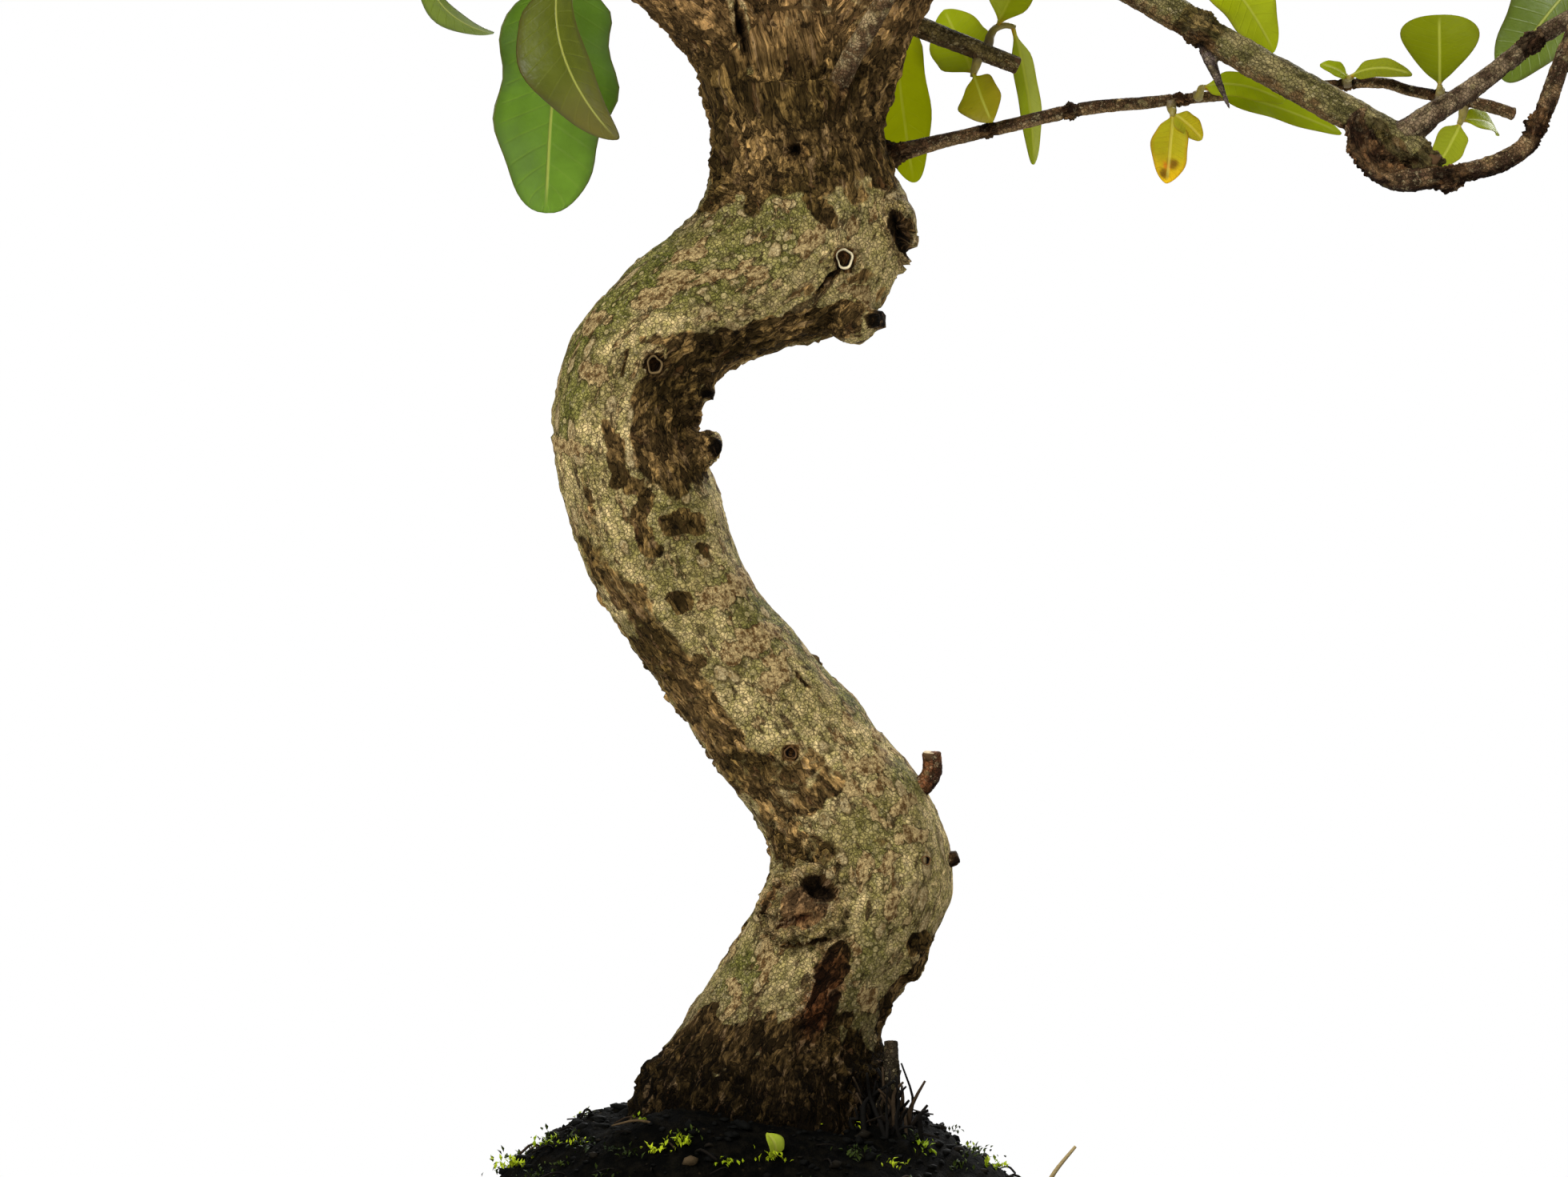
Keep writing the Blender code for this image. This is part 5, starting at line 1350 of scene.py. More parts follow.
        chips = nodes.bend(nodes.bend(course, 3.2, 3.4), 1.0, 1.9)
        chip = nodes.cells(chips, self.flake)[1]
        crack = nodes.dots(chips, self.flake, "DISTANCE_TO_EDGE").step(0.12, 0.01) * flaky
        torn = nodes.bend(nodes.stretch(course, (1.0, 1.0, 0.8)), 1.7, 1.9)
        shred = nodes.grain(torn, 0.8, 6.0, 0.74)
        stand = (0.24 * chip + 0.12 * slab + 0.30 * fibre + 0.72 * shred).step(0.51, 0.86)
        # Flakes and slivers are painted lighter where a flake stands high and darker where it lies low:
        # painted light and shade on the flakes
        lit = (1.0 - 0.80 * dark) * (0.24 + 1.26 * stand) + 0.75 * (stand * stand * stand)
        flake = nodes.blend(nodes.shade(paint, lit), (1.0, 0.80, 0.60, 1.0), 1.0, "MULTIPLY")
        sliver = nodes.grain(torn, 1.5, 3.0).step(0.585, 0.635) * (1.0 - 0.75 * dark)
        pale = nodes.blend(self.sliver_shaded, self.sliver_lit, stand)
        flake = nodes.blend(flake, pale, sliver * 0.75)
        # Pits among the flakes are painted near black: painted shade in the hollows
        pit = nodes.grain(bent, 1.5, 4.0, 0.66).step(0.43, 0.36)
        flake = nodes.blend(flake, self.pit_shade, pit * 0.72)
        tone = nodes.blend(tone, flake, flaky * (1.0 - 0.30 * limb))
        tone = nodes.blend(tone, self.crack_tint, crack * (0.30 + 0.35 * dark))
        bumps = 0.40 * grain + 0.14 * grit + 0.28 * fibre * ribbed + 0.36 * island + 0.24 * (spot + disc)
        bumps = bumps + 0.20 * mottle * bare - 0.18 * wrinkle
        bumps = bumps + flaky * (0.55 * stand + 0.20 * sliver - 0.30 * pit - 0.15)
        nodes.relief(bumps - 0.40 * crack - 0.20 * scar, self.depth)
        nodes.wear(base_color=tone, roughness=0.66 + 0.2 * flaky + 0.12 * grit, specular_ior_level=0.04)
        return nodes.material


@dataclass(frozen=True)
class LeafFinish:
    """A glossy leaf that lets some light through: a painted tint, a pale midrib, side veins, a dark edge."""

    name: str
    glow: Row
    through: float = 0.38
    gloss: float = 0.34
    sheen: float = 0.5
    veins: float = 13.0
    rib_tint: Row = solid(206, 206, 96)
    vein_tint: Row = solid(176, 184, 74)
    edge_tint: Row = solid(92, 70, 24)

    def make(self) -> bpy.types.Material:
        """Builds the finish.

        Returns:
            The finish.
        """
        nodes = FinishNodes(self.name)
        place = nodes.place()
        tint, half = nodes.attribute("tint")
        across, along, _ = nodes.axes(nodes.wire(nodes.add("ShaderNodeUVMap", {"uv_map": "blade"}, {})))
        across = abs(across * 2 - 1)
        from_rib = across * half * 10
        rib = from_rib.step(0.34, 0.10) * along.step(1.0, 0.86)
        phase = (along * self.veins - across * 1.4).fract()
        vein = abs(phase - 0.5).step(0.10, 0.0) * across.step(0.98, 0.80) * from_rib.step(0.15, 0.5)
        cloud = nodes.grain(place, 5.0, 4.0)
        fine = nodes.grain(place, 0.5, 3.0)
        tone = nodes.shade(tint, 0.50 + 0.90 * cloud + 0.14 * fine)
        tone = nodes.blend(tone, self.rib_tint, rib * 0.60)
        tone = nodes.blend(tone, self.vein_tint, vein * 0.07)
        tone = nodes.blend(tone, self.edge_tint, across.step(0.94, 0.99) * 0.5)
        nodes.relief(0.8 * cloud + 0.06 * fine + 0.22 * rib - 0.12 * vein, 0.40)
        nodes.wear(base_color=tone, roughness=self.gloss + 0.14 * cloud, specular_ior_level=self.sheen,
                   coat_weight=self.sheen * 0.3, coat_roughness=0.2)
        back = nodes.add("ShaderNodeBsdfTranslucent", {}, {"Color": (*self.glow, 1.0)})
        both = nodes.add("ShaderNodeMixShader", {}, {0: self.through})
        nodes.tree.links.new(nodes.shader.outputs[0], both.inputs[1])
        nodes.tree.links.new(back.outputs[0], both.inputs[2])
        nodes.tree.links.new(both.outputs[0], nodes.output.inputs["Surface"])
        return nodes.material


@dataclass(frozen=True)
class PeatFinish:
    """Dark crumbly peat with paler grit and short fibres."""

    name: str = "dark_peat"
    dark: Row = solid(3, 3, 2)
    light: Row = solid(22, 19, 12)
    grit: Row = solid(70, 58, 38)

    def make(self) -> bpy.types.Material:
        """Builds the finish.

        Returns:
            The finish.
        """
        nodes = FinishNodes(self.name)
        place = nodes.place()
        crumb = nodes.grain(place, 2.4, 8.0, 0.7)
        fine = nodes.grain(place, 0.6, 4.0)
        speck = nodes.dots(place, 1.7).step(0.20, 0.08) * nodes.grain(place, 5.0, 2.0).step(0.52, 0.66)
        tone = nodes.blend(self.dark, self.light, crumb.step(0.42, 0.72))
        tone = nodes.blend(tone, self.grit, speck * 0.5)
        nodes.relief(0.7 * crumb + 0.35 * fine, 1.3)
        nodes.wear(base_color=tone, roughness=0.80 + 0.15 * fine, specular_ior_level=0.04)
        return nodes.material


@dataclass(frozen=True)
class GrowthFinish:
    """Young stems, moss, dry stalks and debris: the painted tint with a fine grain."""

    name: str
    dull: float = 0.6
    uneven: float = 0.15
    size: float = 0.9
    depth: float = 0.2
    sheen: float = 0.08

    def make(self) -> bpy.types.Material:
        """Builds the finish.

        Returns:
            The finish.
        """
        nodes = FinishNodes(self.name)
        place = nodes.place()
        tint, _ = nodes.attribute("tint")
        grain = nodes.grain(place, self.size)
        nodes.relief(grain, self.depth)
        nodes.wear(base_color=nodes.shade(tint, 0.6 + 0.8 * grain), roughness=self.dull + self.uneven * grain,
                   specular_ior_level=self.sheen)
        return nodes.material


@dataclass(frozen=True)
class StonewareFinish:
    """Unglazed brown stoneware: speckled, clouded in two clay tones, faintly banded by the wheel."""

    name: str = "unglazed_stoneware"
    dark_clay: Row = solid(78, 54, 42)
    light_clay: Row = solid(96, 67, 51)
    dark_speck: Row = solid(38, 28, 24)
    light_speck: Row = solid(160, 132, 108)

    def make(self) -> bpy.types.Material:
        """Builds the finish.

        Returns:
            The finish.
        """
        nodes = FinishNodes(self.name)
        place = nodes.place()
        height = nodes.axes(place)[2]
        cloud = nodes.grain(place, 16.0, 4.0)
        clay = nodes.grain(place, 0.9, 5.0)
        dark = nodes.dots(place, 2.2).step(0.17, 0.09) * cloud.step(0.44, 0.56)
        light = nodes.dots(place, 3.1).step(0.12, 0.06)
        values = {"W": height * 420.0, "Detail": 3.0}
        band = nodes.wire(nodes.add("ShaderNodeTexNoise", {"noise_dimensions": "1D"}, values), "Fac")
        tone = nodes.blend(self.dark_clay, self.light_clay, cloud.step(0.25, 0.75))
        tone = nodes.shade(tone, 0.78 + 0.42 * clay)
        tone = nodes.blend(tone, self.dark_speck, dark * 0.75)
        tone = nodes.blend(tone, self.light_speck, light * 0.55)
        nodes.relief(0.4 * clay + 0.5 * band - 0.3 * dark, 0.35)
        nodes.wear(base_color=tone, roughness=0.62 + 0.18 * clay, specular_ior_level=0.35)
        return nodes.material


@dataclass(frozen=True)
class ScreenFinish:
    """Black plastic drain mesh, as a woven bump."""

    name: str = "drain_screen"
    hole: Row = solid(10, 10, 11)
    wire: Row = solid(46, 46, 48)

    def make(self) -> bpy.types.Material:
        """Builds the finish.

        Returns:
            The finish.
        """
        nodes = FinishNodes(self.name)
        place = nodes.place()
        weave = [abs((axis * 500.0).fract() - 0.5).step(0.20, 0.34) for axis in nodes.axes(place)[:2]]
        bars = weave[0].most(weave[1])
        tone = nodes.blend(self.hole, self.wire, bars)
        nodes.relief(bars, 0.5)
        nodes.wear(base_color=tone, roughness=0.5 + 0.2 * bars)
        return nodes.material


@dataclass(frozen=True)
class FloorFinish:
    """A plain pale studio floor."""

    name: str = "studio_floor"
    tint: Row = solid(226, 226, 224)

    def make(self) -> bpy.types.Material:
        """Builds the finish.

        Returns:
            The finish.
        """
        nodes = FinishNodes(self.name)
        nodes.wear(base_color=self.tint, roughness=0.85, specular_ior_level=0.2)
        return nodes.material


@dataclass(frozen=True)
class LeafLook:
    """What a leaf looks like beyond its place: its outline, its waves and its tints."""

    tint: Row
    edge_tint: Row = colour(120, 110, 30)
    fullness: float = 0.42
    wave: float = 0.05
    waves: float = 2.3
    fold: float = 0.16
    curl: float = 0.0
    # A paler, greyer colour for the left half of the fold: a painted sheen
    left_half_sheen: Row | None = None
    tip_tint: Row | None = None
    spots: tuple[Row, ...] = ()
    skew: float = 0.85


RED_STALK = colour(190, 84, 44)
BLACK_SPOT = colour(34, 22, 14)


@dataclass
class Leaf:
    """One leaf: an arched blade on a bent centre line, folded along its midrib."""

    base: np.ndarray
    knee: np.ndarray
    tip: np.ndarray
    side: np.ndarray
    width: float
    look: LeafLook
    across: int = 8
    along: int = 16
    thickness: float = 0.34
    stalk: float = 0.36
    rib_width: float = 0.45
    rib_under: float = 0.20
    rib_over: float = 0.04

    @staticmethod
    def laid(base: Row, tip: Row, width: float, facing: Row, arch: float, look: LeafLook) -> "Leaf":
        """Lays a leaf between two places.

        Args:
            base: Where it grows from.
            tip: Where it ends.
            width: Its widest.
            facing: The way its upper face looks.
            arch: How far its middle stands out, as a share of its length.
            look: Its outline and tints.

        Returns:
            The leaf, finely cut.
        """
        start, end = np.array(base, float), np.array(tip, float)
        way = unit(end - start)
        side = unit(np.cross(way, np.array(facing, float)))
        face = np.cross(side, way)
        knee = (start + end) / 2 + face * arch * np.linalg.norm(end - start) * 2
        return Leaf(start, knee, end, side, width, look, across=14, along=30)

    def outline(self, part: np.ndarray) -> np.ndarray:
        """The half width along the leaf, as a share of its widest."""
        body = np.sin(np.pi * np.clip(part, 0, 1) ** self.look.skew) ** (1 - self.look.fullness)
        return body * smoothstep(0.0, 0.24, part) ** 0.9

    def mesh(self) -> tuple[np.ndarray, list[tuple[int, ...]], np.ndarray, np.ndarray]:
        """Builds the blade.

        Returns:
            Its corners and faces, and the place of each corner across and along the leaf, with its tint.
        """
        part = 0.5 - 0.5 * np.cos(np.linspace(0, math.pi, self.along + 1))
        turn = np.arange(2 * self.across) * math.pi / self.across
        sweep = np.cos(turn)
        layer = np.sign(np.round(np.sin(turn), 9))
        centre = (np.outer((1 - part) ** 2, self.base) + np.outer(2 * part * (1 - part), self.knee)
                  + np.outer(part**2, self.tip))
        way = unit(np.outer(1 - part, self.knee - self.base) + np.outer(part, self.tip - self.knee))
        over = unit(np.cross(self.side[None], way))
        half = np.maximum(self.width / 2 * self.outline(part), self.stalk * (1 - part) ** 0.3)
        size = np.abs(sweep)[None]
        phase = 2 * math.pi * self.look.waves * part[:, None] + 1.7 * np.sign(sweep)[None]
        ripple = self.look.wave * half[:, None] * size**2 * np.sin(phase) * np.sin(np.pi * part)[:, None]
        lift = self.look.fold * np.maximum(half - self.stalk, 0)[:, None] * size**1.4 + ripple
        lift = lift + self.look.curl * half[:, None] * size**3
        edge = np.sqrt(np.clip(1 - sweep**2, 0, 1))[None]
        rib = np.exp(-((sweep[None] * half[:, None] / self.rib_width) ** 2)) * (0.9 - 0.6 * part[:, None])
        stands = self.rib_under * (layer[None] < 0) + self.rib_over * (layer[None] > 0)
        blade = self.thickness / 2 * edge + stands * rib
        stalk = np.exp(-((part / 0.09) ** 2))[:, None]
        thick = blade * (1 - stalk) + self.stalk * edge * stalk
        uneven = 1 + 0.9 * self.look.wave * np.sin(phase + 1.1) * np.sin(np.pi * part)[:, None]
        rings = (centre[:, None] + self.side * (half[:, None] * sweep[None] * uneven)[:, :, None]
                 + over[:, None] * (lift + thick * layer[None])[:, :, None])
        rings[0] = self.base
        rings[-1] = self.tip
        count = 2 * self.across
        points = np.vstack([rings[:1, 0], rings[1:-1].reshape(-1, 3), rings[-1:, 0]])
        faces = []
        last = len(points) - 1
        for k in range(count):
            after = (k + 1) % count
            faces.append((0, 1 + after, 1 + k))
            for row in range(self.along - 2):
                low, high = 1 + row * count, 1 + (row + 1) * count
                faces.append((low + k, low + after, high + after, high + k))
            faces.append((last, last - count + k, last - count + after))
        inner = np.stack([np.tile(0.5 + 0.5 * sweep, self.along - 1), np.repeat(part[1:-1], count)], axis=1)
        places = np.vstack([[(0.5, 0.0)], inner, [(0.5, 1.0)]])
        halves = np.concatenate([[0.0], np.repeat(half[1:-1], count), [0.0]])
        return points, faces, places, self.tints(places, halves)

    def tints(self, places: np.ndarray, half: np.ndarray) -> np.ndarray:
        """The leaf's colour at each corner, with the half width there in centimetres as a fourth number.

        Args:
            places: Where each corner is across and along the leaf.
            half: The half width at each.

        Returns:
            The colours, a row for each.
        """
        across, along = places[:, 0] * 2 - 1, places[:, 1]
        look = self.look
        tint = np.tile(np.array(look.tint), (len(places), 1))
        # The left half is painted paler: painted sheen
        if look.left_half_sheen:
            tint = mix(tint, look.left_half_sheen, smoothstep(0.05, -0.10, across))
        if look.tip_tint:
            tint = mix(tint, look.tip_tint, smoothstep(0.55, 1.0, along))
        tint = mix(tint, look.edge_tint, smoothstep(0.75, 1.0, np.abs(across)) * 0.55)
        length = np.linalg.norm(self.tip - self.base)
        for at_across, at_along, size, *shade in look.spots:
            gap = np.hypot((across - at_across) * half, (along - at_along) * length)
            tint = mix(tint, tuple(shade), smoothstep(size * 1.25, size * 0.6, gap))
        tint = mix(tint, RED_STALK, smoothstep(0.13, 0.02, along) * 0.9)
        return np.concatenate([tint, half[:, None] / 10], axis=1)


class LeafKind(Enum):
    """The three leaf finishes: full green, yellow-green against the light, and old yellow."""

    GREEN = LeafFinish("leaf_green_glossy", colour(150, 176, 20), 0.30, 0.33, 0.36)
    LIME = LeafFinish("leaf_lime_glossy", colour(208, 214, 8), 0.45, 0.40, 0.18)
    YELLOW = LeafFinish("leaf_yellow_old", colour(240, 206, 10), 0.42, 0.45, 0.15)


@dataclass
class Shoot:
    """A stem with its leaves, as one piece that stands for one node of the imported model."""

    node: str
    stem: np.ndarray
    leaves: list[Leaf]
    kind: LeafKind
    stem_tint: Row = colour(134, 120, 48)
    stem_sides: int = 8

    def build(self, bench: Bench, finishes: Finishes) -> bpy.types.Object:
        """Builds the stem and the leaves into one mesh.

        Args:
            bench: Where meshes are made.
            finishes: The finishes by kind.

        Returns:
            The piece, dressed.
        """
        strand = Strand(self.stem, 4)
        part = np.repeat(strand.along / strand.along[-1], self.stem_sides)
        tint = mix(colour(104, 88, 56), self.stem_tint, smoothstep(0.05, 0.5, part))
        bundle = Bundle()
        bundle.add_rings(strand.rings(self.stem_sides), np.insert(tint, 3, 0.1, axis=1))
        places = [np.full((len(part), 2), 0.5)]
        stem_faces = len(bundle.faces)
        for leaf in self.leaves:
            corners, faces, leaf_places, tints = leaf.mesh()
            bundle.add(corners, faces, tints)
            places.append(leaf_places)
        piece = bundle.make(bench, f"{self.node}_leaves")
        piece.data.materials.append(finishes["stem"])
        piece.data.materials.append(finishes[self.kind])
        slots = (np.arange(len(bundle.faces)) >= stem_faces).astype(np.int32)
        piece.data.polygons.foreach_set("material_index", slots)
        corner_of = np.empty(len(piece.data.loops), np.int32)
        piece.data.loops.foreach_get("vertex_index", corner_of)
        layer = piece.data.uv_layers.new(name="blade")
        layer.data.foreach_set("uv", np.vstack(places)[corner_of].ravel())
        return piece


GREEN_TINT = colour(92, 116, 34)
LIME_TINT = colour(152, 166, 18)

# Shoots in view: the leaves' finish, the stem's points, then the base, tip, width, facing, arch and look of
# each leaf
SEEN_SHOOTS = {
    "shoot_left_pair": (
        LeafKind.GREEN, ((-25.5, -12, 264.5), (-26.8, -12.8, 262.5), (-28, -13, 260)),
        ((-27.2, -12, 262.2), (-30.8, -6, 222.3), 18.5, (0.25, -1, 0.1), -0.06,
         LeafLook(colour(104, 140, 34), colour(60, 84, 22), 0.6, 0.12, 2.6, 0.14, skew=0.95,
                  spots=((0.2, 0.18, 0.8, *BLACK_SPOT), (-0.35, 0.42, 0.5, *BLACK_SPOT)))),
        ((-27.8, -13.5, 260.5), (-19.2, -18, 233), 15, (-0.75, -0.6, 0.15), 0.19,
         LeafLook(colour(92, 98, 12), colour(66, 52, 16), 0.4, 0.07, 1.8, 0.36, tip_tint=colour(110, 96, 22),
                  skew=0.72)),
    ),
    "shoot_left_curled": (
        LeafKind.GREEN, ((-46.2, -9.8, 280), (-47.8, -11, 274), (-49.2, -12, 267), (-49.6, -12.2, 262.5)),
        # This leaf's edge is painted near black: painted shade under its curled rim
        ((-49.5, -12.2, 263.5), (-38.7, -10, 250), 7.5, (-0.6, -0.45, -0.66), 0.22,
         LeafLook(colour(122, 138, 30), colour(40, 44, 18), 0.5, 0.08, 1.5, 0.3)),
        ((-48.5, -11.6, 270), (-64, -20, 262), 8.5, (-0.2, -0.6, 0.8), 0.1,
         LeafLook(GREEN_TINT, fullness=0.45)),
    ),
    "shoot_neck_back": (
        LeafKind.LIME, ((20.5, 12.5, 257.5), (23, 15.5, 257.2), (24, 17.2, 256)),
        ((23.8, 16.8, 256.5), (27, 19, 228.5), 9.8, (-0.35, -0.9, 0.1), 0.05,
         LeafLook(colour(150, 158, 14), colour(104, 100, 20), 0.5, 0.1, 2)),
    ),
    "shoot_stub_upper": (
        LeafKind.LIME, ((38.8, 10.8, 251.2), (39.6, 11.8, 252.4), (41.2, 12.6, 253), (42.8, 13, 252.7)),
        ((39.8, 11.9, 252.5), (44.6, 7, 269), 9.2, (-0.4, -0.8, 0.45), -0.1,
         LeafLook(colour(132, 146, 30), left_half_sheen=colour(156, 164, 76))),
        ((42.4, 12.9, 252.8), (45.8, 16.5, 231.2), 4.6, (0.55, -0.8, 0.1), 0.05,
         LeafLook(colour(146, 160, 34), left_half_sheen=colour(170, 174, 96), fullness=0.5)),
    ),
    "shoot_stub_lower": (
        LeafKind.LIME, ((36.6, 8.2, 246.8), (36.2, 8.4, 245.5), (36, 8.6, 244.5)),
        ((36.1, 8.5, 245.2), (38.8, 2, 237), 7.4, (-0.3, -0.9, -0.1), 0.03,
         LeafLook(colour(146, 124, 26), colour(100, 62, 22), 0.3, 0.12, 1.5, 0.3, skew=1.3)),
        ((36.1, 8.8, 245), (31.8, 22.5, 256.2), 9.8, (-0.3, -0.85, 0.4), -0.05, LeafLook(LIME_TINT)),
    ),
    "shoot_branch": (
        LeafKind.LIME, ((65, -8.5, 257.8), (68, -6, 261), (71.6, -4, 264)),
        ((70.6, -4.5, 263.2), (82.6, -2, 247.6), 10, (0.2, -0.9, 0.4), 0.1,
         LeafLook(colour(168, 178, 14), wave=0.09)),
        ((69, -5.5, 261.9), (80, -10, 277), 9, (-0.35, -0.7, 0.6), -0.08, LeafLook(LIME_TINT)),
    ),
    "shoot_twig_yellow": (
        LeafKind.YELLOW, ((67.2, 3.6, 239.6), (67.2, 2.8, 238.8), (67.1, 2.2, 237.8)),
        ((67.1, 2.7, 238.6), (65.9, -1.5, 227.2), 6, (0.1, -0.95, 0.1), 0.04,
         LeafLook(colour(152, 164, 30), colour(160, 110, 30), 0.4, 0.1, 1.6, 0.2,
                  tip_tint=colour(232, 196, 20), skew=1.15, spots=((-0.25, 0.74, 0.95, *BLACK_SPOT),
                  (0.3, 0.88, 0.85, *BLACK_SPOT), (0.15, 0.78, 0.6, *colour(206, 110, 34))))),
        ((67.1, 2.5, 238.3), (71.6, 2, 234.2), 4, (0.3, -0.9, 0.3), 0.1,
         LeafLook(colour(160, 168, 34), fullness=0.5)),
    ),
    "shoot_twig_middle": (
        LeafKind.LIME, ((71.2, 4.4, 242), (71.6, 3, 242.3), (72.2, 1.8, 242.4)),
        ((71.7, 2.6, 242.4), (84.2, -3, 239.8), 5.6, (-0.05, -0.8, 0.6), 0.14,
         LeafLook(colour(164, 178, 20), fullness=0.5)),
        ((71.9, 2.2, 242.4), (93.6, 3, 235.2), 5.6, (0.1, -0.8, 0.6), 0.04,
         LeafLook(colour(156, 170, 24), wave=0.08)),
    ),
    "shoot_twig_far": (
        LeafKind.LIME, ((94.6, 5.4, 243.7), (94.8, 4, 244), (95.2, 2.8, 244.1)),
        ((94.9, 3.4, 244.1), (104.4, 0, 244.2), 4.4, (-0.1, -0.75, 0.65), 0.16,
         LeafLook(colour(122, 126, 30))),
        ((94.7, 4, 244), (90.2, 3, 246), 3.4, (0.15, -0.75, 0.65), 0.12, LeafLook(LIME_TINT)),
    ),
    "shoot_twig_upright": (
        LeafKind.LIME, ((109, 2.2, 241.5), (108.8, 0.8, 241.9), (108.7, -0.2, 242.5)),
        ((108.7, 0, 242.3), (109.6, 11, 254.5), 12.5, (-0.1, -0.8, 0.55), -0.1,
         LeafLook(colour(100, 108, 6), colour(74, 78, 14), 0.55, 0.06, 1.3, 0.16, skew=2.6)),
    ),
    "shoot_twig_under": (
        LeafKind.LIME, ((112.8, 4, 239), (112.6, 4.3, 237.8), (112.2, 4.6, 236.8)),
        ((112.4, 4.5, 237.2), (108.6, 6, 230), 5.2, (0.3, -0.9, 0.2), 0.08, LeafLook(colour(128, 134, 36))),
        ((112.4, 4.5, 237.4), (118.8, 11, 235.6), 4.6, (0.1, -0.8, 0.6), 0.16, LeafLook(LIME_TINT)),
    ),
    "shoot_dark": (
        LeafKind.GREEN, ((134.5, -2.8, 258.2), (134.2, -1.2, 260.8), (133.8, 0.6, 263.5)),
        ((133.9, 0.2, 262.7), (119.2, 7, 244), 13.5, (-0.25, -0.85, 0.45), 0.06,
         LeafLook(colour(100, 114, 36), colour(60, 54, 26), 0.5, 0.08, 2)),
        ((134.1, -0.8, 261.5), (149, 13.5, 254), 11, (0.35, -0.6, 0.7), 0.1, LeafLook(GREEN_TINT)),
    ),
}


def seen_shoots(bark: BVHTree) -> list[Shoot]:
    """The shoots in view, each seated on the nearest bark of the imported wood.

    Args:
        bark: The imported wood, in millimetres.

    Returns:
        The shoots.
    """
    shoots = []
    for node, (kind, stem, *leaves) in SEEN_SHOOTS.items():
        hit, normal = bark.find_nearest(Vector(stem[0]))[:2]
        outer = [np.array(point) for point in stem if (Vector(point) - hit).length > 1.6]
        line = [np.array(hit - normal * 0.6), np.array(hit + normal * 1.0), *outer]
        rows = [(*point, 0.85 - 0.40 * k / (len(line) - 1)) for k, point in enumerate(line)]
        laid = [Leaf.laid(*leaf) for leaf in leaves]
        shoots.append(Shoot(node, np.array(rows), laid, kind))
    return shoots


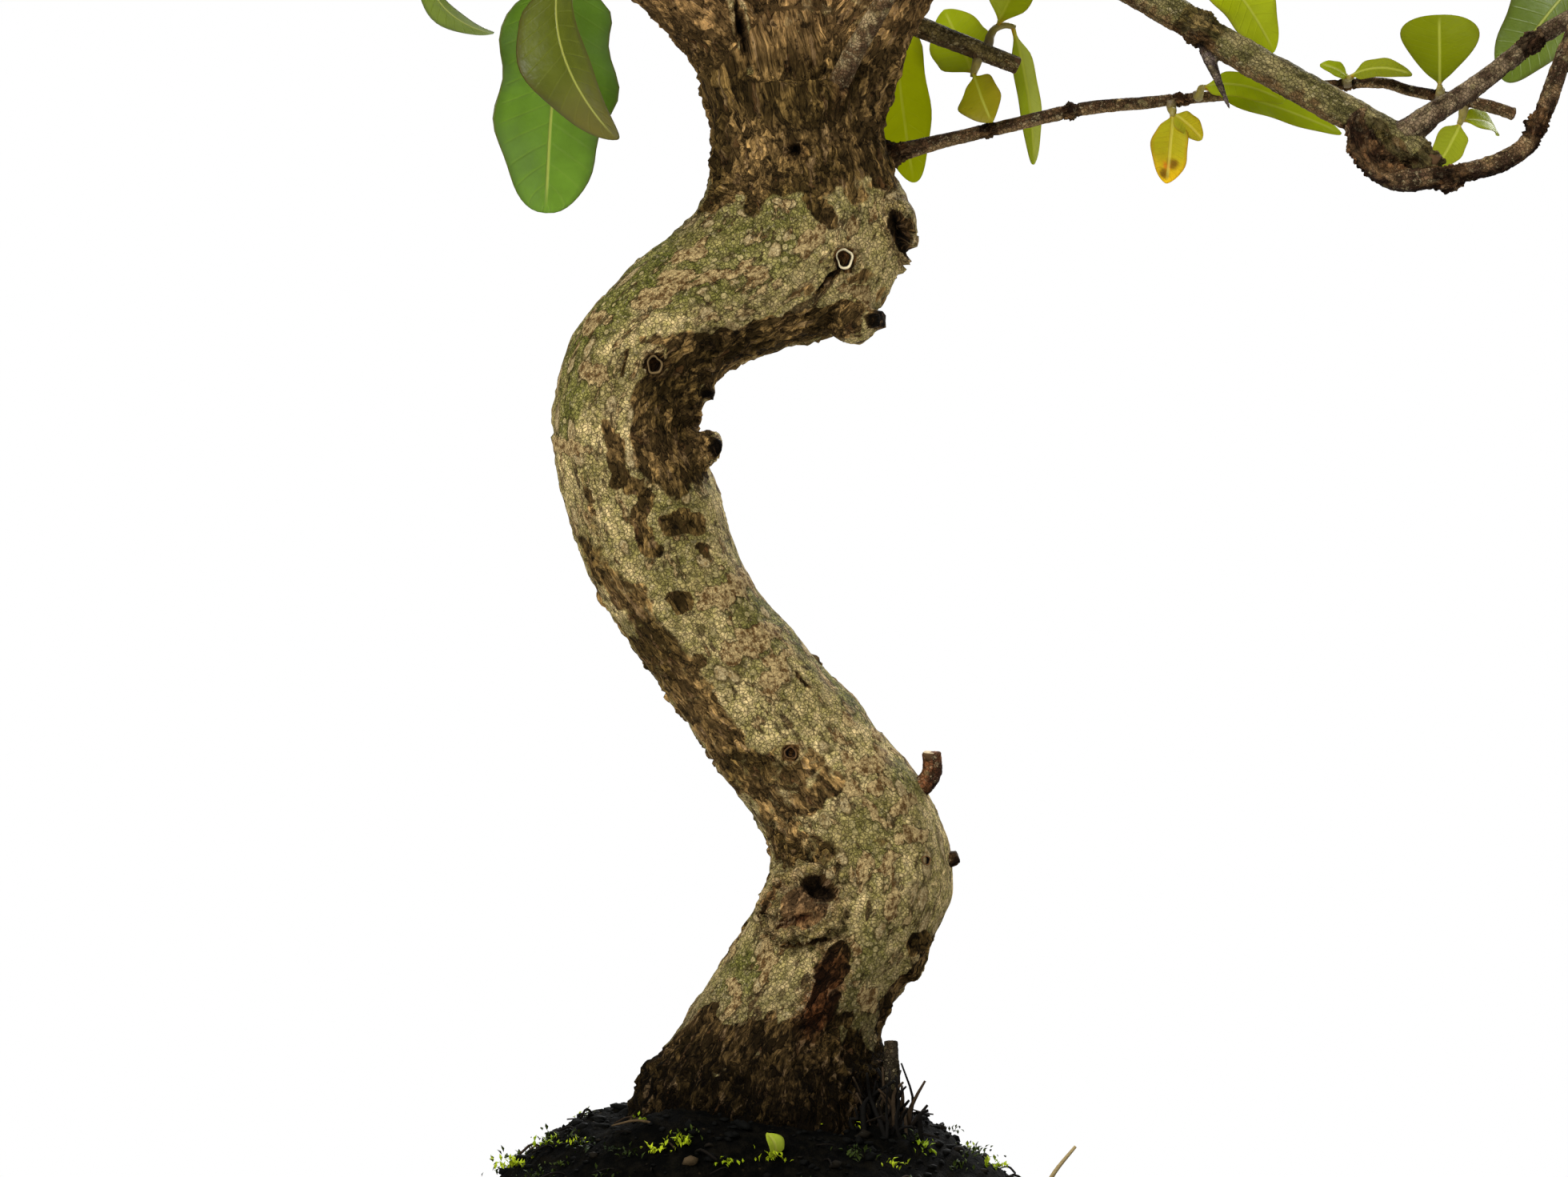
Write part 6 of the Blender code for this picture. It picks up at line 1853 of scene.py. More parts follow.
class CrownReader:
    """Reads where a crown shoot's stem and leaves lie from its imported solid, to draw them finer in place."""

    RING_PARTS = (0.30, 0.68)
    OUTLINE_FULLNESS = 0.25
    RING_REACH = 1.95
    STEM_TINTS = (colour(134, 120, 48), colour(150, 112, 52), colour(120, 124, 44))

    def __init__(self, bench: Bench, bark: BVHTree, draw: random.Random) -> None:
        """Keeps the bench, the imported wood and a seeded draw.

        Args:
            bench: Where meshes are made.
            bark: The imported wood.
            draw: The seeded draw.
        """
        self.bench = bench
        self.bark = bark
        self.draw = draw

    def read(self, node: str) -> Shoot:
        """Reads one packed shoot.

        Args:
            node: Its name.

        Returns:
            The shoot, with finely cut leaves.
        """
        shape = bmesh.new()
        shape.from_mesh(bpy.data.objects[node].data)
        bmesh.ops.remove_doubles(shape, verts=shape.verts, dist=1e-6)
        shape.verts.index_update()
        self.places = self.bench.millimetres(np.array([tuple(vertex.co) for vertex in shape.verts]))
        near = {vert.index: {edge.other_vert(vert).index for edge in vert.link_edges} for vert in shape.verts}
        shape.free()
        leaves = []
        used: set[int] = set()
        for tip in range(len(self.places)):
            found = self.leaf_at(tip, near)
            if found:
                leaves.append(found[0])
                used |= found[1]
        rings = [self.places[ring] for ring in self.stem_rings([k for k in near if k not in used], near)]
        centres = np.array([ring.mean(axis=0) for ring in rings])
        radii = [np.linalg.norm(ring - centre, axis=1).mean() for ring, centre in zip(rings, centres)]
        away = unit(centres[0] - centres[1])
        rows = [(*(centres[0] + away * 0.9), radii[0]), *((*c, 0.92 * r) for c, r in zip(centres, radii))]
        return Shoot(node, np.array(rows), leaves, self.kind(), self.draw.choice(self.STEM_TINTS), 6)

    def leaf_at(self, tip: int, near: dict[int, set[int]]) -> tuple[Leaf, set[int]] | None:
        """Reads the leaf whose tip is a corner, if it is one.

        Args:
            tip: The corner.
            near: The corners joined to each corner.

        Returns:
            The leaf with its corners, or None.
        """
        outer = list(near[tip])
        if len(outer) != 4:
            return None
        gaps = self.places[outer] - self.places[tip]
        if np.linalg.norm(gaps, axis=1).min() < 4 or (unit(gaps) @ unit(gaps).T).min() < 0.2:
            return None
        edges = [k for k in outer if len(near[k]) == 4]
        ribs = [k for k in outer if k not in edges]
        if len(edges) != 2:
            return None
        inner_edges = [next(iter(near[k] - set(outer) - {tip})) for k in edges]
        inner_ribs = list((near[inner_edges[0]] & near[inner_edges[1]]) - set(ribs))
        inner = set(inner_edges) | set(inner_ribs)
        corners = set().union(*(near[k] for k in inner)) - inner - set(outer)
        base = self.places[list(corners)].mean(axis=0)
        end = self.places[tip]
        middle = self.places[inner_ribs].mean(axis=0)
        first, second = self.RING_PARTS[0], 1 - self.RING_PARTS[0]
        knee = (middle - second**2 * base - first**2 * end) / (2 * first * second)
        left, right = self.places[edges[0]], self.places[edges[1]]
        side = unit(right - left)
        late = self.RING_PARTS[1]
        way = unit((knee - base) * (1 - late) + (end - knee) * late)
        lift = (left + right) / 2 - self.places[ribs].mean(axis=0)
        if np.cross(side, way) @ lift < 0:
            side = -side
        outline = math.sin(math.pi * late**0.85) ** (1 - self.OUTLINE_FULLNESS)
        width = np.linalg.norm(right - left) / outline
        return Leaf(base, knee, end, side, width, self.look(), 5, 13), inner | set(outer) | {tip}

    def stem_rings(self, left: list[int], near: dict[int, set[int]]) -> list[list[int]]:
        """Sorts the corners of a stem into its rings, from the bark outward.

        Args:
            left: The stem's corners.
            near: The corners joined to each corner.

        Returns:
            The rings.
        """
        by_bark = sorted(left, key=lambda k: self.bark.find_nearest(Vector(self.places[k]))[3])
        for start in by_bark:
            gaps = np.linalg.norm(self.places[left] - self.places[start], axis=1)
            ring = [k for k, gap in zip(left, gaps) if gap < self.RING_REACH]
            rings, seen = [ring], set(ring)
            while len(rings[-1]) == 4:
                after = sorted({k for corner in rings[-1] for k in near[corner] if k in left} - seen)
                if not after:
                    break
                rings.append(after)
                seen |= set(after)
            if all(len(each) == 4 for each in rings) and len(seen) == len(left):
                return rings
        raise ValueError("a crown stem's rings can't be told apart")

    def kind(self) -> LeafKind:
        """Most crown shoots are full green, the others lime."""
        return LeafKind.GREEN if self.draw.random() < 0.62 else LeafKind.LIME

    def look(self) -> LeafLook:
        """Draws how a crown leaf looks.

        Returns:
            The look.
        """
        shade = np.array([self.draw.random()])
        tint = tuple(mix(np.array([colour(74, 104, 30)]), np.array(colour(132, 140, 34)), shade)[0])
        ranges = ((0.24, 0.34), (0.03, 0.11), (1.4, 2.8), (-0.05, 0.12))
        fullness, wave, waves, curl = (self.draw.uniform(*ends) for ends in ranges)
        return LeafLook(tint, colour(104, 92, 30), fullness, wave, waves, curl=curl)


# Soil rings from the pot's wall to the trunk's foot: half width, half depth and height
SOIL_RINGS = (
    (78.5, 54.5, 56.5), (74, 52, 58.8), (63, 47.5, 62), (50.5, 41, 66.2), (40.5, 34.5, 71.8),
    (32.5, 28.5, 77.4), (26.2, 23.8, 81.3), (15, 13, 83), (1, 1, 83.6),
)
# The share of crumbs up to each tint
CRUMB_TINTS = ((0.84, colour(7, 7, 5)), (0.98, colour(24, 20, 13)), (1.0, colour(76, 62, 42)))
SOIL_BUMPS = ((1.1, 3, 0.060), (0.7, 7, -0.090))


@dataclass
class PeatMound:
    """The peat in the pot, mounded round the trunk, with its crumbs and fibres."""

    bench: Bench
    around: int = 220
    steps: int = 11
    crumb_count: int = 1500
    fibre_count: int = 150
    floor: float = 13.3
    corner: float = 17.0
    sunk: float = 0.4
    seed: int = 411

    def __post_init__(self) -> None:
        """Seeds the draw and lays the mound's profile."""
        self.draw = random.Random(self.seed)
        low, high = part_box("soil")
        reach = (np.array(high) - np.array(low)) / 2 / MM
        rings = [(reach[0] - 0.05, reach[1] - 0.05, SOIL_RINGS[0][2]), *SOIL_RINGS[1:]]
        self.profile = smooth_path(rings, self.steps)

    def surface(self, angle: np.ndarray, part: float | np.ndarray) -> np.ndarray:
        """Places on the mound, before its crumbs.

        Args:
            angle: Round the pot, in radians.
            part: How far in from the wall, 0 to 1.

        Returns:
            The places.
        """
        row = np.asarray(part) * (len(self.profile) - 1)
        known = np.arange(len(self.profile))
        half_x, half_y, height = (np.interp(row, known, self.profile[:, k]) for k in range(3))
        x, y = half_x * np.cos(angle), half_y * np.sin(angle)
        turn = np.arctan2(y, x)
        bump = sum(size * np.sin(many * turn + shift * half_x) for size, many, shift in SOIL_BUMPS)
        bump = bump * smoothstep(0.0, 0.12, np.asarray(part)) * smoothstep(4, 14, half_x)
        return np.stack([x, y, height + bump], axis=-1)

    @staticmethod
    def crumbs(points: np.ndarray) -> np.ndarray:
        """How far the peat's crumbs stand up at places on it.

        Args:
            points: The places.

        Returns:
            The heights, in millimetres.
        """
        near, _, number = cells(points, 2.6, 7.0)
        small = cells(points, 1.2, 19.0)[0]
        return 0.9 * fractal(points, 7.0, 2.0) + 0.9 * (0.55 - near) * (0.4 + number) + 0.35 * (0.5 - small)

    def build(self) -> bpy.types.Object:
        """Builds the mound as one closed skin.

        Returns:
            The piece.
        """
        rows = np.linspace(0, 1, len(self.profile) - 2)
        rings = [self.surface(turns(self.around), part) for part in rows]
        low, mid = rings[0] * (0.935, 0.925, 1.0), rings[0] * (0.955, 0.945, 1.0)
        low[:, 2], mid[:, 2] = self.floor, self.corner
        points = np.vstack([low, mid, *rings])
        top = points[2 * self.around:]
        inside = np.repeat(smoothstep(0.0, 0.06, rows), self.around)
        top[:, 2] += self.crumbs(top) * inside - self.sunk
        LOG.info("peat_mound: %d corners", len(points))
        return self.bench.make("peat_mound", points, skin_faces(len(rings) + 2, self.around))

    def scattered(self, least: float = 0.05, most: float = 0.86) -> tuple[np.ndarray, float]:
        """A random place on the mound, and the angle round the pot there.

        Args:
            least: The least share of the way in from the wall.
            most: The greatest share.

        Returns:
            The place and the angle.
        """
        angle = self.draw.uniform(0, 2 * math.pi)
        part = self.draw.uniform(least, most) ** 1.15
        place = self.surface(np.array([angle]), part)
        place[0, 2] += self.crumbs(place)[0] - self.sunk
        return place[0], angle

    def build_crumbs(self) -> bpy.types.Object:
        """Scatters lumps of peat and grit over the mound, each a small lump of its own.

        Returns:
            The piece.
        """
        corners, faces = ball(1)
        lumps = Bundle()
        for _ in range(self.crumb_count):
            place, _ = self.scattered()
            size = 0.35 + 1.05 * self.draw.random() ** 2.6
            stretch = np.array([self.draw.uniform(0.6, 1.3) * share for share in (1.0, 1.0, 0.6)]) * size
            jitter = np.array([[self.draw.uniform(0.6, 1.3)] for _ in corners])
            turn = self.draw.uniform(0, math.pi)
            cos, sin = math.cos(turn), math.sin(turn)
            spin = np.array(((cos, -sin, 0), (sin, cos, 0), (0, 0, 1)))
            light = self.draw.random()
            tint = next(shade for most, shade in CRUMB_TINTS if light < most)
            lumps.add((corners * stretch * jitter) @ spin.T + place + (0, 0, 0.12 * size), faces, tint)
        return lumps.make(self.bench, "peat_crumbs")

    def build_fibres(self) -> bpy.types.Object:
        """Lays short fibres, rootlets and chips of bark over the mound.

        Returns:
            The piece.
        """
        tints = (colour(46, 35, 23), colour(20, 16, 11), colour(20, 16, 11), colour(84, 68, 46))
        fibres = Bundle()
        for _ in range(self.fibre_count):
            place, _ = self.scattered(0.02, 0.80)
            turn = self.draw.uniform(0, 2 * math.pi)
            half = self.draw.uniform(2.5, 9.0) / 2
            way = np.array((math.cos(turn), math.sin(turn), 0.0))
            bow = np.array((-way[1], way[0], 0.0)) * self.draw.uniform(-1.5, 1.5)
            rise = np.array((0, 0, self.draw.uniform(0.3, 1.8)))
            radius = self.draw.uniform(0.10, 0.26)
            rows = [(*(place - way * half + (0, 0, 0.1)), radius), (*(place + bow + rise), radius),
                    (*(place + way * half + (0, 0, 0.3)), radius * 0.6)]
            fibres.add_rings(Strand(rows, 3).rings(4), self.draw.choice(tints))
        return fibres.make(self.bench, "peat_fibres")


# Moss in view: the picture point, how long its leaflets are in millimetres and how many it has
MOSS_IN_VIEW = (
    (1030, 1398, 3, 70), (1008, 1410, 2.4, 36), (1052, 1410, 2.4, 34), (850, 1434, 2.4, 36),
    (822, 1442, 2, 22), (1093, 1328, 1.8, 26), (1080, 1312, 1.4, 12), (740, 1392, 2, 22),
    (640, 1462, 2.6, 40), (573, 1466, 2.8, 60), (600, 1466, 2.2, 34), (690, 1434, 2, 22),
    (905, 1458, 2, 22), (1160, 1444, 1.8, 16), (800, 1404, 1.6, 14), (1240, 1462, 2, 22),
    (966, 1452, 2.2, 30), (1120, 1462, 2, 18),
)
DRY_STALK_SEEN, FALLEN_LEAF_SEEN = (1296, 1466), (968, 1442)
# The faces of a leaflet: its foot is corner 0, its tip corner 5 and its middle the four between
LEAFLET_FACES = ((0, 2, 1), (0, 3, 2), (0, 4, 3), (0, 1, 4), (5, 1, 2), (5, 2, 3), (5, 3, 4), (5, 4, 1))


@dataclass
class Growth:
    """Moss sprigs, a dry stalk and debris that lie on the peat where they show in view."""

    bench: Bench
    ground: BVHTree
    seed: int = 77
    hidden_tufts: int = 190
    dead_twigs: int = 60

    def __post_init__(self) -> None:
        """Seeds the draw."""
        self.draw = random.Random(self.seed)

    def ground_at(self, x: float, y: float) -> np.ndarray | None:
        """Where the sight line through a picture point meets the peat."""
        hit = self.ground.ray_cast(Vector(EYE), Vector(sight_line(x, y)))[0]
        return np.array(hit) if hit else None

    def sprig(self, place: np.ndarray, size: float, leaves: int) -> tuple[np.ndarray, list[tuple[int, ...]]]:
        """A tuft of small pointed leaflets round a place.

        Args:
            place: Its foot.
            size: How long its leaflets are.
            leaves: How many it has.

        Returns:
            Its corners and faces.
        """
        tuft = Bundle()
        for _ in range(leaves):
            turn = self.draw.uniform(0, 2 * math.pi)
            tilt = self.draw.uniform(0.15, 1.15)
            way = np.array((math.cos(turn) * math.sin(tilt), math.sin(turn) * math.sin(tilt), math.cos(tilt)))
            side = unit(np.cross(way, (0.0, 0.0, 1.0)))
            over = np.cross(side, way)
            length = 0.55 * size * self.draw.uniform(0.5, 1.2)
            width = length * 0.24
            x, y, z = (self.draw.gauss(0, spread) for spread in (0.62, 0.5, 0.3))
            foot = place + np.array((x, y, abs(z))) * size
            mid = foot + way * length * 0.5 + over * length * 0.08
            tip = foot + way * length - over * length * 0.10
            right, out = side * width, over * width
            corners = [foot, mid - right, mid + out * 0.5, mid + right, mid - out * 0.3, tip]
            tuft.add(np.array(corners), LEAFLET_FACES)
        return np.vstack(tuft.points), tuft.faces

    def build_moss(self, mound: PeatMound) -> bpy.types.Object:
        """Grows the moss: the sprigs in view, and others round the rest of the mound.

        Args:
            mound: The mound, for places out of view.

        Returns:
            The piece.
        """
        bright, dim = (colour(118, 140, 14), colour(186, 200, 36)), (colour(26, 36, 12), colour(58, 70, 20))
        tufts = [(self.ground_at(x, y), size, count, bright) for x, y, size, count in MOSS_IN_VIEW]
        for index in range(self.hidden_tufts):
            place, angle = mound.scattered(0.02, 0.72)
            in_view = -2.5 < angle - 2 * math.pi < -0.6
            shades = bright if index % 3 == 0 and not in_view else dim
            tufts.append((place, self.draw.uniform(1.2, 2.6), self.draw.randint(10, 24), shades))
        moss = Bundle()
        for place, size, count, (dark, light) in tufts:
            if place is not None:
                corners, faces = self.sprig(place, size, count)
                tint = mix(np.array([dark]), np.array(light), np.array([self.draw.random()]))[0]
                moss.add(corners, faces, tint)
        return moss.make(self.bench, "moss_sprigs", smooth=False)

    def build_debris(self) -> bpy.types.Object:
        """Lays the dry stalk and the bundle of dead twigs by the trunk.

        Returns:
            The piece.
        """
        foot = self.ground_at(*DRY_STALK_SEEN)
        foot = foot if foot is not None else np.array((46.0, -8.0, 70.0))
        stalk = [(*(foot + rise), radius) for rise, radius in (
            ((0, 0, -0.6), 0.42), ((2.2, -1, 3.6), 0.36), ((5.4, -1.5, 7.6), 0.26),
        )]
        tints = (colour(26, 21, 15), colour(14, 12, 9), colour(14, 12, 9), colour(58, 46, 32))
        debris = Bundle()
        debris.add_rings(Strand(stalk, 5).rings(7), colour(168, 148, 104))
        for _ in range(self.dead_twigs):
            low = np.array((20.5 + self.draw.uniform(-3.5, 5.5), -11.5 + self.draw.uniform(-4, 3), 77.0))
            lean = np.array([self.draw.uniform(*ends) for ends in ((-3.5, 3.0), (-1.5, 2.5), (4, 13))])
            radius = self.draw.uniform(0.16, 0.46)
            kinks = [np.array([self.draw.gauss(0, 0.8) for _ in range(3)]) for _ in range(3)]
            rows = [(*(low - (0, 0, 2.5)), radius)]
            for kink, part, thin in zip(kinks, (0.35, 0.7, 1.0), (1.1, 0.8, 0.5)):
                rows.append((*(low + lean * part + kink), radius * thin))
            debris.add_rings(Strand(rows, 3).rings(7), self.draw.choice(tints))
        return debris.make(self.bench, "ground_debris")

    def fallen_leaf(self) -> Shoot:
        """The small bright curled leaf that stands out of the peat.

        Returns:
            The leaf on its short stem.
        """
        place = self.ground_at(*FALLEN_LEAF_SEEN)
        look = LeafLook(colour(186, 202, 60), colour(120, 136, 40), 0.3, 0.1, 1.2, 0.5)
        base, tip = tuple(place - (0, 0, 0.5)), tuple(place + (-1.2, -0.8, 3.2))
        leaf = Leaf.laid(base, tip, 3.4, (0.5, -0.8, 0.4), 0.22, look)
        stem = np.array([(*(place - (0, 0, 1.0)), 0.3), (*place, 0.28), (*(place + (-0.2, 0, 0.4)), 0.22)])
        return Shoot("fallen", stem, [leaf], LeafKind.LIME)


# The pot's wall: how far in from the rim, then the height, from under the floor over the rim and down inside
POT_PROFILE = (
    (14.5, 8), (13.2, 8.25), (12, 9), (11, 11), (9.6, 20), (8.1, 30), (6.7, 40), (5.8, 47.5), (5.5, 50),
    (4.9, 50.8), (2.4, 51.2), (1.2, 51.8), (0.75, 52.8), (0.2, 55.5), (0, 57.5), (0, 59.6), (0.25, 60.8),
    (0.8, 61.6), (1.8, 62), (5.6, 61.95), (7.6, 61.85), (8.5, 61.2), (9, 60), (10.9, 47), (13.4, 30),
    (15.9, 16.5), (17, 14.4), (20.5, 13),
)
RIM_HALF = (94.5, 70.5)
FEET = ((-55, -36), (-55, 36), (55, -36), (55, 36))
# The lights: name, place, width and power
LIGHTS = (
    ("key_light", (-620, -760, 900), 620, 16.0), ("fill_light", (820, -700, 380), 700, 2.6),
    ("back_light", (340, 800, 760), 600, 15.0),
)


@dataclass
class OvalPot:
    """The oval pot: a leaning wall with a band under its rim, on four feet with rounded edges."""

    bench: Bench
    around: int = 144
    drain_x: float = 36.0
    drain_radius: float = 7.0
    drain_reach: float = 18.0
    foot_middle: float = 6.4
    sharp: float = 38.0
    foot_size: tuple[float, float, float] = (30.0, 14.0, 12.8)
    foot_edge: float = 2.6

    def build(self) -> bpy.types.Object:
        """Draws the wall, joins the feet and drills the drain holes.

        Returns:
            The piece.
        """
        pot = self.wall()
        for x, y in FEET:
            self.join(pot, self.foot(x, y), "UNION")
        for side in (-1, 1):
            place = (side * self.drain_x, 0, self.drain_reach / 2)
            drain = self.bench.primitive("cylinder", "drain", place, vertices=48,
                                         radius=self.drain_radius * MM, depth=self.drain_reach * MM)
            self.join(pot, drain, "DIFFERENCE")
        pot.data.shade_smooth()
        pot.data.set_sharp_from_angle(angle=math.radians(self.sharp))
        return pot

    def wall(self) -> bpy.types.Object:
        """Draws an oval plate up the outside, over the rim and down the inside, ring by ring.

        Returns:
            The closed wall and bottom.
        """
        halves = [np.array(RIM_HALF) - inset for inset, _ in POT_PROFILE]
        heights = [height for _, height in POT_PROFILE]
        place = (0.0, 0.0, heights[0])
        pot = self.bench.primitive("circle", "oval_pot", place, vertices=self.around,
                                   radius=halves[0][0] * MM, fill_type="NGON")
        middle = tuple(self.bench.metres(np.array(place)))
        bpy.ops.object.mode_set(mode="EDIT")
        bpy.ops.mesh.select_all(action="SELECT")
        bpy.ops.transform.resize(value=(1, halves[0][1] / halves[0][0], 1), center_override=middle)
        for index in range(1, len(POT_PROFILE)):
            rise = (heights[index] - heights[index - 1]) * MM
            bpy.ops.mesh.extrude_region_move(TRANSFORM_OT_translate={"value": (0, 0, rise)})
            growth = halves[index] / halves[index - 1]
            bpy.ops.transform.resize(value=(*growth, 1), center_override=middle)
        bpy.ops.mesh.select_all(action="SELECT")
        bpy.ops.mesh.normals_make_consistent(inside=False)
        bpy.ops.object.mode_set(mode="OBJECT")
        return pot

    def foot(self, x: float, y: float) -> bpy.types.Object:
        """A block under the pot, turned to follow the oval, its edges and corners rounded.

        Args:
            x: How far to the right it stands.
            y: How far to the back.

        Returns:
            The block.
        """
        slope = math.atan2(-x * RIM_HALF[1] ** 2, y * RIM_HALF[0] ** 2)
        size = tuple(side * MM for side in self.foot_size)
        place = (x, y, self.foot_middle)
        foot = self.bench.primitive("cube", "foot", place, size=1, rotation=(0, 0, slope), scale=size)
        self.bench.finish(foot, "BEVEL", width=self.foot_edge * MM, segments=4)
        return foot

    def join(self, pot: bpy.types.Object, tool: bpy.types.Object, operation: str) -> None:
        """Joins a tool's shape to the pot or cuts it away, and removes the tool."""
        self.bench.finish(pot, "BOOLEAN", operation=operation, object=tool, solver="EXACT")
        bpy.data.objects.remove(tool)


@dataclass
class Studio:
    """A pale floor, plain soft light and the camera at the photograph's viewing angle."""

    bench: Bench
    floor_radius: float = 640.0
    camera_width: float = 245.0
    floor_thickness: float = 6.0
    world_light: float = 0.26
    lights_aim: float = 190.0

    def build(self) -> None:
        """Lays the floor, hangs the lights and places the camera."""
        self.lay_floor()
        self.light_world()
        for light in LIGHTS:
            self.hang(*light)
        self.place_camera()

    def lay_floor(self) -> None:
        """A round floor, its rim rolled down."""
        middle = (0.0, 0.0, -self.floor_thickness / 2)
        floor = self.bench.primitive("cylinder", "studio_floor", middle, vertices=96,
                                     radius=self.floor_radius * MM, depth=self.floor_thickness * MM)
        self.bench.finish(floor, "BEVEL", width=0.002, segments=3)
        floor.data.materials.append(FloorFinish().make())

    def light_world(self) -> None:
        """A white room: full white to the eye, dimmer as a light."""
        world = bpy.data.worlds.new("white_room")
        world.use_nodes = True
        tree = world.node_tree
        ground, dim = tree.nodes["Background"], tree.nodes.new("ShaderNodeBackground")
        for node, strength in ((ground, 1.0), (dim, self.world_light)):
            node.inputs["Color"].default_value = (1, 1, 1, 1)
            node.inputs["Strength"].default_value = strength
        path = tree.nodes.new("ShaderNodeLightPath")
        both = tree.nodes.new("ShaderNodeMixShader")
        tree.links.new(path.outputs["Is Camera Ray"], both.inputs[0])
        tree.links.new(dim.outputs[0], both.inputs[1])
        tree.links.new(ground.outputs[0], both.inputs[2])
        tree.links.new(both.outputs[0], tree.nodes["World Output"].inputs["Surface"])
        bpy.context.scene.world = world
        bpy.context.scene.view_settings.view_transform = "Standard"

    def hang(self, name: str, place: Row, size: float, power: float) -> None:
        """Hangs a soft square light that looks at the tree.

        Args:
            name: Its name.
            place: Where it hangs.
            size: How wide it is.
            power: Its power in watts.
        """
        lamp = bpy.data.lights.new(name, "AREA")
        lamp.shape = "SQUARE"
        lamp.size = size * MM
        lamp.energy = power
        made = bpy.data.objects.new(name, lamp)
        made.location = self.bench.metres(np.array(place, float))
        aim = Vector(self.bench.metres(np.array((0.0, 0.0, self.lights_aim)))) - made.location
        made.rotation_euler = aim.to_track_quat("-Z", "Y").to_euler()
        bpy.context.scene.collection.objects.link(made)

    def place_camera(self) -> None:
        """A long lens level with the middle of the trunk."""
        lens = bpy.data.cameras.new("camera")
        lens.sensor_width = SENSOR_WIDTH
        lens.lens = SENSOR_WIDTH * -EYE[1] / self.camera_width
        lens.clip_start = 0.05
        made = bpy.data.objects.new("camera", lens)
        made.location = self.bench.metres(EYE)
        made.rotation_euler = (math.pi / 2, 0, 0)
        bpy.context.scene.collection.objects.link(made)
        bpy.context.scene.camera = made


def settle(piece: bpy.types.Object, finish: bpy.types.Material | None, slot: str, *nodes: str) -> None:
    """Gives a piece its finish and its body, and hides the imported nodes that it stands for.

    Args:
        piece: The piece.
        finish: Its finish, if it has none yet.
        slot: Not used.
        nodes: The nodes.
    """
    if finish:
        piece.data.materials.clear()
        piece.data.materials.append(finish)
    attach(piece, "root")
    if nodes:
        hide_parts(*nodes)
    LOG.info("%s: %d faces", piece.name, len(piece.data.polygons))


def build_wood(bench: Bench) -> None:
    """Builds all the bark.

    Args:
        bench: Where meshes are made.
    """
    bark = BarkFinish().make()
    pieces = (
        BarkPiece("bark_trunk", bench, ARMS | ROOTS, BURRS, voxel=0.72, rounds=4, sides=28, trunk=True),
        BarkPiece("bark_branch", bench, BRANCHES, KNUCKLES, voxel=0.30, rounds=5, sides=20, depth=0.36),
        BarkPiece("bark_twigs", bench, TWIGS, JOINT_RINGS, voxel=0.24, rounds=4, sides=16, depth=0.20),
        BarkPiece("bark_crown", bench, CROWN_LIMBS, (), voxel=0.46, rounds=5, sides=16, depth=0.42),
    )
    for piece in pieces:
        made = piece.build()
        settle(made, bark, "bark", "wood")
        if piece.trunk:
            settle(build_cut_ends(bench, made), GrowthFinish("cut_wood", 0.7).make(), "bark", "wood")


# Rings of a cut end from its foot to its middle: radius and height as shares of its radius, and which tint
HOLLOW_END = (
    (0.75, -0.95, 0), (0.98, -0.35, 0), (1.03, 0.14, 0), (0.98, 0.32, 1), (0.9, 0.36, 1), (0.8, 0.22, 1),
    (0.74, -0.1, 2), (0.66, -0.42, 2), (0.05, -0.46, 2),
)
FLAT_END = (
    (0.9, -0.8, 0), (1, -0.15, 0), (1, 0.02, 0), (0.93, 0.1, 1), (0.6, 0.12, 1), (0.22, 0.08, 1),
    (0.05, 0.04, 2),
)
# Healed twig holes on the front: the picture point, the radius, how tall each is and its rim
HEALED_HOLES = (
    (1055, 323, 1.35, 1.22, colour(216, 202, 164)), (818, 456, 1.20, 1.22, colour(112, 92, 60)),
    (988, 941, 1.00, 0.95, colour(96, 70, 42)), (1157, 1075, 0.75, 1.0, colour(110, 82, 50)),
)
CUT_TWIGS = (
    (TWIGS["stub_trunk"], colour(196, 176, 140)), (TWIGS["stub_right"], colour(120, 98, 66)),
    (TWIGS["twig"], colour(112, 100, 84)), (BRANCHES["branch_right"], colour(52, 40, 28)),
)


@dataclass(frozen=True)
class CutEnd:
    """The end of a cut twig: a pale ring round a hollow painted near black as its shade, or a flat pale cut
    where it isn't hollow.
    """

    middle: Vector
    way: Vector
    radius: float
    rim: Row
    tall: float = 1.0
    hollow: bool = False
    sides: int = 22

    def add_to(self, bundle: Bundle) -> None:
        """Adds its rings, a little uneven, with their tints.

        Args:
            bundle: The mesh's parts so far.
        """
        # The hollow's inside is painted near black: painted shade in the hole
        tints = (colour(84, 62, 40), self.rim, colour(14, 10, 7) if self.hollow else colour(110, 82, 52))
        rows = HOLLOW_END if self.hollow else FLAT_END
        axis = self.way.normalized()
        up = Vector((0, 0, 1)) - axis * axis.z if abs(axis.z) < 0.9 else axis.orthogonal()
        up = up.normalized()
        angles = turns(self.sides)
        uneven = 1 + 0.08 * np.sin(3 * angles + 9 * self.radius) + 0.05 * np.sin(5 * angles)
        uneven = uneven + 0.06 * np.sin(2 * angles)
        across = np.outer(np.cos(angles), axis.cross(up)) + np.outer(np.sin(angles) * self.tall, up)
        across = across * uneven[:, None]
        rings = [np.array(self.middle) + (across * share + np.array(axis) * lift) * self.radius
                 for share, lift, _ in rows]
        shades = [np.tile((*tints[row[2]], 1.0), (self.sides, 1)) for row in rows]
        bundle.add_rings(np.array(rings), np.vstack(shades))


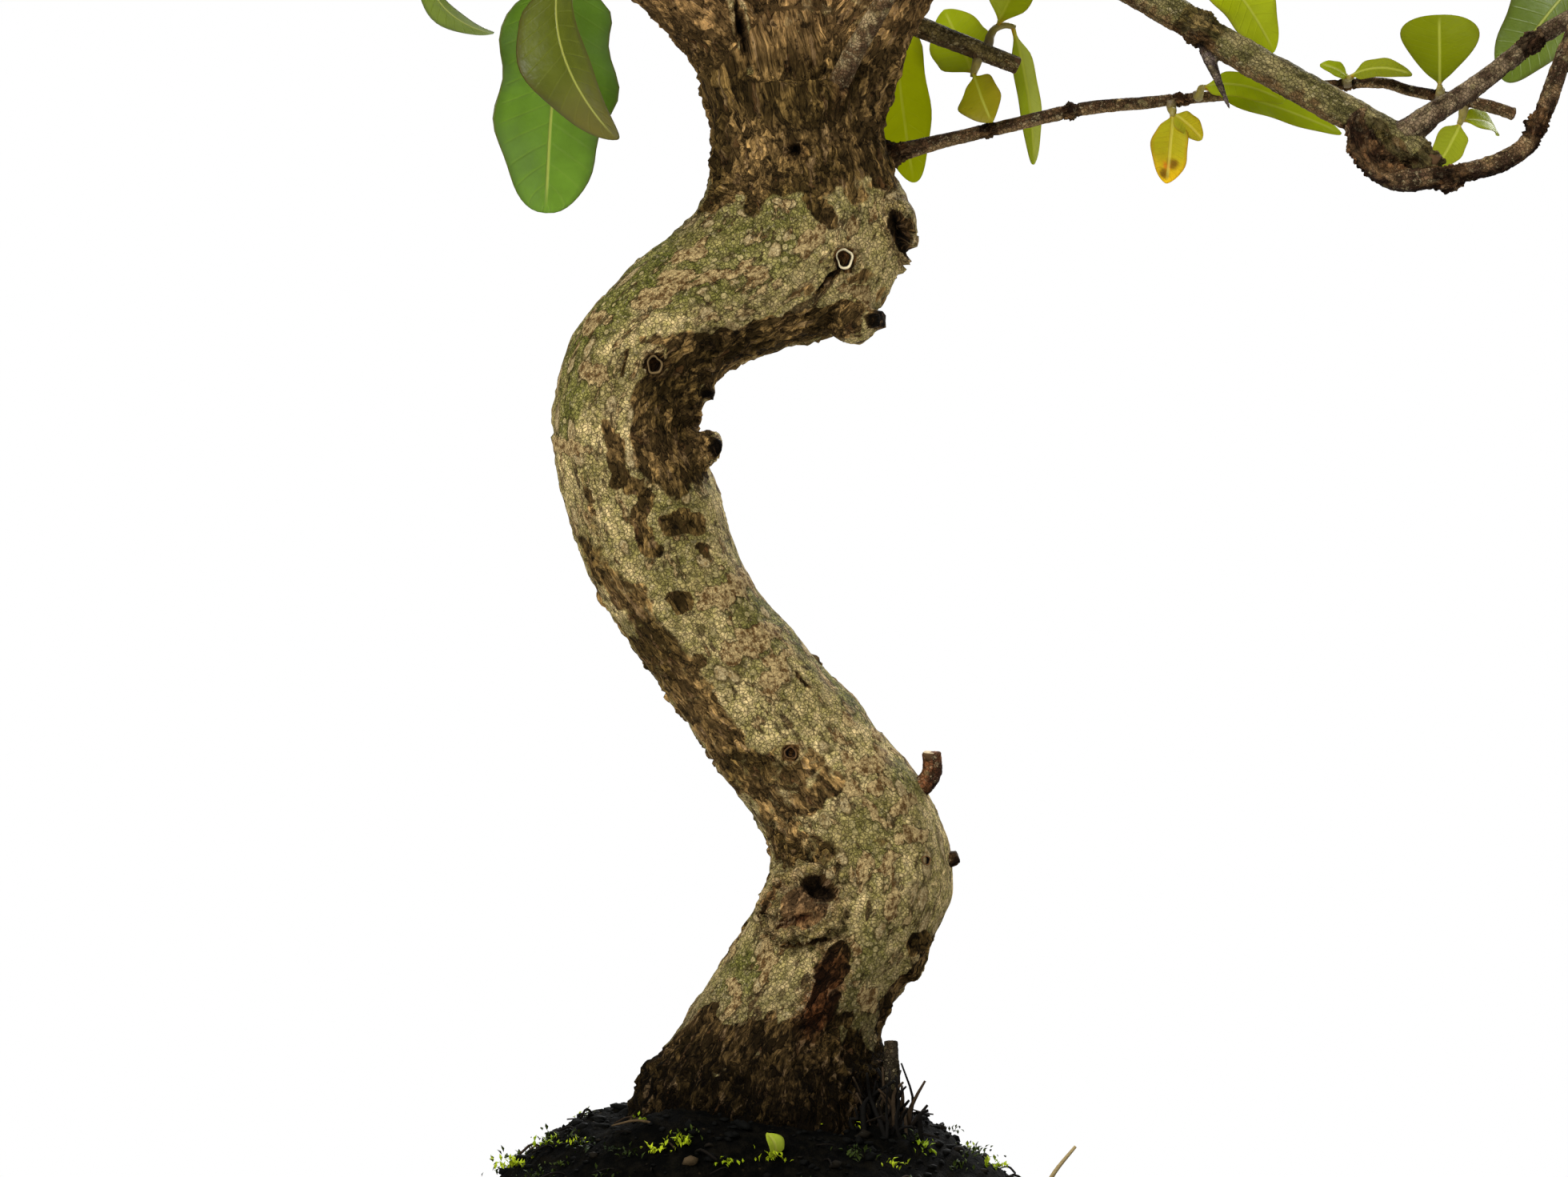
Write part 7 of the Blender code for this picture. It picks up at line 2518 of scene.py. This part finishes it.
def build_cut_ends(bench: Bench, trunk: bpy.types.Object) -> bpy.types.Object:
    """Sets the healed twig holes on the trunk's front and the cut ends of the stubs.

    Args:
        bench: Where meshes are made.
        trunk: The trunk's bark, on which the holes sit.

    Returns:
        The piece.
    """
    tree = bench.tree(trunk)
    bundle = Bundle()
    for x, y, radius, tall, rim in HEALED_HOLES:
        hit, normal = tree.ray_cast(Vector(EYE), Vector(sight_line(x, y)))[:2]
        way = (normal + Vector((0.0, -1.4, 0.0))).normalized()
        CutEnd(hit + way * 0.25, way, radius, rim, tall, True).add_to(bundle)
    for rows, rim in CUT_TWIGS:
        last = Vector(rows[-1][:3])
        way = (last - Vector(rows[-2][:3])).normalized()
        CutEnd(last - way * 0.15, way, rows[-1][3] * 0.97, rim).add_to(bundle)
    return bundle.make(bench, "cut_twig_ends")


def build_shoots(bench: Bench) -> Finishes:
    """Builds all the leafy shoots, and returns their finishes.

    Args:
        bench: Where meshes are made.

    Returns:
        The finishes by kind.
    """
    bark = bench.tree(bpy.data.objects["wood"])
    finishes: Finishes = {kind: kind.value.make() for kind in LeafKind}
    finishes["stem"] = GrowthFinish("young_stem", 0.45, 0.2, 0.8, 0.25, 0.5).make()
    reader = CrownReader(bench, bark, random.Random(95))
    shoots = seen_shoots(bark)
    shoots += [reader.read(node) for node in sorted(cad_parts) if node.startswith("shoot_crown")]
    for shoot in shoots:
        slot = "leaf_yellow" if shoot.kind is LeafKind.YELLOW else "leaf_green"
        settle(shoot.build(bench, finishes), None, slot, shoot.node)
    return finishes


def build_ground(bench: Bench, finishes: Finishes) -> None:
    """Builds the peat, what lies and grows on it, the pot and the drain meshes' finish.

    Args:
        bench: Where meshes are made.
        finishes: The finishes of the shoots, by kind.
    """
    moss = GrowthFinish("moss_green", 0.5).make()
    litter = GrowthFinish("dry_litter", 0.75).make()
    mound = PeatMound(bench)
    top = mound.build()
    settle(top, PeatFinish().make(), "peat", "soil")
    settle(mound.build_crumbs(), litter, "peat")
    settle(mound.build_fibres(), litter, "peat")
    growth = Growth(bench, bench.tree(top))
    settle(growth.build_moss(mound), moss, "leaf_green")
    settle(growth.build_debris(), litter, "bark")
    settle(growth.fallen_leaf().build(bench, finishes), None, "leaf_green")
    settle(OvalPot(bench).build(), StonewareFinish().make(), "stoneware", "pot")
    screen = ScreenFinish().make()
    for node in ("drain_mesh_left", "drain_mesh_right"):
        for held in bpy.data.objects[node].material_slots:
            held.material = screen


def main() -> None:
    """Builds the tree, its pot and the studio, in order."""
    logging.basicConfig(level=logging.INFO, format="%(message)s")
    bench = Bench()
    build_wood(bench)
    build_ground(bench, build_shoots(bench))
    Studio(bench).build()


if __name__ == "__main__":
    main()
